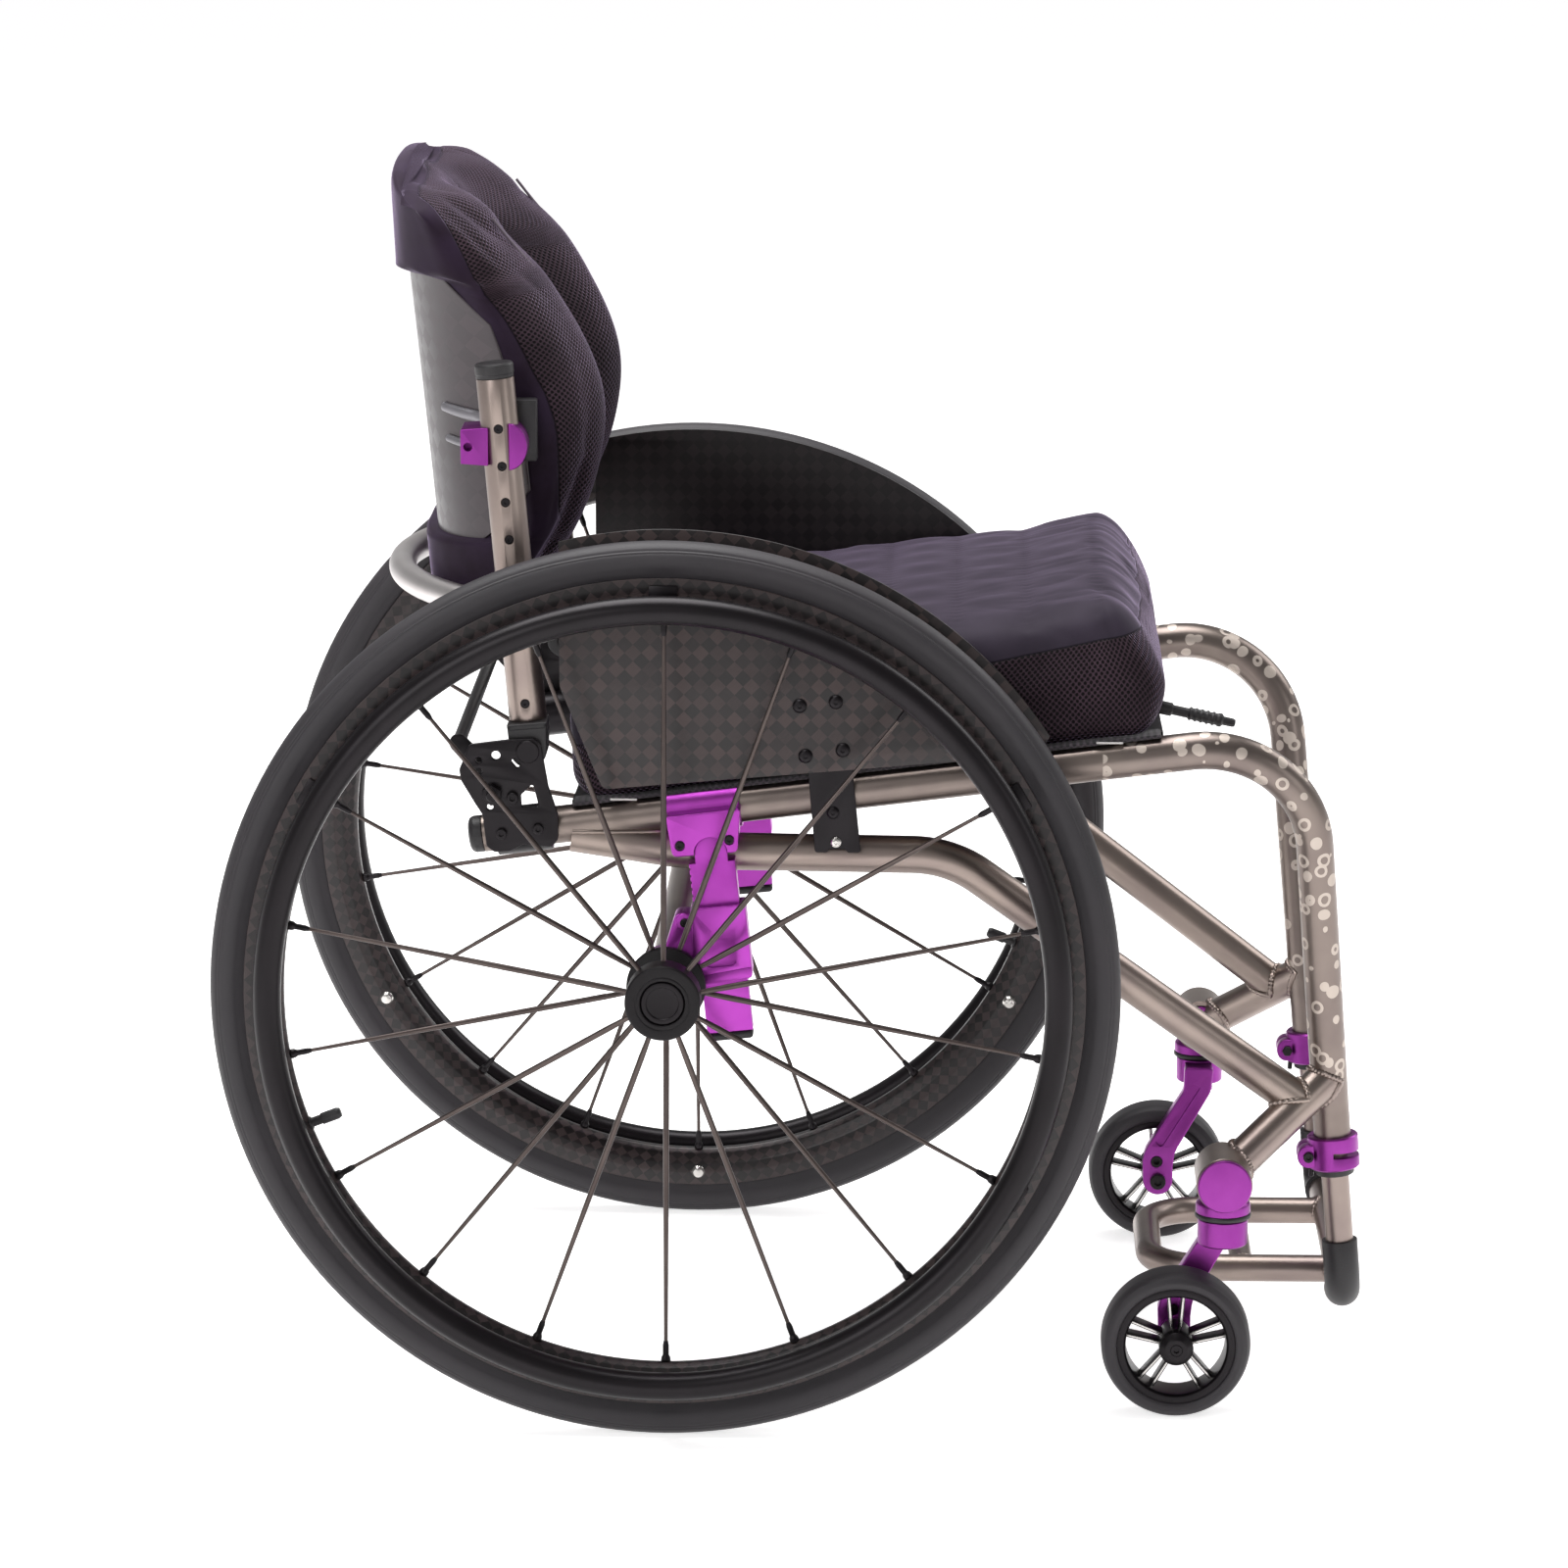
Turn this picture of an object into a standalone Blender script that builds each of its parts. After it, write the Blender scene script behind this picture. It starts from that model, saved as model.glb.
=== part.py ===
"""Rigid wheelchair: a bent-tube frame with cambered spoked wheels, single-sided casters and a folding shell back.

Metres, +Z up. X runs forward from the rear axle, Y to the chair's left and Z up from the floor. The pieces are
placed from the axle, and at the end the root moves along X, so that the origin is under the middle of the chair.
Side -1 is the chair's right (R) and side 1 its left (L).
"""

import bmesh
import bpy
from math import atan, ceil, cos, pi, radians, sin, sqrt, tan
from mathutils import Matrix, Vector

SIDES = ((-1, "R"), (1, "L"))
FIT = 0.0003  # the gap between two pieces that touch
RUNNING = 0.0005  # the gap round a piece that turns
WELD = 1e-6

# Rear wheels: their own axis is Z outboard, and 0 is the rim's middle plane
CAMBER = radians(2)
TYRE_RADIUS = 0.3045
TYRE_WIDTH = 0.025
TREAD_HALF = 0.0028
RIM_RADIUS = TYRE_RADIUS - 0.0245
RIM_DEPTH = 0.025
RIM_HALF = 0.0118
WHEEL_STEPS = 36
SPOKES = 18
SPOKE_HUB_RADIUS = 0.00225
SPOKE_RIM_RADIUS = 0.0015
HANDRIM_RADIUS = RIM_RADIUS - 0.017
HANDRIM_TUBE = 0.0095
HANDRIM_OUT = 0.034
HANDRIM_TABS = 6
HUB_STEPS = 16
CAP_FACE = 0.037
CAP_RADIUS = 0.02525
HUB_INNER_END = -0.028
AXLE_RADIUS = 0.00635
SLEEVE_RADIUS = 0.0095
SLEEVE_END = -0.085
BUTTON_RADIUS = 0.0145
BUTTON_STEM = 0.003

# Frame
TUBE = 0.0127  # radius of the frame's tubes
SEAT_HALF = 0.195  # the side tubes' centre lines, from the chair's middle
SIDE_PLANE = SEAT_HALF + TUBE + 0.0003  # outboard face of the tubes, with its gap: what clamps to them starts here
HUB_OUT = SIDE_PLANE + 0.052  # the rim's middle plane, from the chair's middle
SEAT_HEIGHT = 0.4136  # the seat tube's centre line over the axle
SEAT_SLOPE = 0.1246
SEAT_REAR = -0.125
KNEE_RADIUS = 0.076
LEG_AT_FLOOR = 0.4691  # where the leg's line would meet the floor
LEG_LEAN = 0.084
LEG_HALF = SEAT_HALF - 0.051
TAPER_END = 0.200
LEG_END = 0.172
RAIL_REAR = (-0.065, 0.3985)
RAIL_MID = (0.011, 0.3870)
RAIL_BEND = (0.190, 0.3847)
RAIL_BEND_RADIUS = 0.076
ARM_TOP = 0.2205  # height at which the caster arm leaves the leg
DIAGONAL_MEETS = 0.73  # how far up the caster arm the diagonal ends
PLUG_LENGTH = 0.010
LEG_CLAMP = (0.155, 0.178)  # its lower and upper ends
LEG_CLAMP_WALL = 0.0048
SPLIT_HALF = 0.0008

# Casters
STEM_X = 0.3765
STEM_OUT = SEAT_HALF + 0.0205
BARREL_Z = 0.1665
BARREL_RADIUS = 0.019
BARREL_HALF = 0.022
INSERT_RADIUS = 0.015
NECK_RADIUS = 0.0135
SEAL_TOP = 0.1424
CROWN_TOP = 0.1385
CROWN_BOTTOM = 0.120
CROWN_RADIUS = 0.017
STEM_PIN = 0.006
CASTER_RADIUS = 0.0508
CASTER_TRAIL = 0.031
CASTER_WIDTH = 0.034
CASTER_RIM = CASTER_RADIUS - 0.0108
CASTER_OPENING = CASTER_RIM - 0.006
CASTER_HUB = 0.012
CASTER_AXLE = 0.004
CASTER_STEPS = 24
FORK_NEAR = 0.0225  # the fork arm's outboard face, inboard of the stem
FORK_THICK = 0.012

# Footrest
FOOT_TUBE = 0.009525
FOOT_TOP = 0.194
FOOT_Z = 0.0615
FOOT_BEND = 0.022
SLEEVE_TOP = 0.1026
CORNER_SLEEVE = 0.01225
LOOP_HALF = LEG_HALF - 0.071
LOOP_REAR = 0.3325
LOOP_Z = 0.0600
STRUT_X = 0.397
STRUT_RADIUS = 0.008

# Rear axle group
SADDLE_RADIUS = TUBE + 0.0025
SADDLE_REAR = -0.0009
SADDLE_FRONT = 0.0484
SADDLE_FACE = SIDE_PLANE + 0.0175
POST_FACE = SIDE_PLANE + 0.0145
POST_BOTTOM = (0.0422, 0.2677)
POST_LEAN = 0.103
POST_HALF = 0.0155
POST_LENGTH = 0.118
ARCH_RADIUS = 0.011
ARCH_RISE = 0.0065
COLLAR_IN = SIDE_PLANE - 0.0025
COLLAR_OUT = SIDE_PLANE + 0.0210
CAMBER_TUBE_END = COLLAR_OUT - 0.0005
COLLAR_HALF = 0.0195
COLLAR_LOW = 0.0335
COLLAR_HIGH = 0.0885
RING_RADIUS = 0.0215

# Guards, sling and seat cushion
GUARD_IN = SIDE_PLANE + 0.0033
GUARD_THICK = 0.002
GUARD_RADIUS = TYRE_RADIUS + 0.001
GUARD_REAR = -0.072
SLING_HALF = SEAT_HALF - TUBE - 0.0005
SLING_THICK = 0.004
SLING_SAG = 0.006
SLING_FRONT = 0.3330
SLING_REAR = -0.066
CUSHION_HALF = GUARD_IN - 0.0088
CUSHION_HEIGHT = 0.088
CUSHION_CROWN = 0.005
CUSHION_FRONT = 0.338
CUSHION_REAR = -0.070
VALVE_OUT = CUSHION_HALF - 0.0425
VALVE_RADIUS = 0.0048

# Back
PIVOT = (-0.0937, 0.4579)
PIVOT_PIN = 0.005
CANE_OUT = SEAT_HALF - 0.005
CANE_FOOT = (-0.0948, 0.4765)
CANE_LEAN = 0.0867
CANE_TOP = 0.708
CANE_HOLES = (0.6751, 0.6500, 0.6256, 0.6004)
CAP_LENGTH = 0.010
BLOCK_IN = CANE_OUT - 0.0115
BLOCK_EYE = 0.0125
SPIGOT_RADIUS = TUBE - 0.0029
SPIGOT_LENGTH = 0.022
BRACKET_THICK = 0.004
CLAMP_RADIUS = TUBE + 0.0033
RELEASE_PIVOT = (-0.1180, 0.4287)
RELEASE_PIN = 0.004
RELEASE_BAR = (-0.1432, 0.4557)
RELEASE_RADIUS = 0.0045
RELEASE_ARM_IN = BLOCK_IN - 0.007
RELEASE_ARM_THICK = 0.004
BOW_DEPTH = 0.089
BOW_Z = 0.5505
BOW_TUBE = 0.0095
SHELL_REAR = -0.1701  # the shell's rear face in the middle, at SHELL_Z
SHELL_Z = 0.5809
SHELL_LEAN = 0.0963
SHELL_HALF = CANE_OUT - 0.024
SHELL_WING = 0.080
SHELL_THICK = 0.003
SHELL_LOW = 0.560
SHELL_HEIGHT = 0.240
SHELL_HIGH = SHELL_LOW + SHELL_HEIGHT
OPEN_LOW = SHELL_LOW + 0.0258
OPEN_HIGH = SHELL_HIGH - 0.0364
DRAWN_HEIGHT = 0.240  # of the shell that the cushion is drawn for
WRAP = 0.009  # the cushion's cover behind the shell
MOUNT_Z = 0.6655
MOUNT_X = (-0.135, -0.0915)
MOUNT_HALF = 0.0125

TITANIUM = ("#B9AFA6", 0.38, 1.0)
PURPLE = ("#9A35AE", 0.35, 0.8)
BLACK_METAL = ("#1E1B1D", 0.35, 0.7)
BLACK_PLASTIC = ("#1B191B", 0.5, 0.0)
TYRE_RUBBER = ("#2A2629", 0.65, 0.0)
CARBON = ("#3A3335", 0.3, 0.2)
SPOKE_GREY = ("#5B5256", 0.4, 0.8)
FABRIC = ("#221D26", 0.9, 0.0)


def empty_scene():
    for item in list(bpy.data.objects):
        bpy.data.objects.remove(item)
    for mesh in list(bpy.data.meshes):
        bpy.data.meshes.remove(mesh)


empty_scene()
chair = bpy.data.collections.new("rigid_wheelchair")
bench = bpy.data.collections.new("cutters")
for collection in (chair, bench):
    bpy.context.scene.collection.children.link(collection)
bench.hide_render = True


# Shapes

def on_bench(data):
    shape = bpy.data.objects.new("shape", data)
    bench.objects.link(shape)
    return shape


def from_bmesh(bm):
    bmesh.ops.recalc_face_normals(bm, faces=bm.faces)
    mesh = bpy.data.meshes.new("shape")
    bm.to_mesh(mesh)
    bm.free()
    return on_bench(mesh)


def baked(shape):
    """The shape as a plain welded mesh, with its modifiers and its place applied."""
    bpy.context.view_layer.update()
    graph = bpy.context.evaluated_depsgraph_get()
    mesh = bpy.data.meshes.new_from_object(shape.evaluated_get(graph))
    mesh.transform(shape.matrix_world)
    bm = bmesh.new()
    bm.from_mesh(mesh)
    bmesh.ops.remove_doubles(bm, verts=bm.verts, dist=WELD)
    bpy.data.objects.remove(shape)
    bpy.data.meshes.remove(mesh)
    return from_bmesh(bm)


def combined(base, others, operation):
    for other in others:
        modifier = base.modifiers.new(operation, "BOOLEAN")
        modifier.operation = operation
        modifier.object = other
    result = baked(base)
    for other in others:
        bpy.data.objects.remove(other)
    return result


def joined(base, *others):
    return combined(base, others, "UNION")


def cut(base, *others):
    return combined(base, others, "DIFFERENCE")


def bore_radius(radius, sides, gap=FIT):
    """The radius of a many-sided hole whose flats clear a round piece by the gap."""
    return (radius + gap) / cos(pi / sides)


def tube(points, radius, rounds=3):
    """A round tube along the points. It has 4 + 2 * rounds sides."""
    curve = bpy.data.curves.new("tube", "CURVE")
    curve.dimensions = "3D"
    curve.bevel_depth = radius
    curve.bevel_resolution = rounds
    curve.use_fill_caps = True
    spline = curve.splines.new("POLY")
    spline.points.add(len(points) - 1)
    for point, place in zip(spline.points, points):
        point.co = (*place, 1)
    return baked(on_bench(curve))


def tube_around(points, radius, rounds=3, gap=FIT):
    """The same tube, larger by the gap all round, to cut what touches it."""
    return tube(points, bore_radius(radius, 4 + 2 * rounds, gap), rounds)


def arc_at(before, corner, after, radius, step=radians(18)):
    """The points of a fillet where three corners turn."""
    corner = Vector(corner)
    back = (Vector(before) - corner).normalized()
    ahead = (Vector(after) - corner).normalized()
    half_turn = (pi - back.angle(ahead)) / 2
    setback = radius * tan(half_turn)
    centre = corner + (back + ahead).normalized() * radius / cos(half_turn)
    start = corner + back * setback - centre
    end = corner + ahead * setback - centre
    count = max(1, ceil(2 * half_turn / step))
    axis = start.cross(end)
    turns = [Matrix.Rotation(2 * half_turn * i / count, 3, axis) for i in range(count + 1)]
    return [centre + turn @ start for turn in turns]


def bent(corners, radii):
    """A route through the corners, with a bend of each radius at those between its ends."""
    route = [Vector(corners[0])]
    for before, corner, after, radius in zip(corners, corners[1:], corners[2:], radii):
        route += arc_at(before, corner, after, radius)
    return route + [Vector(corners[-1])]


def rounded(corners, radius):
    """A closed (X, Z) outline with every corner rounded."""
    flat = [Vector((x, z, 0)) for x, z in corners]
    outline = []
    for i, corner in enumerate(flat):
        arc = arc_at(flat[i - 1], corner, flat[(i + 1) % len(flat)], radius, radians(45))
        outline += [(point.x, point.y) for point in arc]
    return outline


def circle(x, z, radius, sides=8):
    return [(x + radius * cos(2 * pi * i / sides), z + radius * sin(2 * pi * i / sides)) for i in range(sides)]


def sector(x, z, radius, first, last, count):
    """Points of an arc in the XZ plane, in degrees from +X."""
    angles = [radians(first + (last - first) * i / count) for i in range(count + 1)]
    return [(x + radius * cos(angle), z + radius * sin(angle)) for angle in angles]


def plate(outline, low, high, holes=()):
    """A plate with this (X, Z) outline, between two distances along Y."""
    curve = bpy.data.curves.new("plate", "CURVE")
    curve.dimensions = "2D"
    curve.fill_mode = "BOTH"
    curve.extrude = abs(high - low) / 2
    for loop in (outline, *holes):
        spline = curve.splines.new("POLY")
        spline.points.add(len(loop) - 1)
        for point, (x, z) in zip(spline.points, loop):
            point.co = (x, z, 0, 1)
        spline.use_cyclic_u = True
    shape = on_bench(curve)
    shape.rotation_euler = (pi / 2, 0, 0)
    shape.location = (0, (low + high) / 2, 0)
    return baked(shape)


def turned(profile, steps, place=(0, 0, 0), direction=(0, 0, 1), start=0.0):
    """A solid of revolution from its (radius, height) profile, which is closed unless it ends on the axis."""
    bm = bmesh.new()
    points = [bm.verts.new((radius * cos(start), radius * sin(start), height)) for radius, height in profile]
    for first, second in zip(points, points[1:]):
        bm.edges.new((first, second))
    if profile[0][0] > 0:
        bm.edges.new((points[-1], points[0]))
    mesh = bpy.data.meshes.new("turned")
    bm.to_mesh(mesh)
    bm.free()
    shape = on_bench(mesh)
    screw = shape.modifiers.new("Screw", "SCREW")
    screw.steps = steps
    screw.render_steps = steps
    screw.use_merge_vertices = True
    screw.merge_threshold = 0.00001
    shape.rotation_mode = "QUATERNION"
    shape.rotation_quaternion = Vector(direction).to_track_quat("Z", "Y")
    shape.location = place
    return baked(shape)


def cylinder(start, end, radius, sides=12, end_radius=None):
    start, end = Vector(start), Vector(end)
    bm = bmesh.new()
    length = (end - start).length
    last = radius if end_radius is None else end_radius
    bmesh.ops.create_cone(bm, cap_ends=True, segments=sides, radius1=radius, radius2=last, depth=length)
    turn = (end - start).to_track_quat("Z", "Y").to_matrix().to_4x4()
    bmesh.ops.transform(bm, matrix=Matrix.Translation((start + end) / 2) @ turn, verts=bm.verts)
    return from_bmesh(bm)


def bore(start, end, radius, sides=12, gap=FIT):
    return cylinder(start, end, bore_radius(radius, sides, gap), sides)


def box(low, high):
    low, high = Vector(low), Vector(high)
    bm = bmesh.new()
    bmesh.ops.create_cube(bm)
    bmesh.ops.scale(bm, vec=high - low, verts=bm.verts)
    bmesh.ops.translate(bm, vec=(low + high) / 2, verts=bm.verts)
    return from_bmesh(bm)


def lofted(sections, levels=0):
    """A closed solid through closed sections of as many points each."""
    bm = bmesh.new()
    rows = [[bm.verts.new(point) for point in section] for section in sections]
    count = len(rows[0])
    for row, following in zip(rows, rows[1:]):
        for i in range(count):
            after = (i + 1) % count
            bm.faces.new((row[i], row[after], following[after], following[i]))
    bm.faces.new(rows[0])
    bm.faces.new(rows[-1])
    shape = from_bmesh(bm)
    if levels:
        smooth = shape.modifiers.new("Subdivision", "SUBSURF")
        smooth.levels = levels
        smooth.render_levels = levels
        shape = baked(shape)
    return shape


def sheet(rows, thickness):
    """A shell of even thickness with the rows of points in its middle."""
    bm = bmesh.new()
    grid = [[bm.verts.new(point) for point in row] for row in rows]
    for row, following in zip(grid, grid[1:]):
        for i in range(len(row) - 1):
            bm.faces.new((row[i], row[i + 1], following[i + 1]))
            bm.faces.new((row[i], following[i + 1], following[i]))
    shape = from_bmesh(bm)
    solidify = shape.modifiers.new("Solidify", "SOLIDIFY")
    solidify.thickness = thickness
    solidify.offset = 0
    solidify.use_even_offset = True
    return baked(shape)


# Finishing

def paint(name, colour, roughness, metallic):
    material = bpy.data.materials.new(name)
    material.use_nodes = True
    shader = material.node_tree.nodes["Principled BSDF"]
    parts = [int(colour[i:i + 2], 16) / 255 for i in (1, 3, 5)]
    linear = [part / 12.92 if part <= 0.04045 else ((part + 0.055) / 1.055) ** 2.4 for part in parts]
    shader.inputs["Base Color"].default_value = (*linear, 1)
    shader.inputs["Roughness"].default_value = roughness
    shader.inputs["Metallic"].default_value = metallic
    return material


def finished(shape, name, look, parent, local=False):
    """Names, paints and parents a piece. A local one is modelled in its parent's frame, the others in the chair's."""
    bench.objects.unlink(shape)
    chair.objects.link(shape)
    shape.name = name
    shape.data.name = name
    shape.data.materials.append(paint(name, *look))
    shape.data.shade_smooth()
    shape.data.set_sharp_from_angle(angle=radians(35))
    shape.parent = parent
    if not local:
        bpy.context.view_layer.update()
        shape.matrix_parent_inverse = parent.matrix_world.inverted()
    return shape


def copied(piece, name, parent):
    """A second piece that shares its mesh with the first, in its own parent's frame."""
    twin = bpy.data.objects.new(name, piece.data)
    chair.objects.link(twin)
    twin.parent = parent
    return twin


def pivot(name, place, parent=None, turn=(0, 0, 0)):
    empty = bpy.data.objects.new(name, None)
    empty.empty_display_size = 0.03
    empty.location = Vector(place) - (parent.location if parent else Vector())
    empty.rotation_euler = turn
    empty.parent = parent
    chair.objects.link(empty)
    return empty


# Places that several pieces share

HUB_Z = TYRE_RADIUS * cos(CAMBER) + TREAD_HALF * sin(CAMBER)
CAMBER_TUBE_Z = HUB_Z - (HUB_OUT - CAMBER_TUBE_END) * tan(CAMBER)
BRACKET_OUT = SIDE_PLANE + BRACKET_THICK


def seat_z(x):
    """Height of the seat tube's centre line."""
    return SEAT_HEIGHT + SEAT_SLOPE * x


def leg_x(z):
    return LEG_AT_FLOOR - LEG_LEAN * z


def cane_x(z):
    return CANE_FOOT[0] - CANE_LEAN * (z - CANE_FOOT[1])


def seat_point(x, side, out=SEAT_HALF):
    return (x, side * out, seat_z(x))


def leg_point(z, side):
    return (leg_x(z), side * LEG_HALF, z)


def cane_point(z, side):
    return (cane_x(z), side * CANE_OUT, z)


def side_route(side):
    knee_x = (LEG_AT_FLOOR - LEG_LEAN * SEAT_HEIGHT) / (1 + LEG_LEAN * SEAT_SLOPE)
    corners = (seat_point(SEAT_REAR, side), seat_point(knee_x, side), leg_point(TAPER_END, side),
               leg_point(LEG_END, side))
    return bent(corners, (KNEE_RADIUS, 0.05))


def arm_point(share, side):
    """A point of the caster arm's centre line, from the barrel (0) to the leg (1)."""
    spread = (SEAT_HALF - LEG_HALF) * (ARM_TOP - TAPER_END) / (seat_z(LEG_AT_FLOOR) - TAPER_END)
    low = Vector((STEM_X, side * (STEM_OUT - 0.0085), BARREL_Z - 0.002))
    high = Vector((leg_x(ARM_TOP), side * (LEG_HALF + spread), ARM_TOP))
    return low.lerp(high, share)


def rail_route(side):
    out = side * SEAT_HALF
    corners = [(x, out, z) for x, z in (RAIL_REAR, RAIL_MID, RAIL_BEND)]
    corners.append(arm_point(DIAGONAL_MEETS, side))
    return bent(corners, (0.15, RAIL_BEND_RADIUS))


def foot_route():
    ends = [leg_point(FOOT_TOP, side) for side, _ in SIDES]
    corners = [leg_point(FOOT_Z, side) for side, _ in SIDES]
    return bent((ends[0], corners[0], corners[1], ends[1]), (FOOT_BEND, FOOT_BEND))


def wheel_turn(side):
    """The turn that takes local Z to a wheel's cambered axis, outboard."""
    return (pi / 2 - CAMBER, 0, pi if side > 0 else 0)


def post_place(u, v):
    """(X, Z) of a point of the axle post's face: u across it, v up along it from its bottom."""
    length = sqrt(1 + POST_LEAN ** 2)
    return (POST_BOTTOM[0] + (u - POST_LEAN * v) / length, POST_BOTTOM[1] + (v + POST_LEAN * u) / length)


# Rear wheels

def tyre():
    half = TYRE_WIDTH / 2
    bead = RIM_RADIUS + FIT
    rise = TYRE_RADIUS - RIM_RADIUS
    profile = [(TYRE_RADIUS, TREAD_HALF), (TYRE_RADIUS, -TREAD_HALF), (TYRE_RADIUS - 0.17 * rise, -0.68 * half),
               (bead + 0.4 * rise, -half), (bead, -0.8 * half), (bead, 0.8 * half),
               (bead + 0.4 * rise, half), (TYRE_RADIUS - 0.17 * rise, 0.68 * half)]
    flat = cos(pi / WHEEL_STEPS)
    outer = [(radius / flat, height) for radius, height in profile]
    return turned(outer, WHEEL_STEPS, start=pi / WHEEL_STEPS)


def rim():
    low = RIM_RADIUS - RIM_DEPTH
    profile = [(RIM_RADIUS, RIM_HALF), (RIM_RADIUS, -RIM_HALF), (RIM_RADIUS - 0.013, -RIM_HALF), (low, -0.004),
               (low, 0.004), (RIM_RADIUS - 0.013, RIM_HALF)]
    flat = cos(pi / WHEEL_STEPS)
    return turned([(radius / flat, height) for radius, height in profile], WHEEL_STEPS, start=pi / WHEEL_STEPS)


def handrim():
    section = [(HANDRIM_RADIUS + HANDRIM_TUBE * cos(angle), HANDRIM_OUT - HANDRIM_TUBE * sin(angle))
               for angle in (i * pi / 3 for i in range(6))]
    ring = turned(section, WHEEL_STEPS, start=pi / WHEEL_STEPS)
    tabs = []
    for i in range(HANDRIM_TABS):
        tab = box((RIM_RADIUS - 0.0135, -0.009, RIM_HALF + FIT), (RIM_RADIUS - 0.0068, 0.009, HANDRIM_OUT - 0.003))
        tab.rotation_euler.z = radians(30) + 2 * pi * i / HANDRIM_TABS
        tabs.append(baked(tab))
    return joined(ring, *tabs)


def spoked_hub():
    hole = bore_radius(AXLE_RADIUS, HUB_STEPS)
    recess = bore_radius(BUTTON_RADIUS, HUB_STEPS, RUNNING)
    floor = CAP_FACE - 0.0080
    profile = [(recess, CAP_FACE), (CAP_RADIUS - 0.0008, CAP_FACE), (CAP_RADIUS, CAP_FACE - 0.001),
               (CAP_RADIUS, 0.0125), (0.018, 0.010), (0.018, -0.012), (0.026, -0.016), (0.026, -0.0240),
               (0.019, HUB_INNER_END), (hole, HUB_INNER_END), (hole, floor), (recess, floor)]
    hub = turned(profile, HUB_STEPS)
    spokes = []
    for i in range(SPOKES):
        across = Vector((cos(2 * pi * i / SPOKES - pi / 2), sin(2 * pi * i / SPOKES - pi / 2), 0))
        foot = across * 0.021 + Vector((0, 0, 0.0185 if i % 2 else -0.0198))
        seat = RIM_RADIUS - RIM_DEPTH - FIT
        tip = across * seat + Vector((0, 0, 0.001 if i % 2 else -0.001))
        spokes.append(cylinder(foot, tip, SPOKE_HUB_RADIUS, 4, SPOKE_RIM_RADIUS))
    return joined(hub, *spokes)


def axle_pin():
    inner = HUB_INNER_END - 0.0015
    outer = CAP_FACE - 0.0084
    depth = outer - 0.0106
    hole = bore_radius(BUTTON_STEM, 10)
    return turned([(0, depth), (hole, depth), (hole, outer), (AXLE_RADIUS, outer), (AXLE_RADIUS, inner),
                   (SLEEVE_RADIUS, inner), (SLEEVE_RADIUS, SLEEVE_END), (0, SLEEVE_END)], 12)


def axle_button():
    face = CAP_FACE - 0.0005
    back = face - 0.0025
    return turned([(0, face), (BUTTON_RADIUS - 0.0008, face), (BUTTON_RADIUS, face - 0.0008), (BUTTON_RADIUS, back),
                   (BUTTON_STEM, back), (BUTTON_STEM, back - 0.0115), (0, back - 0.0115)], 14)


def rear_wheels(root):
    makers = (("tyre", tyre, TYRE_RUBBER), ("rim", rim, CARBON), ("handrim", handrim, BLACK_METAL),
              ("spoked_hub", spoked_hub, SPOKE_GREY))
    first = {}
    for side, letter in SIDES:
        place = (0, side * HUB_OUT, HUB_Z)
        turn = wheel_turn(side)
        wheel = pivot("wheel_" + letter, place, root, turn)
        fixed = pivot("axle_" + letter, place, root, turn)
        button = pivot("button_" + letter, place, root, turn)
        jobs = [(name, maker, look, wheel) for name, maker, look in makers]
        jobs.append(("axle_pin", axle_pin, TITANIUM, fixed))
        jobs.append(("axle_button", axle_button, BLACK_METAL, button))
        for name, maker, look, parent in jobs:
            if name in first:
                copied(first[name], name + "_" + letter, parent)
            else:
                first[name] = finished(maker(), name + "_" + letter, look, parent, local=True)


# Frame

def side_tube(side):
    """Seat tube, knee and leg in one, bored at its lower end for the footrest."""
    bored = bore(leg_point(LEG_END - 0.01, side), leg_point(FOOT_TOP + 0.0015, side), FOOT_TUBE, 10)
    return cut(tube(side_route(side), TUBE), bored)


def lower_tube(side):
    """Rail and diagonal, with the caster arm and its barrel welded on."""
    def across(out, z=BARREL_Z):
        return (STEM_X, side * out, z)
    arm = tube((arm_point(0, side), arm_point(1, side)), TUBE)
    barrel = cylinder(across(STEM_OUT - BARREL_HALF), across(STEM_OUT + BARREL_HALF), BARREL_RADIUS, 16)
    welded = joined(tube(rail_route(side), TUBE), arm, barrel)
    hollow = bore(across(STEM_OUT - 0.05), across(STEM_OUT + 0.05), INSERT_RADIUS, 12)
    neck = bore(across(STEM_OUT), across(STEM_OUT, BARREL_Z - 0.03), NECK_RADIUS, 12)
    return cut(welded, tube_around(side_route(side), TUBE), hollow, neck)


def tube_plug(side):
    """Plug in the open rear end of the seat tube."""
    end = Vector(seat_point(SEAT_REAR, side))
    along = Vector((-1, 0, -SEAT_SLOPE)).normalized()
    profile = [(0, PLUG_LENGTH), (TUBE - 0.003, PLUG_LENGTH), (TUBE - 0.0004, PLUG_LENGTH - 0.0025),
               (TUBE - 0.0002, FIT), (0, FIT)]
    return turned(profile, 12, end, along)


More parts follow.
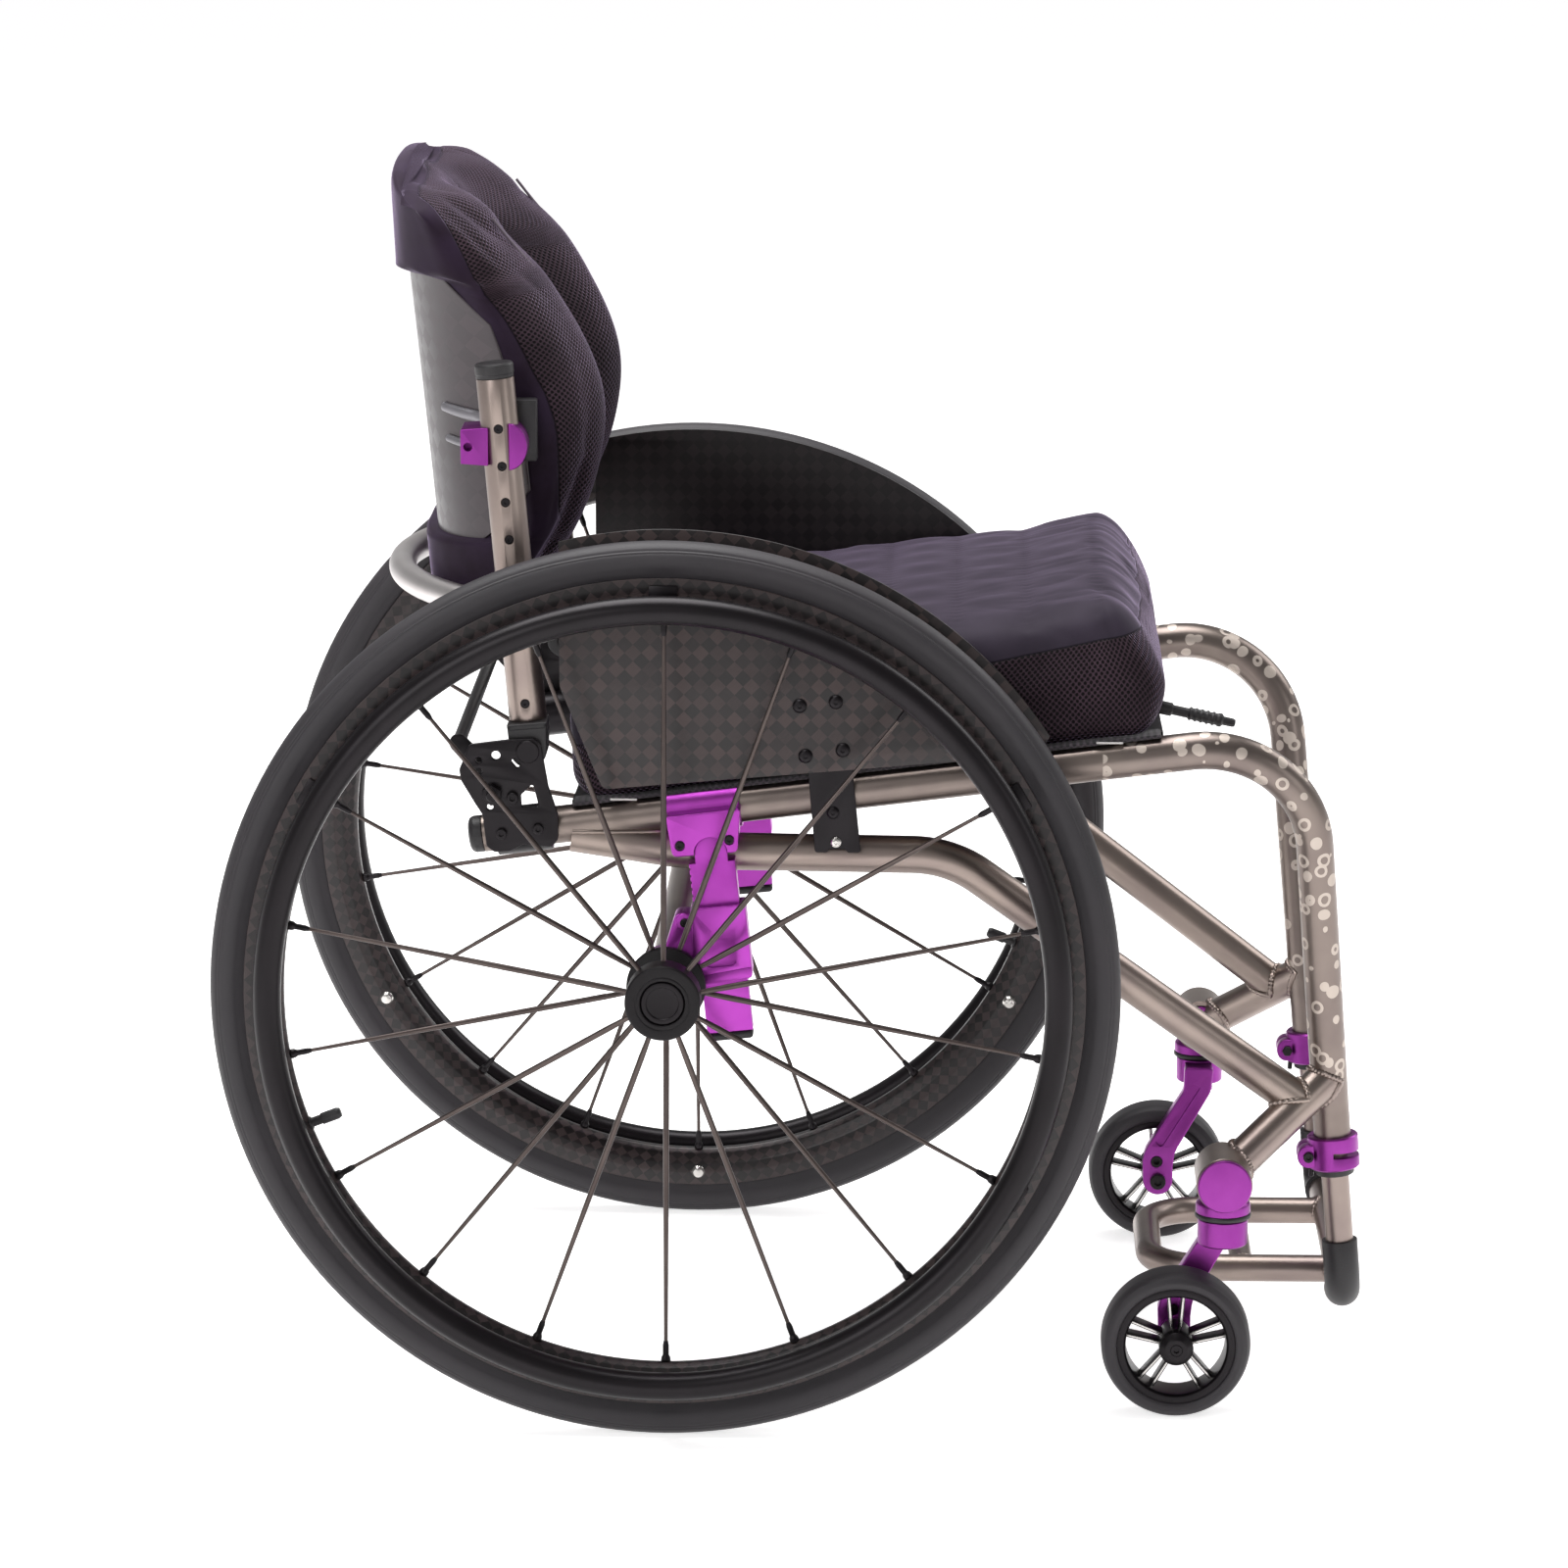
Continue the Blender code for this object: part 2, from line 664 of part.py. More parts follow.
def leg_clamp(side):
    """Split ring at the foot of the leg, with a lug for its bolt behind and a slot in front."""
    low, high = LEG_CLAMP
    ring = cylinder(leg_point(low, side), leg_point(high, side), TUBE + LEG_CLAMP_WALL, 14)
    middle = side * LEG_HALF
    lug = plate(rounded(((0.4300, 0.1565), (0.4520, 0.1565), (0.4520, 0.1720), (0.4300, 0.1720)), 0.0072),
                middle - 0.0105, middle + 0.0105)
    body = joined(ring, lug)
    above = bore(leg_point(LEG_END - FIT, side), leg_point(high + 0.01, side), TUBE, 14)
    below = bore(leg_point(low - 0.01, side), leg_point(LEG_END + 0.001, side), FOOT_TUBE, 12)
    split = box((0.42, middle - SPLIT_HALF, low - 0.01), (leg_x(low) - 0.004, middle + SPLIT_HALF, high + 0.01))
    slot = box((leg_x(low) + 0.002, middle - 0.03, 0.1642), (0.49, middle + 0.03, 0.1682))
    return cut(body, above, below, split, slot)


def frame_tubes(root):
    for side, letter in SIDES:
        finished(side_tube(side), "side_tube_" + letter, TITANIUM, root)
        finished(lower_tube(side), "lower_tube_" + letter, TITANIUM, root)
        finished(tube_plug(side), "tube_plug_" + letter, BLACK_PLASTIC, root)
        finished(leg_clamp(side), "leg_clamp_" + letter, PURPLE, root)


# Casters

def caster_housing(side):
    """Insert across the barrel, with the neck, flange and seal under it and the stem that the fork turns on."""
    def across(out, z=BARREL_Z):
        return (STEM_X, side * out, z)

    def down(z):
        return across(STEM_OUT, z)
    end = STEM_OUT + BARREL_HALF + FIT
    insert = cylinder(across(STEM_OUT - BARREL_HALF - 0.002), across(end + 0.001), INSERT_RADIUS, 12)
    disc = cylinder(across(end), across(end + 0.0032), BARREL_RADIUS - 0.0007, 16)
    flange = turned([(0, 0.158), (NECK_RADIUS, 0.158), (BARREL_RADIUS - 0.0005, 0.149),
                     (BARREL_RADIUS - 0.0005, SEAL_TOP), (0, SEAL_TOP)], 14, (STEM_X, side * STEM_OUT, 0))
    flange = cut(flange, bore(across(STEM_OUT - 0.05), across(end + 0.0001), BARREL_RADIUS, 16))
    neck = cylinder(down(BARREL_Z), down(SEAL_TOP + 0.001), NECK_RADIUS, 12)
    seal = cylinder(down(SEAL_TOP + 0.0001), down(SEAL_TOP - 0.0034), BARREL_RADIUS + 0.0002, 14)
    pin = cylinder(down(SEAL_TOP), down(CROWN_BOTTOM + 0.003), STEM_PIN, 10)
    body = joined(insert, disc, neck, flange, seal, pin)
    return cut(body, tube_around((arm_point(0.12, side), arm_point(1, side)), TUBE))


def caster_fork(side):
    """Crown bored for the stem, with one arm inboard of the wheel, its groove, spare hole and axle."""
    def down(z, back=0.0, out=STEM_OUT):
        return (STEM_X - back, side * out, z)
    near = side * (STEM_OUT - FORK_NEAR)
    far = side * (STEM_OUT - FORK_NEAR - FORK_THICK)
    crown = cylinder(down(CROWN_BOTTOM), down(CROWN_TOP), CROWN_RADIUS, 14)
    inside = (near + far) / 2
    shoulder = box((STEM_X - 0.011, min(inside, side * STEM_OUT), CROWN_BOTTOM - 0.0008),
                   (STEM_X + 0.0085, max(inside, side * STEM_OUT), CROWN_TOP - 0.0016))
    axle_x, axle_z = -CASTER_TRAIL, CASTER_RADIUS
    outline = [(0.0095, CROWN_TOP - 0.001), (0.0075, 0.119), (-0.0187, 0.0724), (axle_x + 0.011, 0.061)]
    outline += sector(axle_x, axle_z, 0.011, 0, -180, 6)
    outline += [(axle_x - 0.0115, 0.066), (-0.0405, 0.0745), (-0.0125, 0.120), (-0.012, CROWN_TOP - 0.001)]
    outline = [(STEM_X + x, z) for x, z in outline]
    arm = plate(outline, near, far, [circle(STEM_X + axle_x - 0.001, axle_z + 0.0145, 0.0038)])
    groove = rounded([(STEM_X + x, z) for x, z in ((-0.0285, 0.076), (-0.0335, 0.0805), (-0.0065, 0.1255),
                                                   (0.0005, 0.1235))], 0.0022)
    groove = plate(groove, far + side * 0.002, far - side * 0.01)
    hub = down(axle_z, CASTER_TRAIL, STEM_OUT - FORK_NEAR - 0.006)
    tip = down(axle_z, CASTER_TRAIL, STEM_OUT + 0.0205)
    nut = down(axle_z, CASTER_TRAIL, STEM_OUT + 0.0195)
    nut_end = down(axle_z, CASTER_TRAIL, STEM_OUT + 0.0245)
    axle = cylinder(hub, tip, CASTER_AXLE, 8)
    head = cylinder(nut, nut_end, CASTER_HUB - 0.0005, 12, 0.0075)
    body = joined(crown, shoulder, arm)
    body = cut(body, groove, bore(down(CROWN_TOP + 0.01), down(CROWN_BOTTOM + 0.002), STEM_PIN, 10, RUNNING))
    return joined(body, axle, head)


def caster_wheel():
    """Rim and hub joined by five double spokes, about Z."""
    hole = bore_radius(CASTER_AXLE, 12, RUNNING)
    low, high = -(FORK_NEAR - RUNNING), 0.0189
    hub = turned([(CASTER_HUB, high), (CASTER_HUB, low), (hole, low), (hole, high)], 12)
    half = CASTER_WIDTH / 2 - 0.002
    ring = turned([(CASTER_RIM, half), (CASTER_RIM, -half), (CASTER_OPENING, -half), (CASTER_OPENING, half)],
                  CASTER_STEPS)
    spokes = []
    for i in range(5):
        for lean in (-1, 1):
            foot = Vector((0.010, 0.0028 * lean, 0))
            tip = Vector((CASTER_OPENING + 0.0022, 0.0048 * lean, 0))
            across = (tip - foot).cross(Vector((0, 0, 1))).normalized() * 0.0011
            rise = Vector((0, 0, 0.0065))
            ends = [(point - across - rise, point + across - rise, point + across + rise, point - across + rise)
                    for point in (foot, tip)]
            spoke = lofted(ends)
            spoke.rotation_euler.z = 2 * pi * i / 5 + pi / 2
            spokes.append(baked(spoke))
    return joined(hub, *spokes, ring)


def caster_tyre():
    half = CASTER_WIDTH / 2
    seat = CASTER_RIM + FIT
    profile = [(CASTER_RADIUS, half - 0.007), (CASTER_RADIUS, 0.007 - half), (CASTER_RADIUS - 0.005, -half),
               (seat, 0.0010 - half), (seat, half - 0.0010), (CASTER_RADIUS - 0.005, half)]
    flat = cos(pi / CASTER_STEPS)
    outer = [(radius / flat, height) for radius, height in profile]
    return turned(outer, CASTER_STEPS, start=pi / CASTER_STEPS)


def casters(root):
    first = {}
    for side, letter in SIDES:
        stem = (STEM_X, side * STEM_OUT, SEAL_TOP)
        swivel = pivot("swivel_" + letter, stem, root)
        axle = (STEM_X - CASTER_TRAIL, side * STEM_OUT, CASTER_RADIUS)
        spin = pivot("caster_spin_" + letter, axle, swivel, (pi / 2, 0, pi if side > 0 else 0))
        finished(caster_housing(side), "caster_housing_" + letter, PURPLE, root)
        finished(caster_fork(side), "caster_fork_" + letter, PURPLE, swivel)
        for name, maker, look in (("caster_wheel", caster_wheel, BLACK_METAL), ("caster_tyre", caster_tyre, TYRE_RUBBER)):
            if name in first:
                copied(first[name], name + "_" + letter, spin)
            else:
                first[name] = finished(maker(), name + "_" + letter, look, spin, local=True)


# Footrest

def corner_sleeve(side):
    """Rubber sleeve round a corner of the footrest's tube."""
    route = foot_route() if side < 0 else foot_route()[::-1]
    corner = [point for point in route if point.y * side > 0 and point.z < FOOT_Z + 1.1 * FOOT_BEND]
    around = [Vector(leg_point(SLEEVE_TOP, side))] + corner
    return cut(tube(around, CORNER_SLEEVE), tube_around(route, FOOT_TUBE))


def footrest_loop():
    """Bent loop behind the cross tube, with a strut between its arms."""
    front = leg_x(FOOT_Z)
    corners = [(front, -LOOP_HALF, LOOP_Z), (LOOP_REAR, -LOOP_HALF, LOOP_Z), (LOOP_REAR, LOOP_HALF, LOOP_Z),
               (front, LOOP_HALF, LOOP_Z)]
    loop = tube(bent(corners, (0.040, 0.040)), FOOT_TUBE)
    strut = cylinder((STRUT_X, -LOOP_HALF, LOOP_Z), (STRUT_X, LOOP_HALF, LOOP_Z), STRUT_RADIUS, 10)
    return cut(joined(loop, strut), tube_around(foot_route(), FOOT_TUBE))


def footrest(root):
    height = pivot("footrest_height", leg_point(LEG_END, 0), root)
    finished(tube(foot_route(), FOOT_TUBE), "footrest_tube", TITANIUM, height)
    finished(footrest_loop(), "footrest_loop", TITANIUM, height)
    for side, letter in SIDES:
        finished(corner_sleeve(side), "corner_sleeve_" + letter, BLACK_PLASTIC, height)


# Rear axle group

def arch_outline(half, radius, top, gap=0.0):
    """The post's outline: straight sides, then a round head that the saddle is cut away for."""
    outline = [post_place(-half - gap, 0), post_place(half + gap, 0), post_place(half + gap, top + gap),
               post_place(radius + gap, top + gap)]
    head = [(cos(radians(a)) * (radius + gap), top + ARCH_RISE + sin(radians(a)) * (radius + gap))
            for a in range(0, 181, 45)]
    outline += [post_place(u, v) for u, v in head]
    return outline + [post_place(-radius - gap, top + gap), post_place(-half - gap, top + gap)]


def axle_post(side):
    return plate(arch_outline(POST_HALF, ARCH_RADIUS, POST_LENGTH), side * SIDE_PLANE, side * POST_FACE)


def axle_clamp(side):
    """Saddle over the seat tube, which reaches down beside the lower rail to take the post."""
    rear, front = SADDLE_REAR, SADDLE_FRONT
    ring = cylinder(seat_point(rear, side), seat_point(front, side), SADDLE_RADIUS, 14)
    skirt = rounded(((rear, seat_z(rear) + 0.003), (rear + 0.0047, 0.3885), (0.0475, 0.3925),
                     (front + 0.001, seat_z(front) + 0.003)), 0.003)
    body = joined(ring, plate(skirt, side * SEAT_HALF, side * SADDLE_FACE))
    head = plate(arch_outline(POST_HALF, ARCH_RADIUS, POST_LENGTH, FIT), side * (SEAT_HALF - TUBE),
                 side * (SADDLE_FACE + TUBE))
    long_seat = (seat_point(rear - 0.05, side), seat_point(front + 0.05, side))
    body = cut(body, tube_around(long_seat, TUBE), tube_around(rail_route(side), TUBE))
    return cut(body, head)


def axle_collar(side):
    """Collar on the post, with the ring that clamps the camber tube beside it."""
    corners = [(-COLLAR_HALF, COLLAR_LOW), (COLLAR_HALF, COLLAR_LOW + 0.004), (COLLAR_HALF, COLLAR_HIGH),
               (-COLLAR_HALF, COLLAR_HIGH)]
    body = plate(rounded([post_place(u, v) for u, v in corners], 0.003), side * COLLAR_IN, side * COLLAR_OUT)
    centre = (0, CAMBER_TUBE_Z)
    ring = plate(circle(*centre, RING_RADIUS, 14), side * COLLAR_IN, side * CAMBER_TUBE_END)
    web = plate(rounded(((-0.004, 0.318), (0.026, 0.305), (0.026, 0.350), (0.006, 0.3505)), 0.005),
                side * COLLAR_IN, side * (COLLAR_OUT - 0.003))
    body = joined(body, ring, web)
    post = plate(arch_outline(POST_HALF, ARCH_RADIUS, POST_LENGTH, FIT), side * (SIDE_PLANE - FIT),
                 side * (POST_FACE + FIT))
    reach = (COLLAR_OUT - COLLAR_IN) / 2 + TUBE
    middle = (COLLAR_IN + COLLAR_OUT) / 2
    hole = bore((0, side * (middle - reach), CAMBER_TUBE_Z), (0, side * (middle + reach), CAMBER_TUBE_Z), TUBE, 14)
    window = [post_place(u, v) for u, v in ((-0.011, 0.047), (0.010, 0.047), (0.010, 0.067), (-0.011, 0.067))]
    window = plate(rounded(window, 0.004), side * (COLLAR_OUT - 0.002), side * (COLLAR_OUT + 0.01))
    return cut(body, post, hole, window)


def camber_tube():
    """Cross tube, bored at both ends for the axle sleeves."""
    body = cylinder((0, -CAMBER_TUBE_END, CAMBER_TUBE_Z), (0, CAMBER_TUBE_END, CAMBER_TUBE_Z), TUBE, 14)
    sleeves = []
    for side, _ in SIDES:
        hub = Vector((0, side * HUB_OUT, HUB_Z))
        outboard = Vector((0, side * cos(CAMBER), sin(CAMBER)))
        sleeves.append(bore(hub, hub + outboard * (SLEEVE_END - FIT), SLEEVE_RADIUS, 12))
    return cut(body, *sleeves)


def axle_group(root):
    finished(camber_tube(), "camber_tube", TITANIUM, root)
    for side, letter in SIDES:
        finished(axle_clamp(side), "axle_clamp_" + letter, PURPLE, root)
        finished(axle_post(side), "axle_post_" + letter, PURPLE, root)
        finished(axle_collar(side), "axle_collar_" + letter, PURPLE, root)


# Guards, sling and seat cushion

def side_guard(side):
    """Flat plate whose top follows the tyre."""
    first = 90 + 57.2958 * atan(-GUARD_REAR / sqrt(GUARD_RADIUS ** 2 - GUARD_REAR ** 2))
    arc = sector(0, HUB_Z, GUARD_RADIUS, 33.0, first, 14)
    outline = arc + [(GUARD_REAR, 0.503), (-0.0435, 0.4325), (0.1998, 0.4535), (0.2500, 0.4590)]
    return plate(outline, side * GUARD_IN, side * (GUARD_IN + GUARD_THICK))


def guard_bracket(side):
    corners = ((0.0860, 0.5000), (0.1225, 0.5030), (0.1245, 0.4430), (0.1300, 0.3895), (0.0990, 0.3895),
               (0.0940, 0.4430))
    return plate(rounded(corners, 0.003), side * SIDE_PLANE, side * (SIDE_PLANE + 0.003))


def seat_sling():
    """Sling between the seat tubes, with a slight sag."""
    rows = []
    for i in range(5):
        x = SLING_REAR + (SLING_FRONT - SLING_REAR) * i / 4
        row = []
        for j in range(9):
            share = j / 4 - 1
            drop = SLING_SAG * (1 - share ** 2)
            row.append((x, share * SLING_HALF, seat_z(x) + TUBE - SLING_THICK / 2 - drop))
        rows.append(row)
    return sheet(rows, SLING_THICK)


def seat_cushion():
    """Cushion with a crown and drawn-in sides, bored for its valve."""
    def section(x, width, low, high):
        base = seat_z(x) + TUBE - 0.0025
        half = CUSHION_HALF * width
        crown = CUSHION_CROWN * (high - low)
        side = [(0.88, low), (1.01, 0.20 * high + low), (1.01, 0.78 * high), (0.88, high)]
        points = [(share * half, base + CUSHION_HEIGHT * rise) for share, rise in side]
        left = [(x, y, z) for y, z in points]
        right = [(x, -y, z) for y, z in points[::-1]]
        middle = (x, 0, base - SLING_SAG * 0.6 + CUSHION_HEIGHT * low)
        return [middle, *left, (x, 0, base + CUSHION_HEIGHT * high + 1.3 * crown), *right]
    stations = ((CUSHION_REAR - 0.004, 0.93, 0.18, 0.82), (CUSHION_REAR + 0.012, 1.0, 0.0, 1.0),
                (0.134, 1.0, 0.0, 1.0), (CUSHION_FRONT - 0.016, 1.0, 0.0, 1.0),
                (CUSHION_FRONT + 0.004, 0.94, 0.15, 0.80))
    soft = lofted([section(*station) for station in stations], 2)
    return cut(soft, bore(valve_route(-0.0245), valve_route(0.01), VALVE_RADIUS, 8))


def valve_route(length):
    """A point on the valve's axis, at a distance from the cushion's front."""
    x = CUSHION_FRONT
    along = Vector((1, 0, -0.215)).normalized()
    return Vector((x, -VALVE_OUT, seat_z(x) + TUBE + 0.0105)) + along * length


def inflation_valve():
    """Stub, ribbed grip and tip of the cushion's valve."""
    along = valve_route(1) - valve_route(0)
    radius = VALVE_RADIUS
    profile = [(0, 0.043), (0.0028, 0.043), (0.0030, 0.036), (0.0046, 0.035)]
    for rib in (0.0325, 0.0255):
        profile += [(0.0046, rib), (0.0037, rib - 0.0015), (0.0046, rib - 0.003)]
    profile += [(0.0046, 0.014), (0.0034, 0.013), (0.0034, 0.002), (radius, 0.001), (radius, -0.024), (0, -0.024)]
    return turned(profile, 8, valve_route(0), along)


def seat(root):
    finished(seat_sling(), "seat_sling", FABRIC, root)
    finished(seat_cushion(), "seat_cushion", FABRIC, root)
    finished(inflation_valve(), "inflation_valve", BLACK_PLASTIC, root)
    for side, letter in SIDES:
        finished(guard_bracket(side), "guard_bracket_" + letter, BLACK_METAL, root)
        finished(side_guard(side), "side_guard_" + letter, CARBON, root)


# Back

def back_bracket(side):
    """Plate on the seat tube, with the back's pivot pin and the release bar's pin."""
    outline = ((-0.1359, 0.4553), (-0.1330, 0.4625), (-0.1055, 0.4660), (-0.0897, 0.4668), (-0.0850, 0.4640),
               (-0.0838, 0.4563), (-0.0801, 0.4341), (-0.0736, 0.4146), (-0.0737, 0.3976), (-0.0784, 0.3922),
               (-0.0976, 0.3941), (-0.1062, 0.3893), (-0.1168, 0.3886), (-0.1221, 0.3926), (-0.1245, 0.4142),
               (-0.1297, 0.4223), (-0.1388, 0.4378), (-0.1400, 0.4452))
    window = ((-0.0906, 0.4360), (-0.0865, 0.4199), (-0.0980, 0.4198), (-0.0986, 0.4279))
    slot = ((-0.1052, 0.4514), (-0.1026, 0.4540), (-0.0982, 0.4488), (-0.1008, 0.4462))
    holes = [window, slot, circle(-0.1152, 0.4552, 0.003), circle(-0.1266, 0.4519, 0.0022, 6),
             circle(-0.1268, 0.4442, 0.0022, 6), circle(-0.1194, 0.4197, 0.0022, 6)]
    body = plate(outline, side * SIDE_PLANE, side * BRACKET_OUT, holes)
    ring = cylinder(seat_point(-0.1165, side), seat_point(-0.0795, side), CLAMP_RADIUS, 12)
    long_seat = (seat_point(-0.2, side), seat_point(0, side))
    clamp = cut(joined(body, ring), tube_around(long_seat, TUBE))

    def pin(place, radius, inner, outer, sides):
        x, z = place
        return cylinder((x, side * inner, z), (x, side * outer, z), radius, sides)
    pivot_pin = pin(PIVOT, PIVOT_PIN, BLOCK_IN - 0.001, BRACKET_OUT + 0.001, 10)
    pivot_head = pin(PIVOT, 0.0078, BRACKET_OUT - 0.001, BRACKET_OUT + 0.002, 12)
    lever_pin = pin(RELEASE_PIVOT, RELEASE_PIN, RELEASE_ARM_IN - 0.001, BRACKET_OUT + 0.001, 8)
    lever_head = pin(RELEASE_PIVOT, 0.0065, BRACKET_OUT - 0.001, BRACKET_OUT + 0.003, 6)
    return joined(clamp, pivot_pin, pivot_head, lever_pin, lever_head)


def pivot_block(side):
    """Foot of the cane: an eye on the pivot pin, and a spigot inside the cane."""
    low, high = side * BLOCK_IN, side * (SIDE_PLANE - RUNNING)
    x, z = PIVOT
    top = [(x + across, CANE_FOOT[1] - FIT + CANE_LEAN * (x + across - CANE_FOOT[0])) for across in (-0.0145, 0.0125)]
    outline = top + sector(x, z, BLOCK_EYE, 0, -180, 8)
    eye = bore((x, side * (BLOCK_IN - TUBE), z), (x, side * (SIDE_PLANE + TUBE), z), PIVOT_PIN, 10, RUNNING)
    body = cut(plate(outline, low, high), eye)
    foot = CANE_FOOT[1]
    spigot = cylinder(cane_point(foot - 0.005, side), cane_point(foot + SPIGOT_LENGTH, side), SPIGOT_RADIUS, 12)
    return joined(body, spigot)


def back_cane(side):
    """Straight tube with its row of adjusting holes, open at the foot for the spigot."""
    foot = CANE_FOOT[1]
    body = tube((cane_point(foot, side), cane_point(CANE_TOP, side)), TUBE)
    cuts = [bore(cane_point(foot - 0.01, side), cane_point(foot + SPIGOT_LENGTH + 0.001, side), SPIGOT_RADIUS)]
    for z in CANE_HOLES:
        x = cane_x(z)
        cuts.append(cylinder((x, side * (CANE_OUT + 0.006), z), (x, side * (CANE_OUT + 0.02), z), 0.0032, 8))
    return cut(body, *cuts)


def cane_cap(side):
    top = Vector(cane_point(CANE_TOP, side))
    along = Vector((-CANE_LEAN, 0, 1)).normalized()
    profile = [(0, CAP_LENGTH), (TUBE - 0.0015, CAP_LENGTH), (TUBE + 0.0005, CAP_LENGTH - 0.002),
               (TUBE + 0.0005, FIT), (0, FIT)]
    return turned(profile, 14, top, along)


def bow_route():
    """Arc between the canes, in a level plane."""
    half = CANE_OUT - 0.002
    radius = (half ** 2 + BOW_DEPTH ** 2) / (2 * BOW_DEPTH)
    front = cane_x(BOW_Z) - 0.004
    centre = front - BOW_DEPTH + radius
    reach = atan(half / (radius - BOW_DEPTH))
    angles = [reach * (i / 6 - 1) for i in range(13)]
    return [Vector((centre - radius * cos(a), radius * sin(a), BOW_Z)) for a in angles]


def rigidizer_bar():
    canes = [tube_around((cane_point(0.5, side), cane_point(0.6, side)), TUBE) for side, _ in SIDES]
    return cut(tube(bow_route(), BOW_TUBE, 2), *canes)


def release_bar():
    """Bar across the chair on an arm at each side, which turns on the bracket's pin."""
    out = RELEASE_ARM_IN + RELEASE_ARM_THICK
    x, z = RELEASE_BAR
    bar = cylinder((x, -out, z), (x, out, z), RELEASE_RADIUS, 8)
    arms = []
    for side, _ in SIDES:
        foot_x, foot_z = RELEASE_PIVOT
        outline = sector(foot_x, foot_z, 0.0075, 225, 405, 4) + sector(x, z, 0.0062, 45, 225, 4)
        low, high = side * RELEASE_ARM_IN, side * out
        eye = bore((foot_x, side * (RELEASE_ARM_IN - TUBE), foot_z), (foot_x, side * (out + TUBE), foot_z),
                   RELEASE_PIN, 8, RUNNING)
        arms.append(cut(plate(outline, low, high), eye))
    return joined(bar, *arms)


def shell_x(y, z, gap=0.0):
    """The middle of the shell's thickness: flat across the back, then wings that come forward at the sides."""
    share = abs(y) / SHELL_HALF
    wing = SHELL_WING - 0.035 * max(0, (z - 0.68) / (SHELL_HIGH - 0.68))
    rear = SHELL_REAR - SHELL_LEAN * (z - SHELL_Z) + SHELL_THICK / 2
    return rear + wing * share ** 4 - gap


def shell_rows(spread=0.0):
    """Rows of the shell's middle surface. Spread adds a border all round, for a cutter."""
    shares = [-1, -0.94, -0.84, -0.68, -0.4, 0, 0.4, 0.68, 0.84, 0.94, 1]
    lifts = [i / 6 for i in range(7)]
    if spread:
        shares = [-1 - spread / SHELL_HALF, *shares, 1 + spread / SHELL_HALF]
        lifts = [-spread / (SHELL_HIGH - SHELL_LOW), *lifts, 1 + spread / (SHELL_HIGH - SHELL_LOW)]
    rows = []
    for lift in lifts:
        row = []
        for share in shares:
            corner = abs(share) ** 5
            low = SHELL_LOW + 0.03 * corner
            high = SHELL_HIGH - 0.06 * corner
            z = low + (high - low) * lift
            y = share * SHELL_HALF
            row.append((shell_x(y, z), y, z))
        rows.append(row)
    return rows


def back_shell():
    return sheet(shell_rows(), SHELL_THICK)


def stretched(x, z):
    """Where a point of the cushion's drawing lies on a shell of this height."""
    there = SHELL_LOW + (z - SHELL_LOW) * (SHELL_HIGH - SHELL_LOW) / DRAWN_HEIGHT
    return (x - SHELL_LEAN * (there - z), there)


def back_cushion():
    """Deep cushion with two lobes and a valley, whose cover wraps the shell's top and bottom."""
    half = SHELL_HALF + SHELL_THICK / 2
    lobe = ((-0.150, 0.846), (-0.118, 0.795), (-0.088, 0.750), (-0.0615, 0.698), (-0.0500, 0.655),
            (-0.0475, 0.612), (-0.0640, 0.565), (-0.1100, 0.534))
    valley = ((-0.160, 0.838), (-0.148, 0.795), (-0.139, 0.745), (-0.128, 0.695), (-0.121, 0.650),
              (-0.118, 0.605), (-0.124, 0.562), (-0.140, 0.535))

    def section(y, mix, shrink):
        def rear(z):
            return (shell_x(y, z) - WRAP - SHELL_THICK / 2, z)
        outline = [rear(stretched(0, z)[1]) for z in (0.548, 0.61, 0.75, 0.826)]
        outline.append(stretched(-0.180, 0.842))
        for front, inner in zip(lobe, valley):
            outline.append(stretched(*(i + (f - i) * mix for f, i in zip(front, inner))))
        outline.append((outline[0][0] + 0.012, stretched(0, 0.536)[1]))
        x = sum(point[0] for point in outline) / len(outline)
        z = sum(point[1] for point in outline) / len(outline)
        return [(x + (a - x) * shrink, y, z + (b - z) * shrink) for a, b in outline]
    stations = ((1.0, 1.0, 0.80), (0.955, 1.0, 0.95), (0.82, 1.0, 1.0), (0.60, 0.85, 1.0), (0.30, 0.25, 1.0))
    right = [section(-share * half, mix, shrink) for share, mix, shrink in stations]
    left = [section(share * half, mix, shrink) for share, mix, shrink in stations[::-1]]
    soft = lofted([*right, section(0, 0, 1.0), *left], 1)
    slot = sheet(shell_rows(2 * FIT), SHELL_THICK + 2 * FIT)
    behind = []
    for share in (-1.02, -1, -0.94, -0.84, -0.68, -0.4, 0, 0.4, 0.68, 0.84, 0.94, 1, 1.02):
        y = share * SHELL_HALF
        low, high = OPEN_LOW, OPEN_HIGH
        front = [(shell_x(y, z, -0.0005), y, z) for z in (low, (low + high) / 2, high)]
        behind.append([*front, (-0.26, y, high), (-0.26, y, low)])
    return cut(soft, slot, lofted(behind))


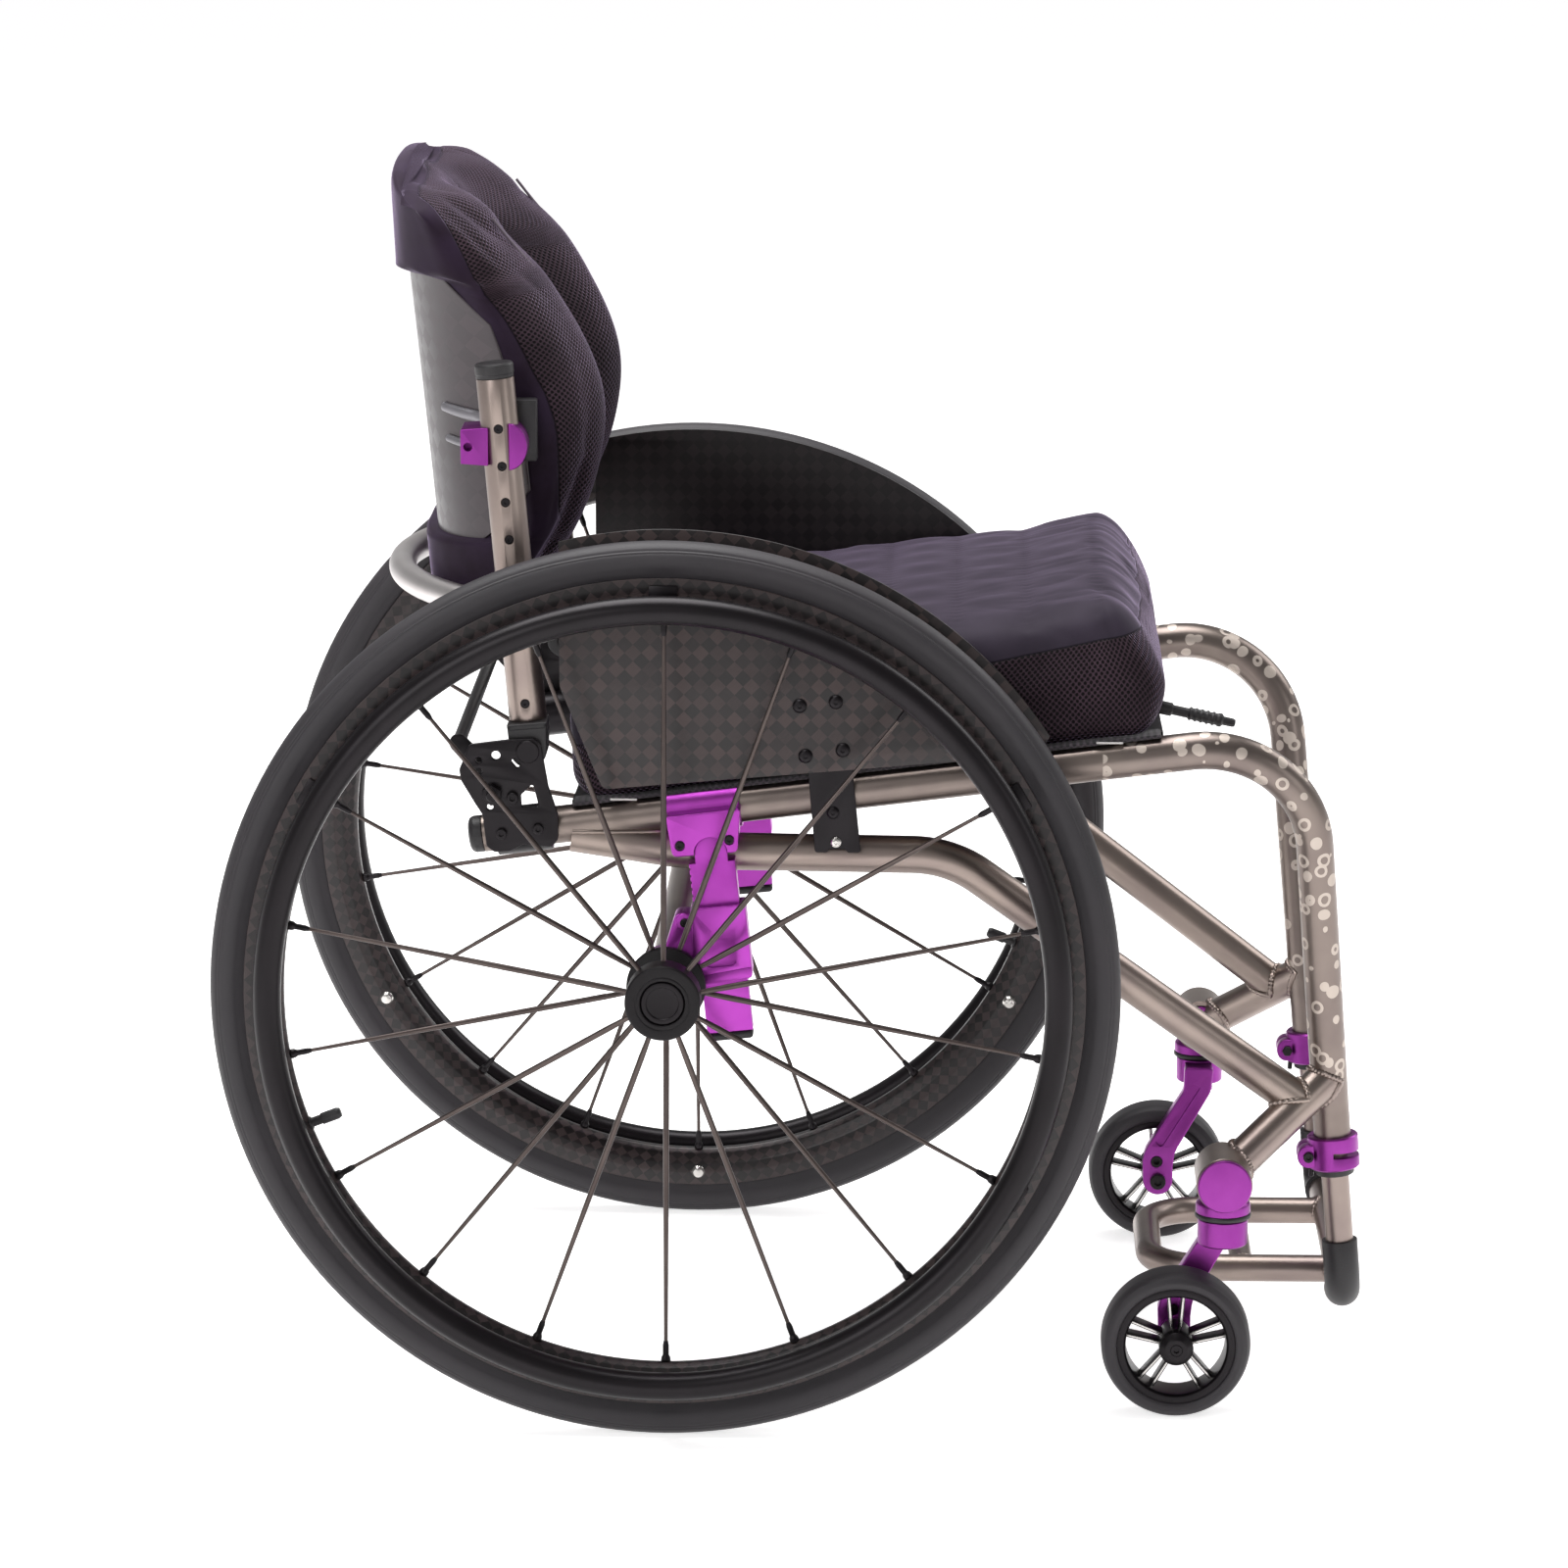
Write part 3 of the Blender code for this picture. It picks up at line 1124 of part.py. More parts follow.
def back_mount(side):
    """Clamp between the cane and the shell, with two arms along the shell's outside."""
    rear, front = MOUNT_X
    low, high = MOUNT_Z - MOUNT_HALF, MOUNT_Z + MOUNT_HALF
    inner = SHELL_HALF + SHELL_THICK / 2 + FIT
    outline = [(rear, low + 0.002), (front - 0.010, low)] + sector(front - 0.012, MOUNT_Z, 0.0135, -60, 60, 6)
    outline += [(front - 0.010, high), (rear, high - 0.002)]
    block = plate(outline, side * inner, side * CANE_OUT)
    arms = []
    for z in (MOUNT_Z - 0.009, MOUNT_Z + 0.009):
        near = Vector((-0.1230, side * (SHELL_HALF + 0.0045), z))
        far = Vector((-0.1655, side * (SHELL_HALF - 0.034), z + 0.002))
        rise = Vector((0, 0, 0.003))
        out = Vector((-0.0012, side * 0.0012, 0))
        ends = [(p - rise - out, p + rise - out, p + rise + out, p - rise + out) for p in (near, far)]
        arms.append(lofted(ends))
    cane = tube_around((cane_point(0.6, side), cane_point(0.72, side)), TUBE)
    slot = sheet(shell_rows(2 * FIT), SHELL_THICK + 2 * FIT)
    return cut(joined(block, *arms), cane, slot)


def back(root):
    fold = pivot("back_fold", (PIVOT[0], 0, PIVOT[1]), root)
    lever = pivot("release", (RELEASE_PIVOT[0], 0, RELEASE_PIVOT[1]), root)
    finished(release_bar(), "release_bar", BLACK_METAL, lever)
    finished(rigidizer_bar(), "rigidizer_bar", TITANIUM, fold)
    finished(back_shell(), "back_shell", CARBON, fold)
    finished(back_cushion(), "back_cushion", FABRIC, fold)
    for side, letter in SIDES:
        finished(back_bracket(side), "back_bracket_" + letter, BLACK_METAL, root)
        finished(pivot_block(side), "pivot_block_" + letter, BLACK_PLASTIC, fold)
        finished(back_cane(side), "back_cane_" + letter, TITANIUM, fold)
        finished(cane_cap(side), "cane_cap_" + letter, BLACK_PLASTIC, fold)
        finished(back_mount(side), "back_mount_" + letter, PURPLE, fold)


def centred(root):
    """Moves the root so that the origin is under the middle of the chair's length."""
    bpy.context.view_layer.update()
    ends = [(item.matrix_world @ Vector(corner)).x for item in chair.objects if item.type == "MESH"
            for corner in item.bound_box]
    root.location.x = -(min(ends) + max(ends)) / 2
    print("rear axle at X", round(root.location.x, 5), "hub at Z", round(HUB_Z, 5))


chair_root = pivot("chair_root", (0, 0, 0))
rear_wheels(chair_root)
frame_tubes(chair_root)
casters(chair_root)
footrest(chair_root)
axle_group(chair_root)
seat(chair_root)
back(chair_root)
centred(chair_root)
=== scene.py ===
from functools import partial
from math import atan, atan2, ceil, cos, hypot, pi, radians, sin, sqrt, tan

import bpy
from mathutils import Matrix, Vector, noise


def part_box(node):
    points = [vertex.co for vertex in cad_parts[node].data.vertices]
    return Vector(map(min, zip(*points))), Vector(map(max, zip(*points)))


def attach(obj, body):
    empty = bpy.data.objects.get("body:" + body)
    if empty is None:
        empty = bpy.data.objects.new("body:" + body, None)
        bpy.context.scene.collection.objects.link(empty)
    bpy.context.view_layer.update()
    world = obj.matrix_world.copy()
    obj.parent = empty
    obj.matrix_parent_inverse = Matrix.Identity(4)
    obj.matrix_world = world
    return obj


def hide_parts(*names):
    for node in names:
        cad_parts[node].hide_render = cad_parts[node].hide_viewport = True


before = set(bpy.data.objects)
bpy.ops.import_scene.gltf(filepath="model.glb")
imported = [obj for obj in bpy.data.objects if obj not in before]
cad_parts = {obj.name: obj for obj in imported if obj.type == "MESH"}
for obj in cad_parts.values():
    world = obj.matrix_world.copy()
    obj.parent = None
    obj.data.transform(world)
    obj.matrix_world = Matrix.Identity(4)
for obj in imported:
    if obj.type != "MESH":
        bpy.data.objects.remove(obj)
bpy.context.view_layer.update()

# Places are measured from the rear axle, in metres, and settled() moves a finished piece to where the frame stands.
# X runs forward, Y to the rider's left, Z up from the floor.
low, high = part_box("camber_tube")
axleX = (low.x + high.x) / 2
sides = ((-1, "_R"), (1, "_L"))

wheel = {
    "camber": radians(2),
    "out": 0.26,
    "tyreRadius": 0.3045,
    "treadHalf": 0.0028,
    "rimRadius": 0.28,
    "rimDepth": 0.025,
    "rimHalf": 0.0118,
    "steps": 180,
}
wheel["hubZ"] = wheel["tyreRadius"] * cos(wheel["camber"]) + wheel["treadHalf"] * sin(wheel["camber"])

tubes = {
    "radius": 0.0127,
    "seatHalf": 0.195,
    "seatHeight": 0.4136,
    "seatSlope": 0.1246,
    "seatRear": -0.125,
    "kneeRadius": 0.076,
    "legAtFloor": 0.4691,
    "legLean": 0.084,
    "legHalf": 0.144,
    "taperEnd": 0.2,
    "legEnd": 0.172,
    "rail": ((-0.065, 0.3985), (0.011, 0.387), (0.19, 0.3847)),
    "railRadii": (0.15, 0.076),
    "armTop": 0.2205,
    "diagonalMeets": 0.73,
    "sides": 40,
}


# Handling

def activate(piece):
    bpy.ops.object.select_all(action="DESELECT")
    piece.select_set(True)
    bpy.context.view_layer.objects.active = piece
    return piece


def placed(piece, matrix=None):
    # bakes a piece's place into its mesh
    if matrix is not None:
        piece.matrix_world = matrix
    activate(piece)
    bpy.ops.object.transform_apply(location=True, rotation=True, scale=True)
    return piece


def cleaned(piece, distance=0.000004):
    activate(piece)
    bpy.ops.object.mode_set(mode="EDIT")
    bpy.ops.mesh.select_all(action="SELECT")
    bpy.ops.mesh.remove_doubles(threshold=distance)
    bpy.ops.mesh.normals_make_consistent(inside=False)
    bpy.ops.object.mode_set(mode="OBJECT")
    return piece


def started(primitive, **settings):
    # runs the operator that makes a primitive, with nothing else selected
    bpy.ops.object.select_all(action="DESELECT")
    primitive(**settings)
    return bpy.context.object


def modified(piece, kind, **settings):
    # one modifier, applied
    activate(piece)
    modifier = piece.modifiers.new(kind, kind)
    for name, value in settings.items():
        setattr(modifier, name, value)
    bpy.ops.object.modifier_apply(modifier=modifier.name)
    return piece


def copyOf(piece, matrix=None):
    twin = piece.copy()
    twin.data = piece.data.copy()
    bpy.context.scene.collection.objects.link(twin)
    return placed(twin, matrix) if matrix is not None else twin


def mergedInto(name, pieces):
    # several loose parts as one piece
    activate(pieces[0])
    for other in pieces[1:]:
        other.select_set(True)
    bpy.ops.object.join()
    pieces[0].name = name
    return pieces[0]


def carved(piece, cutters, operation="DIFFERENCE"):
    for cutter in cutters:
        modified(piece, "BOOLEAN", operation=operation, solver="MANIFOLD", object=cutter)
        bpy.data.objects.remove(cutter)
    return piece


def bevelled(piece, width, segments=2, angle=35):
    return modified(piece, "BEVEL", width=width, segments=segments, limit_method="ANGLE", angle_limit=radians(angle))


def subdivided(piece, levels=1):
    return modified(piece, "SUBSURF", levels=levels, render_levels=levels)


def settled(piece, name, body, finish, node="", angle=32):
    # names, paints, smooths and seats a finished piece on its body, in place of its CAD node if it has one
    piece.name = piece.data.name = name
    piece.data.materials.clear()
    for look in finish.split():
        piece.data.materials.append(finishes[look])
    placed(piece, Matrix.Translation((axleX, 0, 0)) @ piece.matrix_world)
    activate(piece)
    bpy.ops.object.shade_smooth_by_angle(angle=radians(angle))
    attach(piece, body)
    if node:
        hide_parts(node)
    return piece


def settledPairs(jobs):
    # right and left: what makes the piece, its name, body, slot and finish, and the CAD node that it stands for;
    # a star in a body's name stands for the side
    for side, mark in sides:
        for maker, name, body, slot, finish, node in jobs:
            settled(maker(side), name + mark, body.replace("*", mark), finish, node and node + mark)


def clamped(value):
    return max(0.0, min(1.0, value))


def aimed(place, axis):
    # stands at a place, with its Z along an axis
    return Matrix.Translation(Vector(place)) @ Vector(axis).to_track_quat("Z", "Y").to_matrix().to_4x4()


# Shapes

def curveOf(loops, closed):
    piece = started(bpy.ops.curve.primitive_nurbs_path_add)
    piece.data.splines.clear()
    for loop in loops:
        spline = piece.data.splines.new("POLY")
        spline.points.add(len(loop) - 1)
        for point, place in zip(spline.points, loop):
            point.co = (*place, 1)
        spline.use_cyclic_u = closed
    return piece


def meshOf(piece):
    activate(piece)
    bpy.ops.object.convert(target="MESH")
    return bpy.context.object


def tubeOf(points, radius, around=None, closed=False, widths=None):
    piece = curveOf([points], closed)
    piece.data.bevel_depth = radius
    piece.data.bevel_resolution = ((around or tubes["sides"]) - 4) // 2
    piece.data.use_fill_caps = not closed
    if widths:
        for point, width in zip(piece.data.splines[0].points, widths):
            point.radius = width
    return cleaned(meshOf(piece))


def turnedOf(profile, steps=64, centre=(0, 0, 0), axis=(0, 0, 1), closed=False):
    # a (radius, height) profile, spun about its axis
    piece = meshOf(curveOf([[(radius, 0, height) for radius, height in profile]], closed))
    bpy.ops.object.mode_set(mode="EDIT")
    bpy.ops.mesh.select_all(action="SELECT")
    bpy.ops.mesh.spin(steps=steps, angle=2 * pi, center=(0, 0, 0), axis=(0, 0, 1))
    bpy.ops.object.mode_set(mode="OBJECT")
    return placed(cleaned(piece, 0.00001), aimed(centre, axis))


def slabOf(outline, near, far, edge=0.0006, holes=(), rounds=2):
    # an (x, z) outline with rounded edges, between two distances along Y
    piece = curveOf([[(x, z, 0) for x, z in loop] for loop in (outline, *holes)], True)
    piece.data.dimensions = "2D"
    piece.data.fill_mode = "BOTH"
    piece.data.extrude = abs(far - near) / 2 - edge
    piece.data.bevel_depth = edge
    piece.data.bevel_resolution = rounds
    piece.data.offset = -edge
    piece = cleaned(meshOf(piece))
    turn = Matrix.Rotation(pi / 2, 4, "X")
    return placed(piece, Matrix.Translation((0, (near + far) / 2, 0)) @ turn)


def rodOf(start, end, radius, around=32, edge=0.0004):
    # a straight round bar with softened ends
    start, end = Vector(start), Vector(end)
    length = (end - start).length
    edge = min(edge, radius / 3, length / 3)
    profile = [(0, 0), (radius - edge, 0), (radius, edge), (radius, length - edge), (radius - edge, length),
               (0, length)]
    return turnedOf(profile, around, start, end - start)


def cutterOf(start, end, radius, around=32):
    start, end = Vector(start), Vector(end)
    piece = started(bpy.ops.mesh.primitive_cylinder_add, vertices=around, radius=radius, depth=(end - start).length)
    return placed(piece, aimed((start + end) / 2, end - start))


def blockOf(low, high, edge=0.0, segments=2):
    # a box between two opposite corners
    low, high = Vector(low), Vector(high)
    piece = started(bpy.ops.mesh.primitive_cube_add, size=1, location=(low + high) / 2)
    piece.scale = [abs(part) for part in high - low]
    placed(piece)
    return bevelled(piece, edge, segments) if edge else piece


def arcAt(before, corner, after, radius, step=4):
    corner = Vector(corner)
    back = (Vector(before) - corner).normalized()
    ahead = (Vector(after) - corner).normalized()
    halfTurn = (pi - back.angle(ahead)) / 2
    setback = radius * tan(halfTurn)
    centre = corner + (back + ahead).normalized() * radius / cos(halfTurn)
    start = corner + back * setback - centre
    end = corner + ahead * setback - centre
    count = max(1, ceil(2 * halfTurn / radians(step)))
    axis = start.cross(end)
    return [centre + Matrix.Rotation(2 * halfTurn * i / count, 3, axis) @ start for i in range(count + 1)]


def bentRoute(corners, radii):
    route = [Vector(corners[0])]
    for before, corner, after, radius in zip(corners, corners[1:], corners[2:], radii):
        route += arcAt(before, corner, after, radius)
    return route + [Vector(corners[-1])]


def roundedLoop(corners, radius):
    # a closed (x, z) outline with each corner rounded, by one radius or one for each corner
    flat = [Vector((x, z, 0)) for x, z in corners]
    radii = radius if isinstance(radius, (list, tuple)) else [radius] * len(flat)
    outline = []
    for i, corner in enumerate(flat):
        if radii[i] <= 0:
            outline.append((corner.x, corner.y))
            continue
        arc = arcAt(flat[i - 1], corner, flat[(i + 1) % len(flat)], radii[i], 12)
        outline += [(point.x, point.y) for point in arc]
    return outline


def softProfile(profile, radius):
    # an open (radius, height) profile with its inner corners rounded
    flat = [Vector((r, z, 0)) for r, z in profile]
    outline = [profile[0]]
    for before, corner, after in zip(flat, flat[1:], flat[2:]):
        room = min((before - corner).length, (after - corner).length) * 0.45
        turn = (pi - (before - corner).angle(after - corner)) / 2
        size = min(radius, room / max(tan(turn), 0.001))
        if turn < radians(4) or size < 0.00002:
            outline.append((corner.x, corner.y))
            continue
        outline += [(point.x, point.y) for point in arcAt(before, corner, after, size, 15)]
    return outline + [profile[-1]]


def ringLoop(x, z, radius, count=32):
    return [(x + radius * cos(2 * pi * i / count), z + radius * sin(2 * pi * i / count)) for i in range(count)]


def arcLoop(x, z, radius, first, last, count=16):
    angles = [radians(first + (last - first) * i / count) for i in range(count + 1)]
    return [(x + radius * cos(angle), z + radius * sin(angle)) for angle in angles]


# Lines that several pieces share

def seatZ(x):
    return tubes["seatHeight"] + tubes["seatSlope"] * x


def legX(z):
    return tubes["legAtFloor"] - tubes["legLean"] * z


def seatPoint(x, side):
    return Vector((x, side * tubes["seatHalf"], seatZ(x)))


def legPoint(z, side):
    return Vector((legX(z), side * tubes["legHalf"], z))


def outboard(side, camber=0.0):
    # turns a piece so that its Z points away from the chair
    return Matrix.Rotation(pi if side > 0 else 0, 4, "Z") @ Matrix.Rotation(pi / 2 - camber, 4, "X")


def wheelPlace(side):
    return Matrix.Translation((0, side * wheel["out"], wheel["hubZ"])) @ outboard(side, wheel["camber"])


# Colour and materials

def linear(code):
    parts = [int(code[i:i + 2], 16) / 255 for i in (1, 3, 5)]
    return [part / 12.92 if part <= 0.04045 else ((part + 0.055) / 1.055) ** 2.4 for part in parts] + [1]


def newMaterial(name):
    material = bpy.data.materials.new(name)
    material.use_nodes = True
    return material


def fed(material, socket, value):
    # links a node's first output or a socket, or sets a plain value
    if isinstance(value, bpy.types.Node):
        value = value.outputs[0]
    if isinstance(value, bpy.types.NodeSocket):
        material.node_tree.links.new(value, socket)
    else:
        socket.default_value = value


def addNode(material, kind, inputs=None, **settings):
    node = material.node_tree.nodes.new("ShaderNode" + kind)
    for name, value in settings.items():
        setattr(node, name, value)
    for name, value in (inputs or {}).items():
        fed(material, node.inputs[name], value)
    return node


def surface(material, **inputs):
    # the shader's own sockets
    for name, value in inputs.items():
        fed(material, material.node_tree.nodes["Principled BSDF"].inputs[name.replace("_", " ")], value)
    return material


def rampOf(material, factor, stops):
    node = addNode(material, "ValToRGB", {0: factor})
    ramp = node.color_ramp
    while len(ramp.elements) < len(stops):
        ramp.elements.new(0.5)
    for element, (place, code) in zip(ramp.elements, stops):
        element.position = place
        element.color = linear(code) if isinstance(code, str) else (code, code, code, 1)
    return node


# Bead-blasted titanium: satin and warm grey, with a faint drawn grain along the tube
def blastedTitanium(name="blastedTitanium", etched=False, deep="#877A76", pale="#998C84"):
    material = newMaterial(name)
    add = partial(addNode, material)
    place = add("TexCoord").outputs["Object"]
    grit = add("TexNoise", {"Vector": place, "Scale": 900, "Detail": 4})
    cloud = add("TexNoise", {"Vector": place, "Scale": 22, "Detail": 3})
    base = rampOf(material, cloud, ((0.3, deep), (0.7, pale)))
    rough = add("MapRange", {0: grit, 3: 0.3, 4: 0.4})
    if etched:
        mask = etchedSpots(material, place)
        base = add("Mix", {0: mask, 6: base, 7: linear("#C0B5AC")}, data_type="RGBA").outputs[2]
        rough = add("Mix", {0: mask, 2: rough, 3: 0.55})
    bump = add("Bump", {"Height": grit, "Strength": 0.05, "Distance": 0.0002})
    return surface(material, Base_Color=base, Metallic=1.0, Roughness=rough, Normal=bump)


# Rings and dots about 9 mm across on a 15 mm spacing, masked off before blasting, so they stay paler than the tube.
# They cover the outer and front side of the seat tubes' fronts, the knees and the legs.
def etchedSpots(material, place):
    add = partial(addNode, material)
    drift = add("TexNoise", {"Vector": place, "Scale": 55, "Detail": 1}).outputs["Color"]
    bent = add("Mix", {0: 0.0035, 6: place, 7: drift}, data_type="RGBA", blend_type="ADD").outputs[2]
    spots = add("TexVoronoi", {"Vector": bent, "Scale": 74, "Randomness": 0.8}, feature="F1")
    kind = add("SeparateXYZ", {0: spots.outputs["Color"]}).outputs["X"]
    hollow = add("Math", {0: kind, 1: 0.35}, operation="GREATER_THAN")
    low = add("Math", {0: hollow, 1: 0.2}, operation="MULTIPLY")
    beyond = add("Math", {0: spots, 1: low}, operation="GREATER_THAN")
    inside = add("Math", {0: spots, 1: 0.36}, operation="LESS_THAN")
    inside = add("Math", {0: inside, 1: beyond}, operation="MULTIPLY")
    parts = add("SeparateXYZ", {0: place})
    ahead = add("Math", {0: parts.outputs["X"], 1: 0.292 + axleX}, operation="GREATER_THAN")
    above = add("Math", {0: parts.outputs["Z"], 1: 0.215}, operation="GREATER_THAN")
    both = add("Math", {0: ahead, 1: above}, operation="MULTIPLY")
    return add("Math", {0: both, 1: inside}, operation="MULTIPLY")


# Anodised aluminium: a dye in the oxide over bead-blasted metal, so a satin, saturated metal
def anodised(name, deep, pale, roughness, metallic=0.9):
    material = newMaterial(name)
    add = partial(addNode, material)
    place = add("TexCoord").outputs["Object"]
    cloud = add("TexNoise", {"Vector": place, "Scale": 35, "Detail": 4})
    grit = add("TexNoise", {"Vector": place, "Scale": 1400, "Detail": 2})
    base = rampOf(material, cloud, ((0.25, deep), (0.75, pale)))
    rough = add("MapRange", {0: grit, 3: roughness - 0.04, 4: roughness + 0.05})
    bump = add("Bump", {"Height": grit, "Strength": 0.06, "Distance": 0.0001})
    return surface(material, Base_Color=base, Metallic=metallic, Roughness=rough, Normal=bump)


# Moulded nylon: matt, with a fine spark-eroded grain
def mouldedNylon(name="mouldedNylon", deep="#171517", pale="#221F22", shine=0.5):
    material = newMaterial(name)
    add = partial(addNode, material)
    place = add("TexCoord").outputs["Object"]
    grain = add("TexNoise", {"Vector": place, "Scale": 1500, "Detail": 3})
    base = rampOf(material, grain, ((0.3, deep), (0.7, pale)))
    bump = add("Bump", {"Height": grain, "Strength": 0.15, "Distance": 0.0002})
    return surface(material, Base_Color=base, Roughness=0.48, Specular_IOR_Level=shine, Normal=bump)


# Tyre rubber: matt, with a dusty bloom in patches and faint mould lines round the wall
def tyreRubber():
    material = newMaterial("tyreRubber")
    add = partial(addNode, material)
    place = add("TexCoord").outputs["Object"]
    bloom = add("TexNoise", {"Vector": place, "Scale": 14, "Detail": 5, "Roughness": 0.6})
    grain = add("TexNoise", {"Vector": place, "Scale": 1100, "Detail": 3})
    base = rampOf(material, bloom, ((0.3, "#252226"), (0.75, "#322E32")))
    rough = add("MapRange", {0: bloom, 3: 0.46, 4: 0.66})
    bump = add("Bump", {"Height": grain, "Strength": 0.12, "Distance": 0.0002})
    return surface(material, Base_Color=base, Roughness=rough, Normal=bump)


# Carbon laminate: flat tows of a given width woven at 45 degrees under a satin clear coat. A tow shines or darkens
# with its direction, which gives the squares, and its filaments give fine streaks. UVs are metres along the surface.
def wovenCarbon(name, tow, pale, dark, middle):
    material = newMaterial(name)
    add = partial(addNode, material)
    place = add("UVMap", uv_map="weave")
    turned = add("Mapping", {"Vector": place, "Rotation": (0, 0, pi / 4),
                             "Scale": (1 / tow, 1 / tow, 1)})
    cell = add("VectorMath", {0: turned}, operation="FLOOR")
    random = add("TexWhiteNoise", {"Vector": cell}, noise_dimensions="2D")
    checker = add("TexChecker", {"Vector": turned, "Scale": 1.0, "Color1": (1, 1, 1, 1),
                                 "Color2": (0, 0, 0, 1)}).outputs["Fac"]
    along = add("Mapping", {"Vector": turned, "Scale": (1.2, 26, 1)})
    across = add("Mapping", {"Vector": turned, "Scale": (26, 1.2, 1)})
    streaks = [add("TexNoise", {"Vector": way, "Scale": 1.0, "Detail": 2}) for way in (along, across)]
    streak = add("Mix", {0: checker, 2: streaks[0], 3: streaks[1]})
    shade = add("Math", {0: random, 1: 0.34}, operation="MULTIPLY")
    shade = add("Math", {0: checker, 1: 0.5, 2: shade}, operation="MULTIPLY_ADD")
    shade = add("Math", {0: streak, 1: 0.36, 2: shade}, operation="MULTIPLY_ADD")
    base = rampOf(material, shade, ((0.15, dark), (0.62, middle), (1.0, pale)))
    rough = add("MapRange", {0: shade, 3: 0.3, 4: 0.48})
    bump = add("Bump", {"Height": shade, "Strength": 0.12, "Distance": 0.0002})
    surface(material, Base_Color=base, Metallic=0.45, Roughness=rough, Normal=bump)
    return surface(material, Coat_Weight=0.35, Coat_Roughness=0.22)


# Spacer mesh: a knitted net with a lattice of dark holes 3.2 mm apart, over a dark ground
def spacerMesh():
    material = newMaterial("spacerMesh")
    add = partial(addNode, material)
    place = add("UVMap", uv_map="weave")
    pitch = 0.0032
    lattice = add("Mapping", {"Vector": place, "Rotation": (0, 0, radians(38)),
                             "Scale": (1 / pitch, 1 / pitch, 1)})
    holes = add("TexVoronoi", {"Vector": lattice, "Scale": 1.0, "Randomness": 0.0}, feature="F1",
                voronoi_dimensions="2D")
    cloud = add("TexNoise", {"Vector": place, "Scale": 30, "Detail": 3})
    shade = add("MapRange", {0: holes, 1: 0.26, 2: 0.46})
    shade = add("Math", {0: shade, 1: cloud, 2: 0.0}, operation="MULTIPLY_ADD")
    base = rampOf(material, shade, ((0.0, "#141014"), (0.35, "#2A242A"), (0.7, "#4A4149")))
    bump = add("Bump", {"Height": holes, "Strength": 0.7, "Distance": 0.0012})
    surface(material, Base_Color=base, Roughness=0.78, Normal=bump)
    return surface(material, Sheen_Weight=0.25, Sheen_Roughness=0.5)


# Padded covers: a lattice of small holes where the spacer mesh is, and smooth cloth past the sewn seam, whose groove
# carries painted shade
def paddedCover(name, deep, pale, meshDeep="#080507", meshPale="#45363F"):
    material = newMaterial(name)
    add = partial(addNode, material)
    place = add("UVMap", uv_map="weave")
    seam = add("Attribute", attribute_name="cover").outputs["Fac"]
    pitch = 0.0034
    lattice = add("Mapping", {"Vector": place, "Rotation": (0, 0, radians(45)),
                             "Scale": (1 / pitch, 1.12 / pitch, 1)})
    holes = add("TexVoronoi", {"Vector": lattice, "Scale": 1.0, "Randomness": 0.0}, feature="F1",
                voronoi_dimensions="2D")
    cloud = add("TexNoise", {"Vector": place, "Scale": 22, "Detail": 4})
    knit = add("TexNoise", {"Vector": place, "Scale": 900, "Detail": 2})
    ring = add("MapRange", {0: holes, 1: 0.27, 2: 0.47})
    thread = add("Math", {0: ring, 1: cloud, 2: 0.08}, operation="MULTIPLY_ADD")
    meshShade = rampOf(material, thread, ((0.06, meshDeep), (0.7, meshPale)))
    clothShade = rampOf(material, cloud, ((0.25, deep), (0.75, pale)))
    sewn = add("Math", {0: seam}, operation="ABSOLUTE")
    groove = add("MapRange", {0: sewn, 1: 0.0002, 2: 0.0011})
    smooth = add("MapRange", {0: seam, 1: -0.0003, 2: 0.0003})
    shade = add("Mix", {0: smooth, 6: meshShade, 7: clothShade}, data_type="RGBA").outputs[2]
    # the seam's groove darkens the colour down to 35%: painted shade
    dark = add("MapRange", {0: groove, 3: 0.35, 4: 1.0})
    shade = add("VectorMath", {0: shade, 3: dark}, operation="SCALE")
    fine = add("Math", {0: knit, 1: 0.12}, operation="MULTIPLY")
    rise = add("Mix", {0: smooth, 2: ring, 3: fine})
    rise = add("Math", {0: groove, 1: 1.2, 2: rise}, operation="MULTIPLY_ADD")
    bump = add("Bump", {"Height": rise, "Strength": 0.8, "Distance": 0.0007})
    surface(material, Base_Color=shade, Roughness=0.66, Specular_IOR_Level=0.1, Normal=bump)
    return surface(material, Sheen_Weight=1.0, Sheen_Roughness=0.22, Sheen_Tint=linear("#A797B4"))


# Chrome plate on the small screws
def platedSteel():
    material = newMaterial("platedSteel")
    add = partial(addNode, material)
    place = add("TexCoord").outputs["Object"]
    grit = add("TexNoise", {"Vector": place, "Scale": 600, "Detail": 3})
    rough = add("MapRange", {0: grit, 3: 0.12, 4: 0.24})
    return surface(material, Base_Color=linear("#C9C6C2"), Metallic=1.0, Roughness=rough)


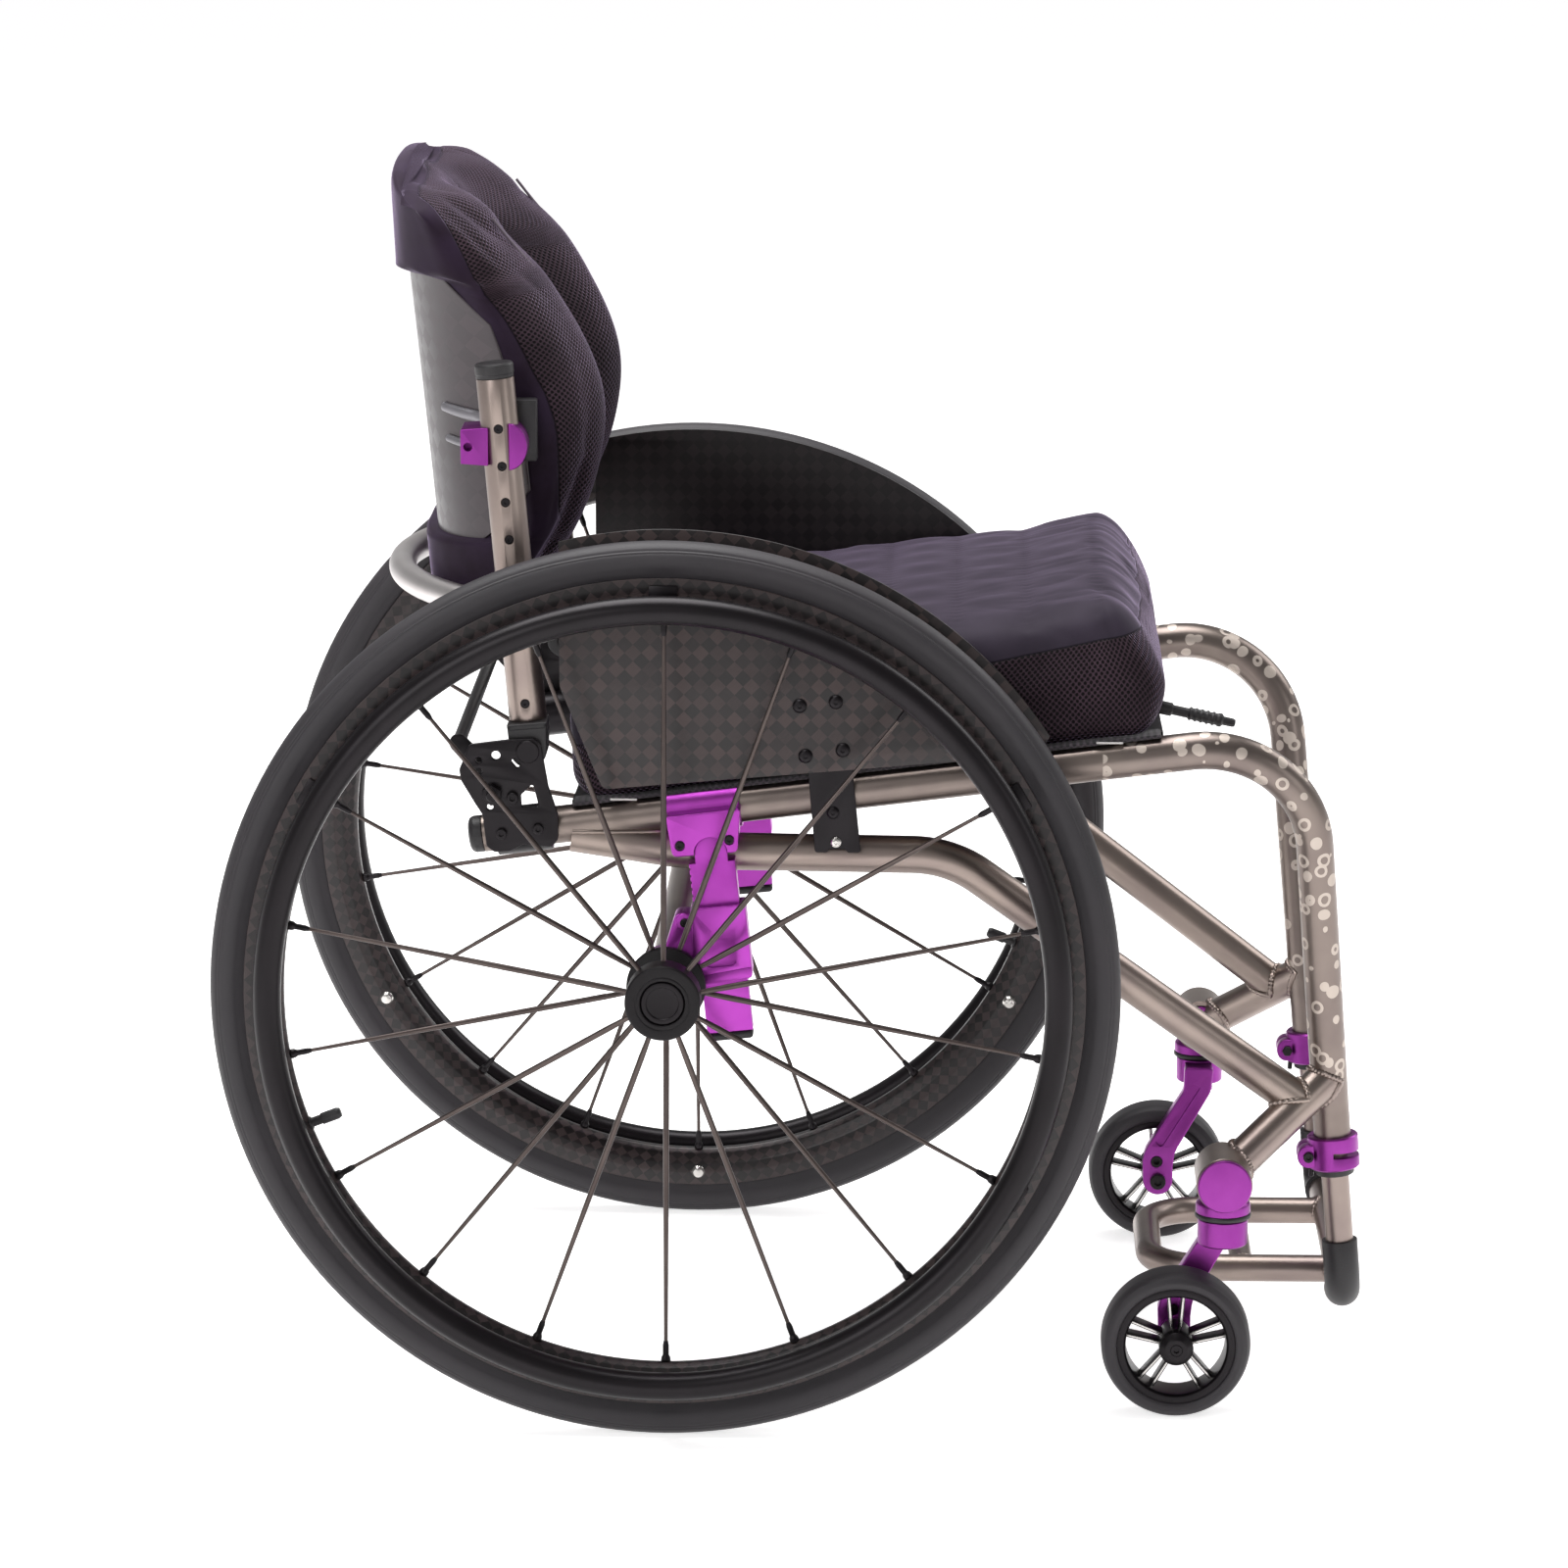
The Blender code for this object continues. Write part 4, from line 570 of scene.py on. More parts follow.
finishes = {
    "titanium": blastedTitanium(),
    # the side tubes' titanium is a darker copy of the plain titanium: painted shade, on top of its paler etched spots
    "etched": blastedTitanium("etchedTitaniumShaded", etched=True, deep="#766B67", pale="#877C75"),
    "purple": anodised("purpleAnodised", "#A43DA8", "#B34AB7", 0.36),
    # a darker copy of the same anodised purple, for the leg clamps, caster forks and housings and the back mounts:
    # painted shade
    "shadedPurple": anodised("shadedPurpleAnodised", "#812E84", "#913C94", 0.36),
    "black": anodised("blackAnodised", "#130F12", "#1A1519", 0.34, 0.6),
    "grey": anodised("greyAnodised", "#7D7B80", "#8E8C91", 0.42, 0.5),
    "spoke": anodised("spokeSteel", "#4E4543", "#5C5350", 0.34, 0.9),
    "silver": anodised("machinedAluminium", "#BDB9B6", "#CCC9C6", 0.26, 1.0),
    "steel": platedSteel(),
    "nylon": mouldedNylon(),
    "hub": mouldedNylon("hubNylon", "#0D090C", "#151114", 0.25),
    "rubber": tyreRubber(),
    "carbon": wovenCarbon("wovenCarbon", 0.008, "#3D302F", "#110C0D", "#201819"),
    # a darker copy of the weave for the guards' inner faces and edges: painted shade
    "darkCarbon": wovenCarbon("darkCarbon", 0.008, "#221A1C", "#130D0F", "#1B1416"),
    "rimCarbon": wovenCarbon("rimCarbon", 0.0072, "#382D2D", "#0E090B", "#20191A"),
    "mesh": spacerMesh(),
    "seatCover": paddedCover("seatCover", "#2C2630", "#3A333F"),
    "backCover": paddedCover("backCover", "#231922", "#33273A"),
    "shell": wovenCarbon("shellCarbon", 0.011, "#40373B", "#30282C", "#372F33"),
    "satin": blastedTitanium("satinBow", deep="#C4BEBD", pale="#D2CDCC"),
    # a pale cord colour that paints the highlight along the back cushion's lobe folds
    "foldHighlight": mouldedNylon("foldHighlightCord", "#5D525C", "#6C616B"),
    "white": mouldedNylon("whiteNylon", "#D8D5D2", "#E2DFDC"),
}
print("materials made:", len(finishes))


# Rear wheels, in their own frame: Z outboard, 0 at the rim's middle plane

tyreShape = {"section": 0.0125, "bead": 0.0105, "wallLine": 0.0004}
handrimShape = {"radius": 0.263, "tube": 0.0095, "out": 0.034, "tabs": 6}
hubShape = {
    "spokes": 18,
    "capFace": 0.037,
    "capRadius": 0.02525,
    "button": 0.0145,
    "innerEnd": -0.028,
    "spokeFoot": 0.0021,
    "spokeTip": 0.0013,
}


def polarUv(piece, matrix, radius):
    # UVs in metres: round the axis, and out along the profile
    piece.data.uv_layers.new(name="weave")
    layer = piece.data.uv_layers.active.data
    inverse = matrix.inverted()
    for polygon in piece.data.polygons:
        spots = [inverse @ piece.data.vertices[i].co for i in polygon.vertices]
        middle = sum(spots, Vector()) / len(spots)
        base = atan2(middle.y, middle.x)
        for loop, spot in zip(polygon.loop_indices, spots):
            angle = atan2(spot.y, spot.x)
            angle += 2 * pi * round((base - angle) / (2 * pi))
            layer[loop].uv = (angle * radius, hypot(spot.x, spot.y) + abs(spot.z) * 0.8)


def tyrePiece():
    radius, half = wheel["tyreRadius"], tyreShape["section"]
    middle = radius - half
    profile = [(wheel["rimRadius"] + 0.0002, -tyreShape["bead"] + 0.001)]
    for i in range(49):
        angle = radians(-118 + 236 * i / 48)
        reach = half - (tyreShape["wallLine"] if i in (11, 13, 35, 37) else 0)
        profile.append((middle + reach * cos(angle), reach * sin(angle)))
    profile.append((wheel["rimRadius"] + 0.0002, tyreShape["bead"] - 0.001))
    return turnedOf(profile, wheel["steps"], closed=True)


def rimPiece():
    outer, half, depth = wheel["rimRadius"], wheel["rimHalf"], wheel["rimDepth"]
    profile = [(outer - 0.004, half - 0.0016), (outer + 0.0012, half - 0.0014), (outer + 0.0012, half),
               (outer - 0.008, half + 0.0002), (outer - 0.0145, half - 0.001), (outer - depth + 0.003, 0.0062),
               (outer - depth, 0.0022)]
    profile += [(r, -z) for r, z in profile[::-1]]
    return turnedOf(softProfile(profile, 0.0035), wheel["steps"], closed=True)


def tabTurn(i):
    return Matrix.Rotation(radians(30) + 2 * pi * i / handrimShape["tabs"], 4, "Z")


def handrimPiece():
    radius, tube, out = handrimShape["radius"], handrimShape["tube"], handrimShape["out"]
    rim, half, wide = wheel["rimRadius"], wheel["rimHalf"], 0.0095
    pieces = [turnedOf(ringLoop(radius, out, tube, 28), wheel["steps"], closed=True)]
    for i in range(handrimShape["tabs"]):
        tab = blockOf((rim - 0.014, -wide, half - 0.001), (rim - 0.0098, wide, out - 0.004), 0.0012)
        foot = blockOf((rim - 0.015, -wide, half + 0.0004), (rim - 0.0035, wide, half + 0.003), 0.0009)
        pieces += [placed(tab, tabTurn(i)), placed(foot, tabTurn(i))]
    return mergedInto("handrim", pieces)


def spokeLine(i):
    angle = 2 * pi * i / hubShape["spokes"] - pi / 2
    across = Vector((cos(angle), sin(angle), 0))
    foot = across * 0.0205 + Vector((0, 0, 0.019 if i % 2 else -0.0198))
    tip = across * (wheel["rimRadius"] - wheel["rimDepth"] - 0.0005) + Vector((0, 0, 0.001 if i % 2 else -0.001))
    return foot, tip


def spokesPiece():
    pieces = []
    wide, thin = hubShape["spokeFoot"], hubShape["spokeTip"]
    for i in range(hubShape["spokes"]):
        foot, tip = spokeLine(i)
        length = (tip - foot).length
        profile = [(0, 0.0), (wide * 0.75, 0.0), (wide * 0.8, 0.006), (wide, 0.022), (wide * 0.95, 0.1),
                   (thin, length - 0.022), (thin, length), (0, length)]
        pieces.append(turnedOf(profile, 12, foot, tip - foot))
    return mergedInto("spokes", pieces)


def nipplesPiece():
    pieces = []
    for i in range(hubShape["spokes"]):
        foot, tip = spokeLine(i)
        along = (tip - foot).normalized()
        profile = softProfile([(0, -0.0135), (0.0015, -0.0135), (0.0021, -0.0105), (0.0021, -0.004), (0.0031, -0.0022),
                               (0.0034, 0.0004), (0, 0.0004)], 0.0005)
        pieces.append(turnedOf(profile, 14, tip, along))
        boss = softProfile([(0, -0.001), (0.0034, -0.001), (0.0034, 0.0045), (0.0026, 0.0062), (0, 0.0062)], 0.0006)
        pieces.append(turnedOf(boss, 14, foot - along * 0.0022, along))
    return mergedInto("nipples", pieces)


def hubPiece():
    cap, face = hubShape["capRadius"], hubShape["capFace"]
    button = hubShape["button"] + 0.0005
    profile = [(button, face - 0.008), (button, face - 0.0006), (button + 0.0006, face), (button + 0.0022, face),
               (button + 0.0026, face - 0.0004), (button + 0.0032, face - 0.0004), (button + 0.0036, face),
               (cap - 0.0012, face), (cap, face - 0.0012),
               (cap, 0.015), (cap - 0.0015, 0.013), (0.019, 0.011), (0.0175, 0.008), (0.0175, -0.011),
               (0.02, -0.0125), (0.0262, -0.015), (0.0268, -0.0165), (0.0268, -0.0195), (0.0255, -0.02),
               (0.0255, -0.0215), (0.0262, -0.022), (0.0262, -0.0245), (0.024, -0.0262), (0.0195, -0.0262),
               (0.0185, hubShape["innerEnd"]), (0.0068, hubShape["innerEnd"]), (0.0068, face - 0.008)]
    return turnedOf(softProfile(profile + profile[:1], 0.0007), 96)


def buttonPiece():
    face = hubShape["capFace"] - 0.0005
    edge = hubShape["button"]
    profile = [(0, face - 0.0008), (edge - 0.004, face - 0.0008), (edge - 0.0034, face), (edge - 0.0008, face),
               (edge, face - 0.0008), (edge, face - 0.0025), (0.003, face - 0.0025), (0.003, face - 0.014),
               (0, face - 0.014)]
    return turnedOf(softProfile(profile, 0.0004), 72)


def valvePiece():
    # the tube's valve stands inward from the rim
    turn = Matrix.Rotation(radians(201), 4, "Z")
    start = Vector((wheel["rimRadius"] - wheel["rimDepth"] + 0.001, 0, 0))
    profile = softProfile([(0, 0), (0.0046, 0), (0.0046, 0.0016), (0.0033, 0.0022), (0.0033, 0.0085), (0.004, 0.009),
                           (0.004, 0.02), (0.003, 0.0225), (0, 0.0225)], 0.0006)
    return placed(turnedOf(profile, 20, start, (-1, 0, 0)), turn)


def tabBolts():
    pieces = []
    for i in range(handrimShape["tabs"]):
        start = Vector((wheel["rimRadius"] - 0.009, 0, -wheel["rimHalf"] + 0.0006))
        profile = softProfile([(0, 0), (0.0052, 0), (0.0052, 0.0012), (0.0036, 0.0034), (0, 0.004)], 0.0006)
        pieces.append(placed(turnedOf(profile, 20, start, (0, 0, -1)), tabTurn(i)))
    return mergedInto("tabBolts", pieces)


def makeWheels():
    jobs = ((tyrePiece, "tyre", "rubber", "rubber", "tyre"),
            (rimPiece, "rim", "carbon", "rimCarbon", "rim"),
            (handrimPiece, "handrim", "black_metal", "black", "handrim"),
            (spokesPiece, "spokes", "spokes", "spoke", "spoked_hub"),
            (nipplesPiece, "spokeNipples", "black_metal", "black", ""),
            (hubPiece, "hubShell", "spokes", "hub", "spoked_hub"),
            (valvePiece, "valve", "rubber", "nylon", ""),
            (tabBolts, "tabBolts", "spokes", "steel", ""))
    for maker, name, slot, finish, node in jobs:
        master = maker()
        for side, mark in sides:
            piece = copyOf(master, wheelPlace(side))
            if name == "rim":
                polarUv(piece, wheelPlace(side), wheel["rimRadius"])
            settled(piece, name + mark + "_look", "rear_wheel" + mark, finish, node and node + mark)
        bpy.data.objects.remove(master)
    settledPairs(((lambda side: placed(buttonPiece(), wheelPlace(side)), "axleButton", "quick_release*",
                   "black_metal", "black", "axle_button"),))
    print("rear wheels made")


makeWheels()


# Screws: a socket head, a domed head and a hexagon nut, copied to each place

def hexagon(radius, depth, height):
    return placed(started(bpy.ops.mesh.primitive_cylinder_add, vertices=6, radius=radius, depth=depth,
                          location=(0, 0, height)))


def headOf(profile, soft, *socket):
    return carved(turnedOf(softProfile(profile, soft), 32), [hexagon(*socket)])


def hexNut():
    stub = turnedOf([(0, 0.003), (0.0024, 0.003), (0.0024, 0.0048), (0.002, 0.0052), (0, 0.0052)], 20)
    return mergedInto("nut", [bevelled(hexagon(0.0046, 0.0036, 0.0018), 0.0004), stub])


screws = {
    "socket": headOf([(0, 0), (0.004, 0), (0.004, 0.0032), (0.0036, 0.0036), (0, 0.0036)], 0.0003,
                     0.0021, 0.004, 0.0038),
    "dome": headOf([(0, 0), (0.0042, 0), (0.004, 0.001), (0.003, 0.002), (0.0014, 0.0024), (0, 0.0024)], 0.0006,
                   0.0014, 0.003, 0.0028),
    "nut": hexNut(),
}


def screwsOf(kind, spots):
    # copies of a screw: each spot is a seat, a direction and a head radius
    pieces = [copyOf(screws[kind], aimed(seat, axis) @ Matrix.Scale(radius / 0.004, 4)) for seat, axis, radius in spots]
    return mergedInto("screws", pieces)


# Frame: the side tubes, then the rails with their caster arms and barrels

def sideRoute(side):
    kneeX = (tubes["legAtFloor"] - tubes["legLean"] * tubes["seatHeight"]) / (1 + tubes["legLean"] * tubes["seatSlope"])
    corners = (seatPoint(tubes["seatRear"], side), seatPoint(kneeX, side), legPoint(tubes["taperEnd"], side),
               legPoint(tubes["legEnd"], side))
    return bentRoute(corners, (tubes["kneeRadius"], 0.05))


def armPoint(share, side):
    spread = (tubes["seatHalf"] - tubes["legHalf"]) * (tubes["armTop"] - tubes["taperEnd"])
    spread /= seatZ(tubes["legAtFloor"]) - tubes["taperEnd"]
    low = Vector((caster["stemX"], side * (caster["out"] - 0.0085), caster["barrelZ"] - 0.002))
    high = Vector((legX(tubes["armTop"]), side * (tubes["legHalf"] + spread), tubes["armTop"]))
    return low.lerp(high, share)


def railRoute(side):
    corners = [(x, side * tubes["seatHalf"], z) for x, z in tubes["rail"]] + [armPoint(tubes["diagonalMeets"], side)]
    return bentRoute(corners, tubes["railRadii"])


def weldLoop(start, along, radius, through, axis, reach, count=72):
    # where a branch tube's surface meets a main tube
    start, along, through, axis = Vector(start), Vector(along).normalized(), Vector(through), Vector(axis).normalized()
    first = along.orthogonal().normalized()
    second = along.cross(first)
    points = []
    for i in range(count):
        angle = 2 * pi * i / count
        edge = start + (first * cos(angle) + second * sin(angle)) * radius
        offset = edge - through
        offset -= axis * offset.dot(axis)
        flat = along - axis * along.dot(axis)
        a, b, c = flat.dot(flat), 2 * offset.dot(flat), offset.dot(offset) - reach ** 2
        inside = max(b * b - 4 * a * c, 0)
        points.append(edge + along * ((-b - sqrt(inside)) / (2 * a)))
    return points


def weldBead(points, radius=0.0021, closed=True):
    # a bead laid in small overlapping pools
    widths = [1 + 0.12 * cos(pi * i) for i in range(len(points))]
    return tubeOf(points, radius, 12, closed=closed, widths=widths)


def sideTubePiece(side):
    return tubeOf(sideRoute(side), tubes["radius"])


def lowerTubePiece(side):
    stemX, out, barrelZ = caster["stemX"], caster["out"], caster["barrelZ"]
    pieces = [tubeOf(railRoute(side), tubes["radius"]),
              tubeOf([armPoint(0, side), armPoint(0.985, side)], tubes["radius"])]
    half = caster["barrelHalf"]
    profile = [(0.0155, half - 0.0003), (0.0158, half), (0.0184, half), (0.019, half - 0.0006),
               (0.019, 0.0006 - half), (0.0184, -half), (0.0158, -half), (0.0155, 0.0003 - half)]
    pieces.append(turnedOf(profile + profile[:1], 64, (stemX, side * out, barrelZ), (0, 1, 0)))
    low, high = armPoint(0, side), armPoint(1, side)
    arm = high - low
    pieces.append(weldBead(weldLoop(high, -arm, tubes["radius"], (stemX, 0, barrelZ), (0, 1, 0), 0.019)))
    leg = legPoint(tubes["taperEnd"], side)
    spread = sideRoute(side)[-8]
    pieces.append(weldBead(weldLoop(low, arm, tubes["radius"], leg, spread - leg, tubes["radius"])))
    route = railRoute(side)
    diagonal = route[-1] - route[-2]
    pieces.append(weldBead(weldLoop(route[-2], diagonal, tubes["radius"], low, arm, tubes["radius"])))
    # under the seat tube, where the rail comes out of it
    crotch = []
    for i in range(-24, 25):
        x = 0.0035 - 0.068 * abs(i / 24) ** 1.3
        gap = (seatZ(x) - railZ(x)) / 2
        reach = sqrt(max(tubes["radius"] ** 2 - gap ** 2, 0)) * (1 if i > 0 else -1)
        crotch.append(Vector((x, side * tubes["seatHalf"] + reach, seatZ(x) - gap)))
    pieces.append(weldBead(crotch, 0.0017, closed=False))
    return mergedInto("lowerTube", pieces)


def railZ(x):
    (rearX, rearZ), (middleX, middleZ) = tubes["rail"][:2]
    return rearZ + (middleZ - rearZ) * (x - rearX) / (middleX - rearX)


def plugPiece(side):
    end = seatPoint(tubes["seatRear"], side)
    profile = [(0, 0.01), (0.0085, 0.0098), (0.0112, 0.0085), (0.0125, 0.006), (0.0125, 0.0003), (0.011, 0.0003),
               (0.011, -0.008), (0, -0.008)]
    return turnedOf(softProfile(profile, 0.0012), 48, end, (-1, 0, -tubes["seatSlope"]))


legClamp = {"low": 0.155, "high": 0.178, "wall": 0.0048, "split": 0.0008, "lugX": (0.43, 0.452),
            "bolt": (0.4374, 0.164)}


def legClampPiece(side):
    low, high = legClamp["low"], legClamp["high"]
    start, end = legPoint(low, side), legPoint(high, side)
    length = (end - start).length
    outer, middle = tubes["radius"] + legClamp["wall"], side * tubes["legHalf"]
    profile = [(0, 0), (outer - 0.001, 0), (outer, 0.001), (outer, length - 0.001), (outer - 0.001, length),
               (0, length)]
    ring = turnedOf(profile, 72, start, end - start)
    rear, front = legClamp["lugX"]
    lug = slabOf(roundedLoop(((rear, low + 0.001), (front, low + 0.001), (front, high - 0.006), (rear, high - 0.006)),
                             (0.0074, 0.001, 0.001, 0.0074)), middle - 0.0105, middle + 0.0105, 0.0008)
    body = carved(ring, [lug], "UNION")
    cutters = [blockOf((0.42, middle - legClamp["split"], low - 0.01),
                       (legX(low) - 0.004, middle + legClamp["split"], high + 0.01)),
               blockOf((legX(low) - 0.002, middle - 0.03, 0.1642), (0.49, middle + 0.03, 0.1682)),
               cutterOf(legPoint(low - 0.01, side), legPoint(0.174, side), 0.0098, 48),
               cutterOf(legPoint(0.1715, side), legPoint(high + 0.01, side), 0.013, 48)]
    return bevelled(carved(body, cutters), 0.0006, 2, 50)


def gasketPiece(side):
    # a soft ring under the clamp, round the footrest's tube
    profile = [(0.0097, 0), (0.0128, 0), (0.0134, 0.001), (0.0134, 0.0044), (0.0097, 0.0044)]
    foot, top = legPoint(0.1502, side), legPoint(0.1546, side)
    return turnedOf(profile + profile[:1], 56, foot, top - foot)


def legScrews(side):
    # the clamp's bolt with its nut, and a rod below
    y, (x, z) = side * tubes["legHalf"], legClamp["bolt"]
    pieces = [screwsOf("socket", [((x, y + side * 0.01, z), (0, side, 0), 0.0036)]),
              rodOf((x, y - side * 0.0135, z), (x, y - side * 0.01, z), 0.0038, 6),
              rodOf((0.44, y, 0.1475), (0.4405, y, 0.157), 0.0017, 16)]
    return mergedInto("screws", pieces)


def makeFrame():
    settledPairs(((sideTubePiece, "sideTube", "frame", "titanium", "etched", "side_tube"),
                  (lowerTubePiece, "lowerTube", "frame", "titanium", "titanium", "lower_tube"),
                  (plugPiece, "tubePlug", "frame", "black_plastic", "nylon", "tube_plug"),
                  (legClampPiece, "legClamp", "frame", "purple", "shadedPurple", "leg_clamp"),
                  (gasketPiece, "legGasket", "frame", "black_plastic", "nylon", ""),
                  (legScrews, "legScrews", "frame", "black_metal", "black", "")))
    print("frame tubes made")


# Casters: the wheel's own frame is Z outboard

caster = {
    "stemX": 0.3765,
    "out": 0.2155,
    "barrelZ": 0.1665,
    "barrelHalf": 0.022,
    "crownTop": 0.1385,
    "crownBottom": 0.12,
    "trail": 0.031,
    "radius": 0.0508,
    "half": 0.017,
    "rim": 0.04,
    "opening": 0.034,
    "hub": 0.012,
    "forkNear": 0.0225,
    "forkThick": 0.012,
}


def housingPiece(side):
    x, z, out = caster["stemX"], caster["barrelZ"], caster["out"]
    end = side * (out + caster["barrelHalf"])
    near = side * (out - caster["barrelHalf"])
    disc = [(0, 0.0038), (0.0173, 0.0038), (0.0182, 0.003), (0.0182, 0.0004), (0, 0.0004)]
    plug = [(0, 0.0022), (0.014, 0.0022), (0.0149, 0.0014), (0.0149, -0.004), (0, -0.004)]
    neck = [(0, 0.16), (0.0135, 0.16), (0.0137, 0.1565), (0.015, 0.1525), (0.0183, 0.1492), (0.0186, 0.148),
            (0.0186, 0.1428), (0.0183, 0.1425), (0, 0.1425)]
    disc = turnedOf(softProfile(disc, 0.0005), 72, (x, end, z), (0, side, 0))
    plug = turnedOf(softProfile(plug, 0.0004), 72, (x, near, z), (0, -side, 0))
    neck = turnedOf(softProfile(neck, 0.001), 72, (x, side * out, 0))
    return mergedInto("housing", [disc, plug, neck])


def sealPiece(side):
    profile = [(0, 0.1423), (0.0186, 0.1423), (0.0191, 0.1416), (0.0192, 0.1407), (0.019, 0.1396), (0.0184, 0.1391),
               (0, 0.1391)]
    return turnedOf(profile, 72, (caster["stemX"], side * caster["out"], 0))


def forkPiece(side):
    x, out, top, bottom = caster["stemX"], caster["out"], caster["crownTop"], caster["crownBottom"]
    near = side * (out - caster["forkNear"])
    far = side * (out - caster["forkNear"] - caster["forkThick"])
    crown = turnedOf(softProfile([(0, top), (0.0162, top), (0.017, top - 0.0008), (0.017, bottom + 0.0012),
                                  (0.0158, bottom), (0, bottom)], 0.0006), 64, (x, side * out, 0))
    middle = (near + far) / 2
    shoulder = blockOf((x - 0.0112, middle, bottom - 0.0008), (x + 0.0087, side * out, top - 0.0016), 0.0008)
    hubX, axleZ = x - caster["trail"], caster["radius"]
    outline = [(0.0095, top - 0.001), (0.0075, 0.119), (-0.0187, 0.0724), (-caster["trail"] + 0.011, 0.061)]
    radii = [0.003, 0.012, 0.02, 0.0]
    outline += [(px - x, pz) for px, pz in arcLoop(hubX, axleZ, 0.011, 0, -180, 18)]
    radii += [0.0] * 19
    outline += [(-caster["trail"] - 0.0115, 0.066), (-0.0405, 0.0745), (-0.0125, 0.12), (-0.012, top - 0.001)]
    radii += [0.0, 0.02, 0.012, 0.003]
    outline = roundedLoop([(x + px, pz) for px, pz in outline], radii)
    arm = slabOf(outline, near, far, 0.0012, [ringLoop(hubX - 0.001, axleZ + 0.0145, 0.0038)], 3)
    groove = roundedLoop([(x + px, pz) for px, pz in ((-0.0285, 0.076), (-0.0335, 0.0805), (-0.0065, 0.1255),
                                                      (0.0005, 0.1235))], 0.0022)
    groove = slabOf(groove, far - side * 0.01, far + side * 0.0022, 0.0004)
    arm = bevelled(carved(arm, [groove]), 0.0004, 2, 60)
    hub = turnedOf(softProfile([(0, 0), (0.0105, 0), (0.0105, 0.0018), (0.0098, 0.0024), (0, 0.0024)], 0.0004), 48,
                   (hubX, near, axleZ), (0, side, 0))
    return mergedInto("fork", [crown, shoulder, arm, hub])


def casterScrews(side):
    x, out, axleZ = caster["stemX"], caster["out"], caster["radius"]
    far = side * (out - caster["forkNear"] - caster["forkThick"])
    hubX = x - caster["trail"]
    cone = turnedOf(softProfile([(0.0042, 0.0045), (0.007, 0.0045), (0.0078, 0.0042), (0.0114, 0.0008), (0.0118, 0),
                                 (0.0042, 0)], 0.0005), 56, (hubX, side * (out + 0.0196), axleZ), (0, side, 0))
    spots = [((hubX, side * (out + 0.0205), axleZ), (0, side, 0), 0.0041), ((hubX, far, axleZ), (0, -side, 0), 0.0058)]
    liner = turnedOf([(0.0022, 0.0005), (0.004, 0.0005), (0.004, -0.003), (0, -0.003)], 28,
                     (hubX - 0.001, far, axleZ + 0.0145), (0, -side, 0))
    return mergedInto("casterScrews", [cone, screwsOf("socket", spots), liner])


def barrelScrew(side):
    near = side * (caster["out"] - caster["barrelHalf"] - 0.002)
    return screwsOf("socket", [((caster["stemX"], near, caster["barrelZ"]), (0, -side, 0), 0.0052)])


def casterWheelParts():
    rim, opening, half = caster["rim"], caster["opening"], caster["half"]
    edge = half - 0.0022
    section = [(rim, edge), (rim - 0.0018, edge + 0.0003), (opening + 0.0018, edge), (opening + 0.0004, edge - 0.0018),
               (opening, edge - 0.006), (opening, 0.006 - edge), (opening + 0.0004, 0.0018 - edge),
               (opening + 0.0018, -edge), (rim - 0.0018, -edge - 0.0003), (rim, -edge)]
    ring = turnedOf(softProfile(section + section[:1], 0.0006), 96)
    hubSection = [(0.0045, 0.0188), (0.0085, 0.0188), (0.0095, 0.017), (0.0112, 0.012), (0.0118, 0.007),
                  (0.0118, -0.007), (0.0112, -0.012), (0.0095, -0.0205), (0.0045, -0.0205)]
    hub = turnedOf(softProfile(hubSection + hubSection[:1], 0.0008), 72)
    dark, bright = [ring, hub], []
    for i in range(5):
        turn = Matrix.Rotation(2 * pi * i / 5 + pi / 2, 4, "Z")
        for lean in (-1, 1):
            foot = Vector((0.0102, 0.003 * lean, 0))
            tip = Vector((opening + 0.0012, 0.0052 * lean, 0))
            heading = (tip - foot).normalized()
            across = Vector((-heading.y, heading.x, 0))
            for spread, high, store in ((0.00125, 0.0066, dark), (0.0007, 0.007, bright)):
                rib = blockOf((0, -spread, -high), ((tip - foot).length, spread, high), 0.0003)
                basis = Matrix((heading, across, (0, 0, 1))).transposed().to_4x4()
                store.append(placed(rib, turn @ Matrix.Translation(foot) @ basis))
    return mergedInto("casterWheel", dark), mergedInto("casterRibs", bright)


def casterTyrePiece():
    radius, half, seat = caster["radius"], caster["half"], caster["rim"]
    profile = [(seat + 0.0002, -half + 0.0016), (radius - 0.0085, -half + 0.0002), (radius - 0.0055, -half),
               (radius - 0.0022, -half + 0.0024), (radius - 0.0006, -half + 0.006), (radius, -half + 0.009)]
    profile += [(r, -z) for r, z in profile[::-1]]
    return turnedOf(softProfile(profile + profile[:1], 0.0022), 120)


def makeCasters():
    jobs = [(casterTyrePiece(), "casterTyre", "rubber", "rubber", "caster_tyre")]
    dark, bright = casterWheelParts()
    jobs += [(dark, "casterWheel", "black_metal", "black", "caster_wheel"),
             (bright, "casterRibs", "spokes", "silver", "")]
    for master, name, slot, finish, node in jobs:
        for side, mark in sides:
            spot = (caster["stemX"] - caster["trail"], side * caster["out"], caster["radius"])
            piece = copyOf(master, Matrix.Translation(spot) @ outboard(side))
            settled(piece, name + mark, "caster_roller" + mark, finish, node and node + mark)
        bpy.data.objects.remove(master)
    settledPairs(((forkPiece, "casterFork", "caster_swivel*", "purple", "shadedPurple", "caster_fork"),
                  (casterScrews, "casterScrews", "caster_swivel*", "black_metal", "black", ""),
                  (housingPiece, "casterHousing", "frame", "purple", "shadedPurple", "caster_housing"),
                  (sealPiece, "casterSeal", "frame", "rubber", "nylon", ""),
                  (barrelScrew, "barrelScrew", "frame", "black_metal", "black", "")))
    print("casters made")


# Footrest

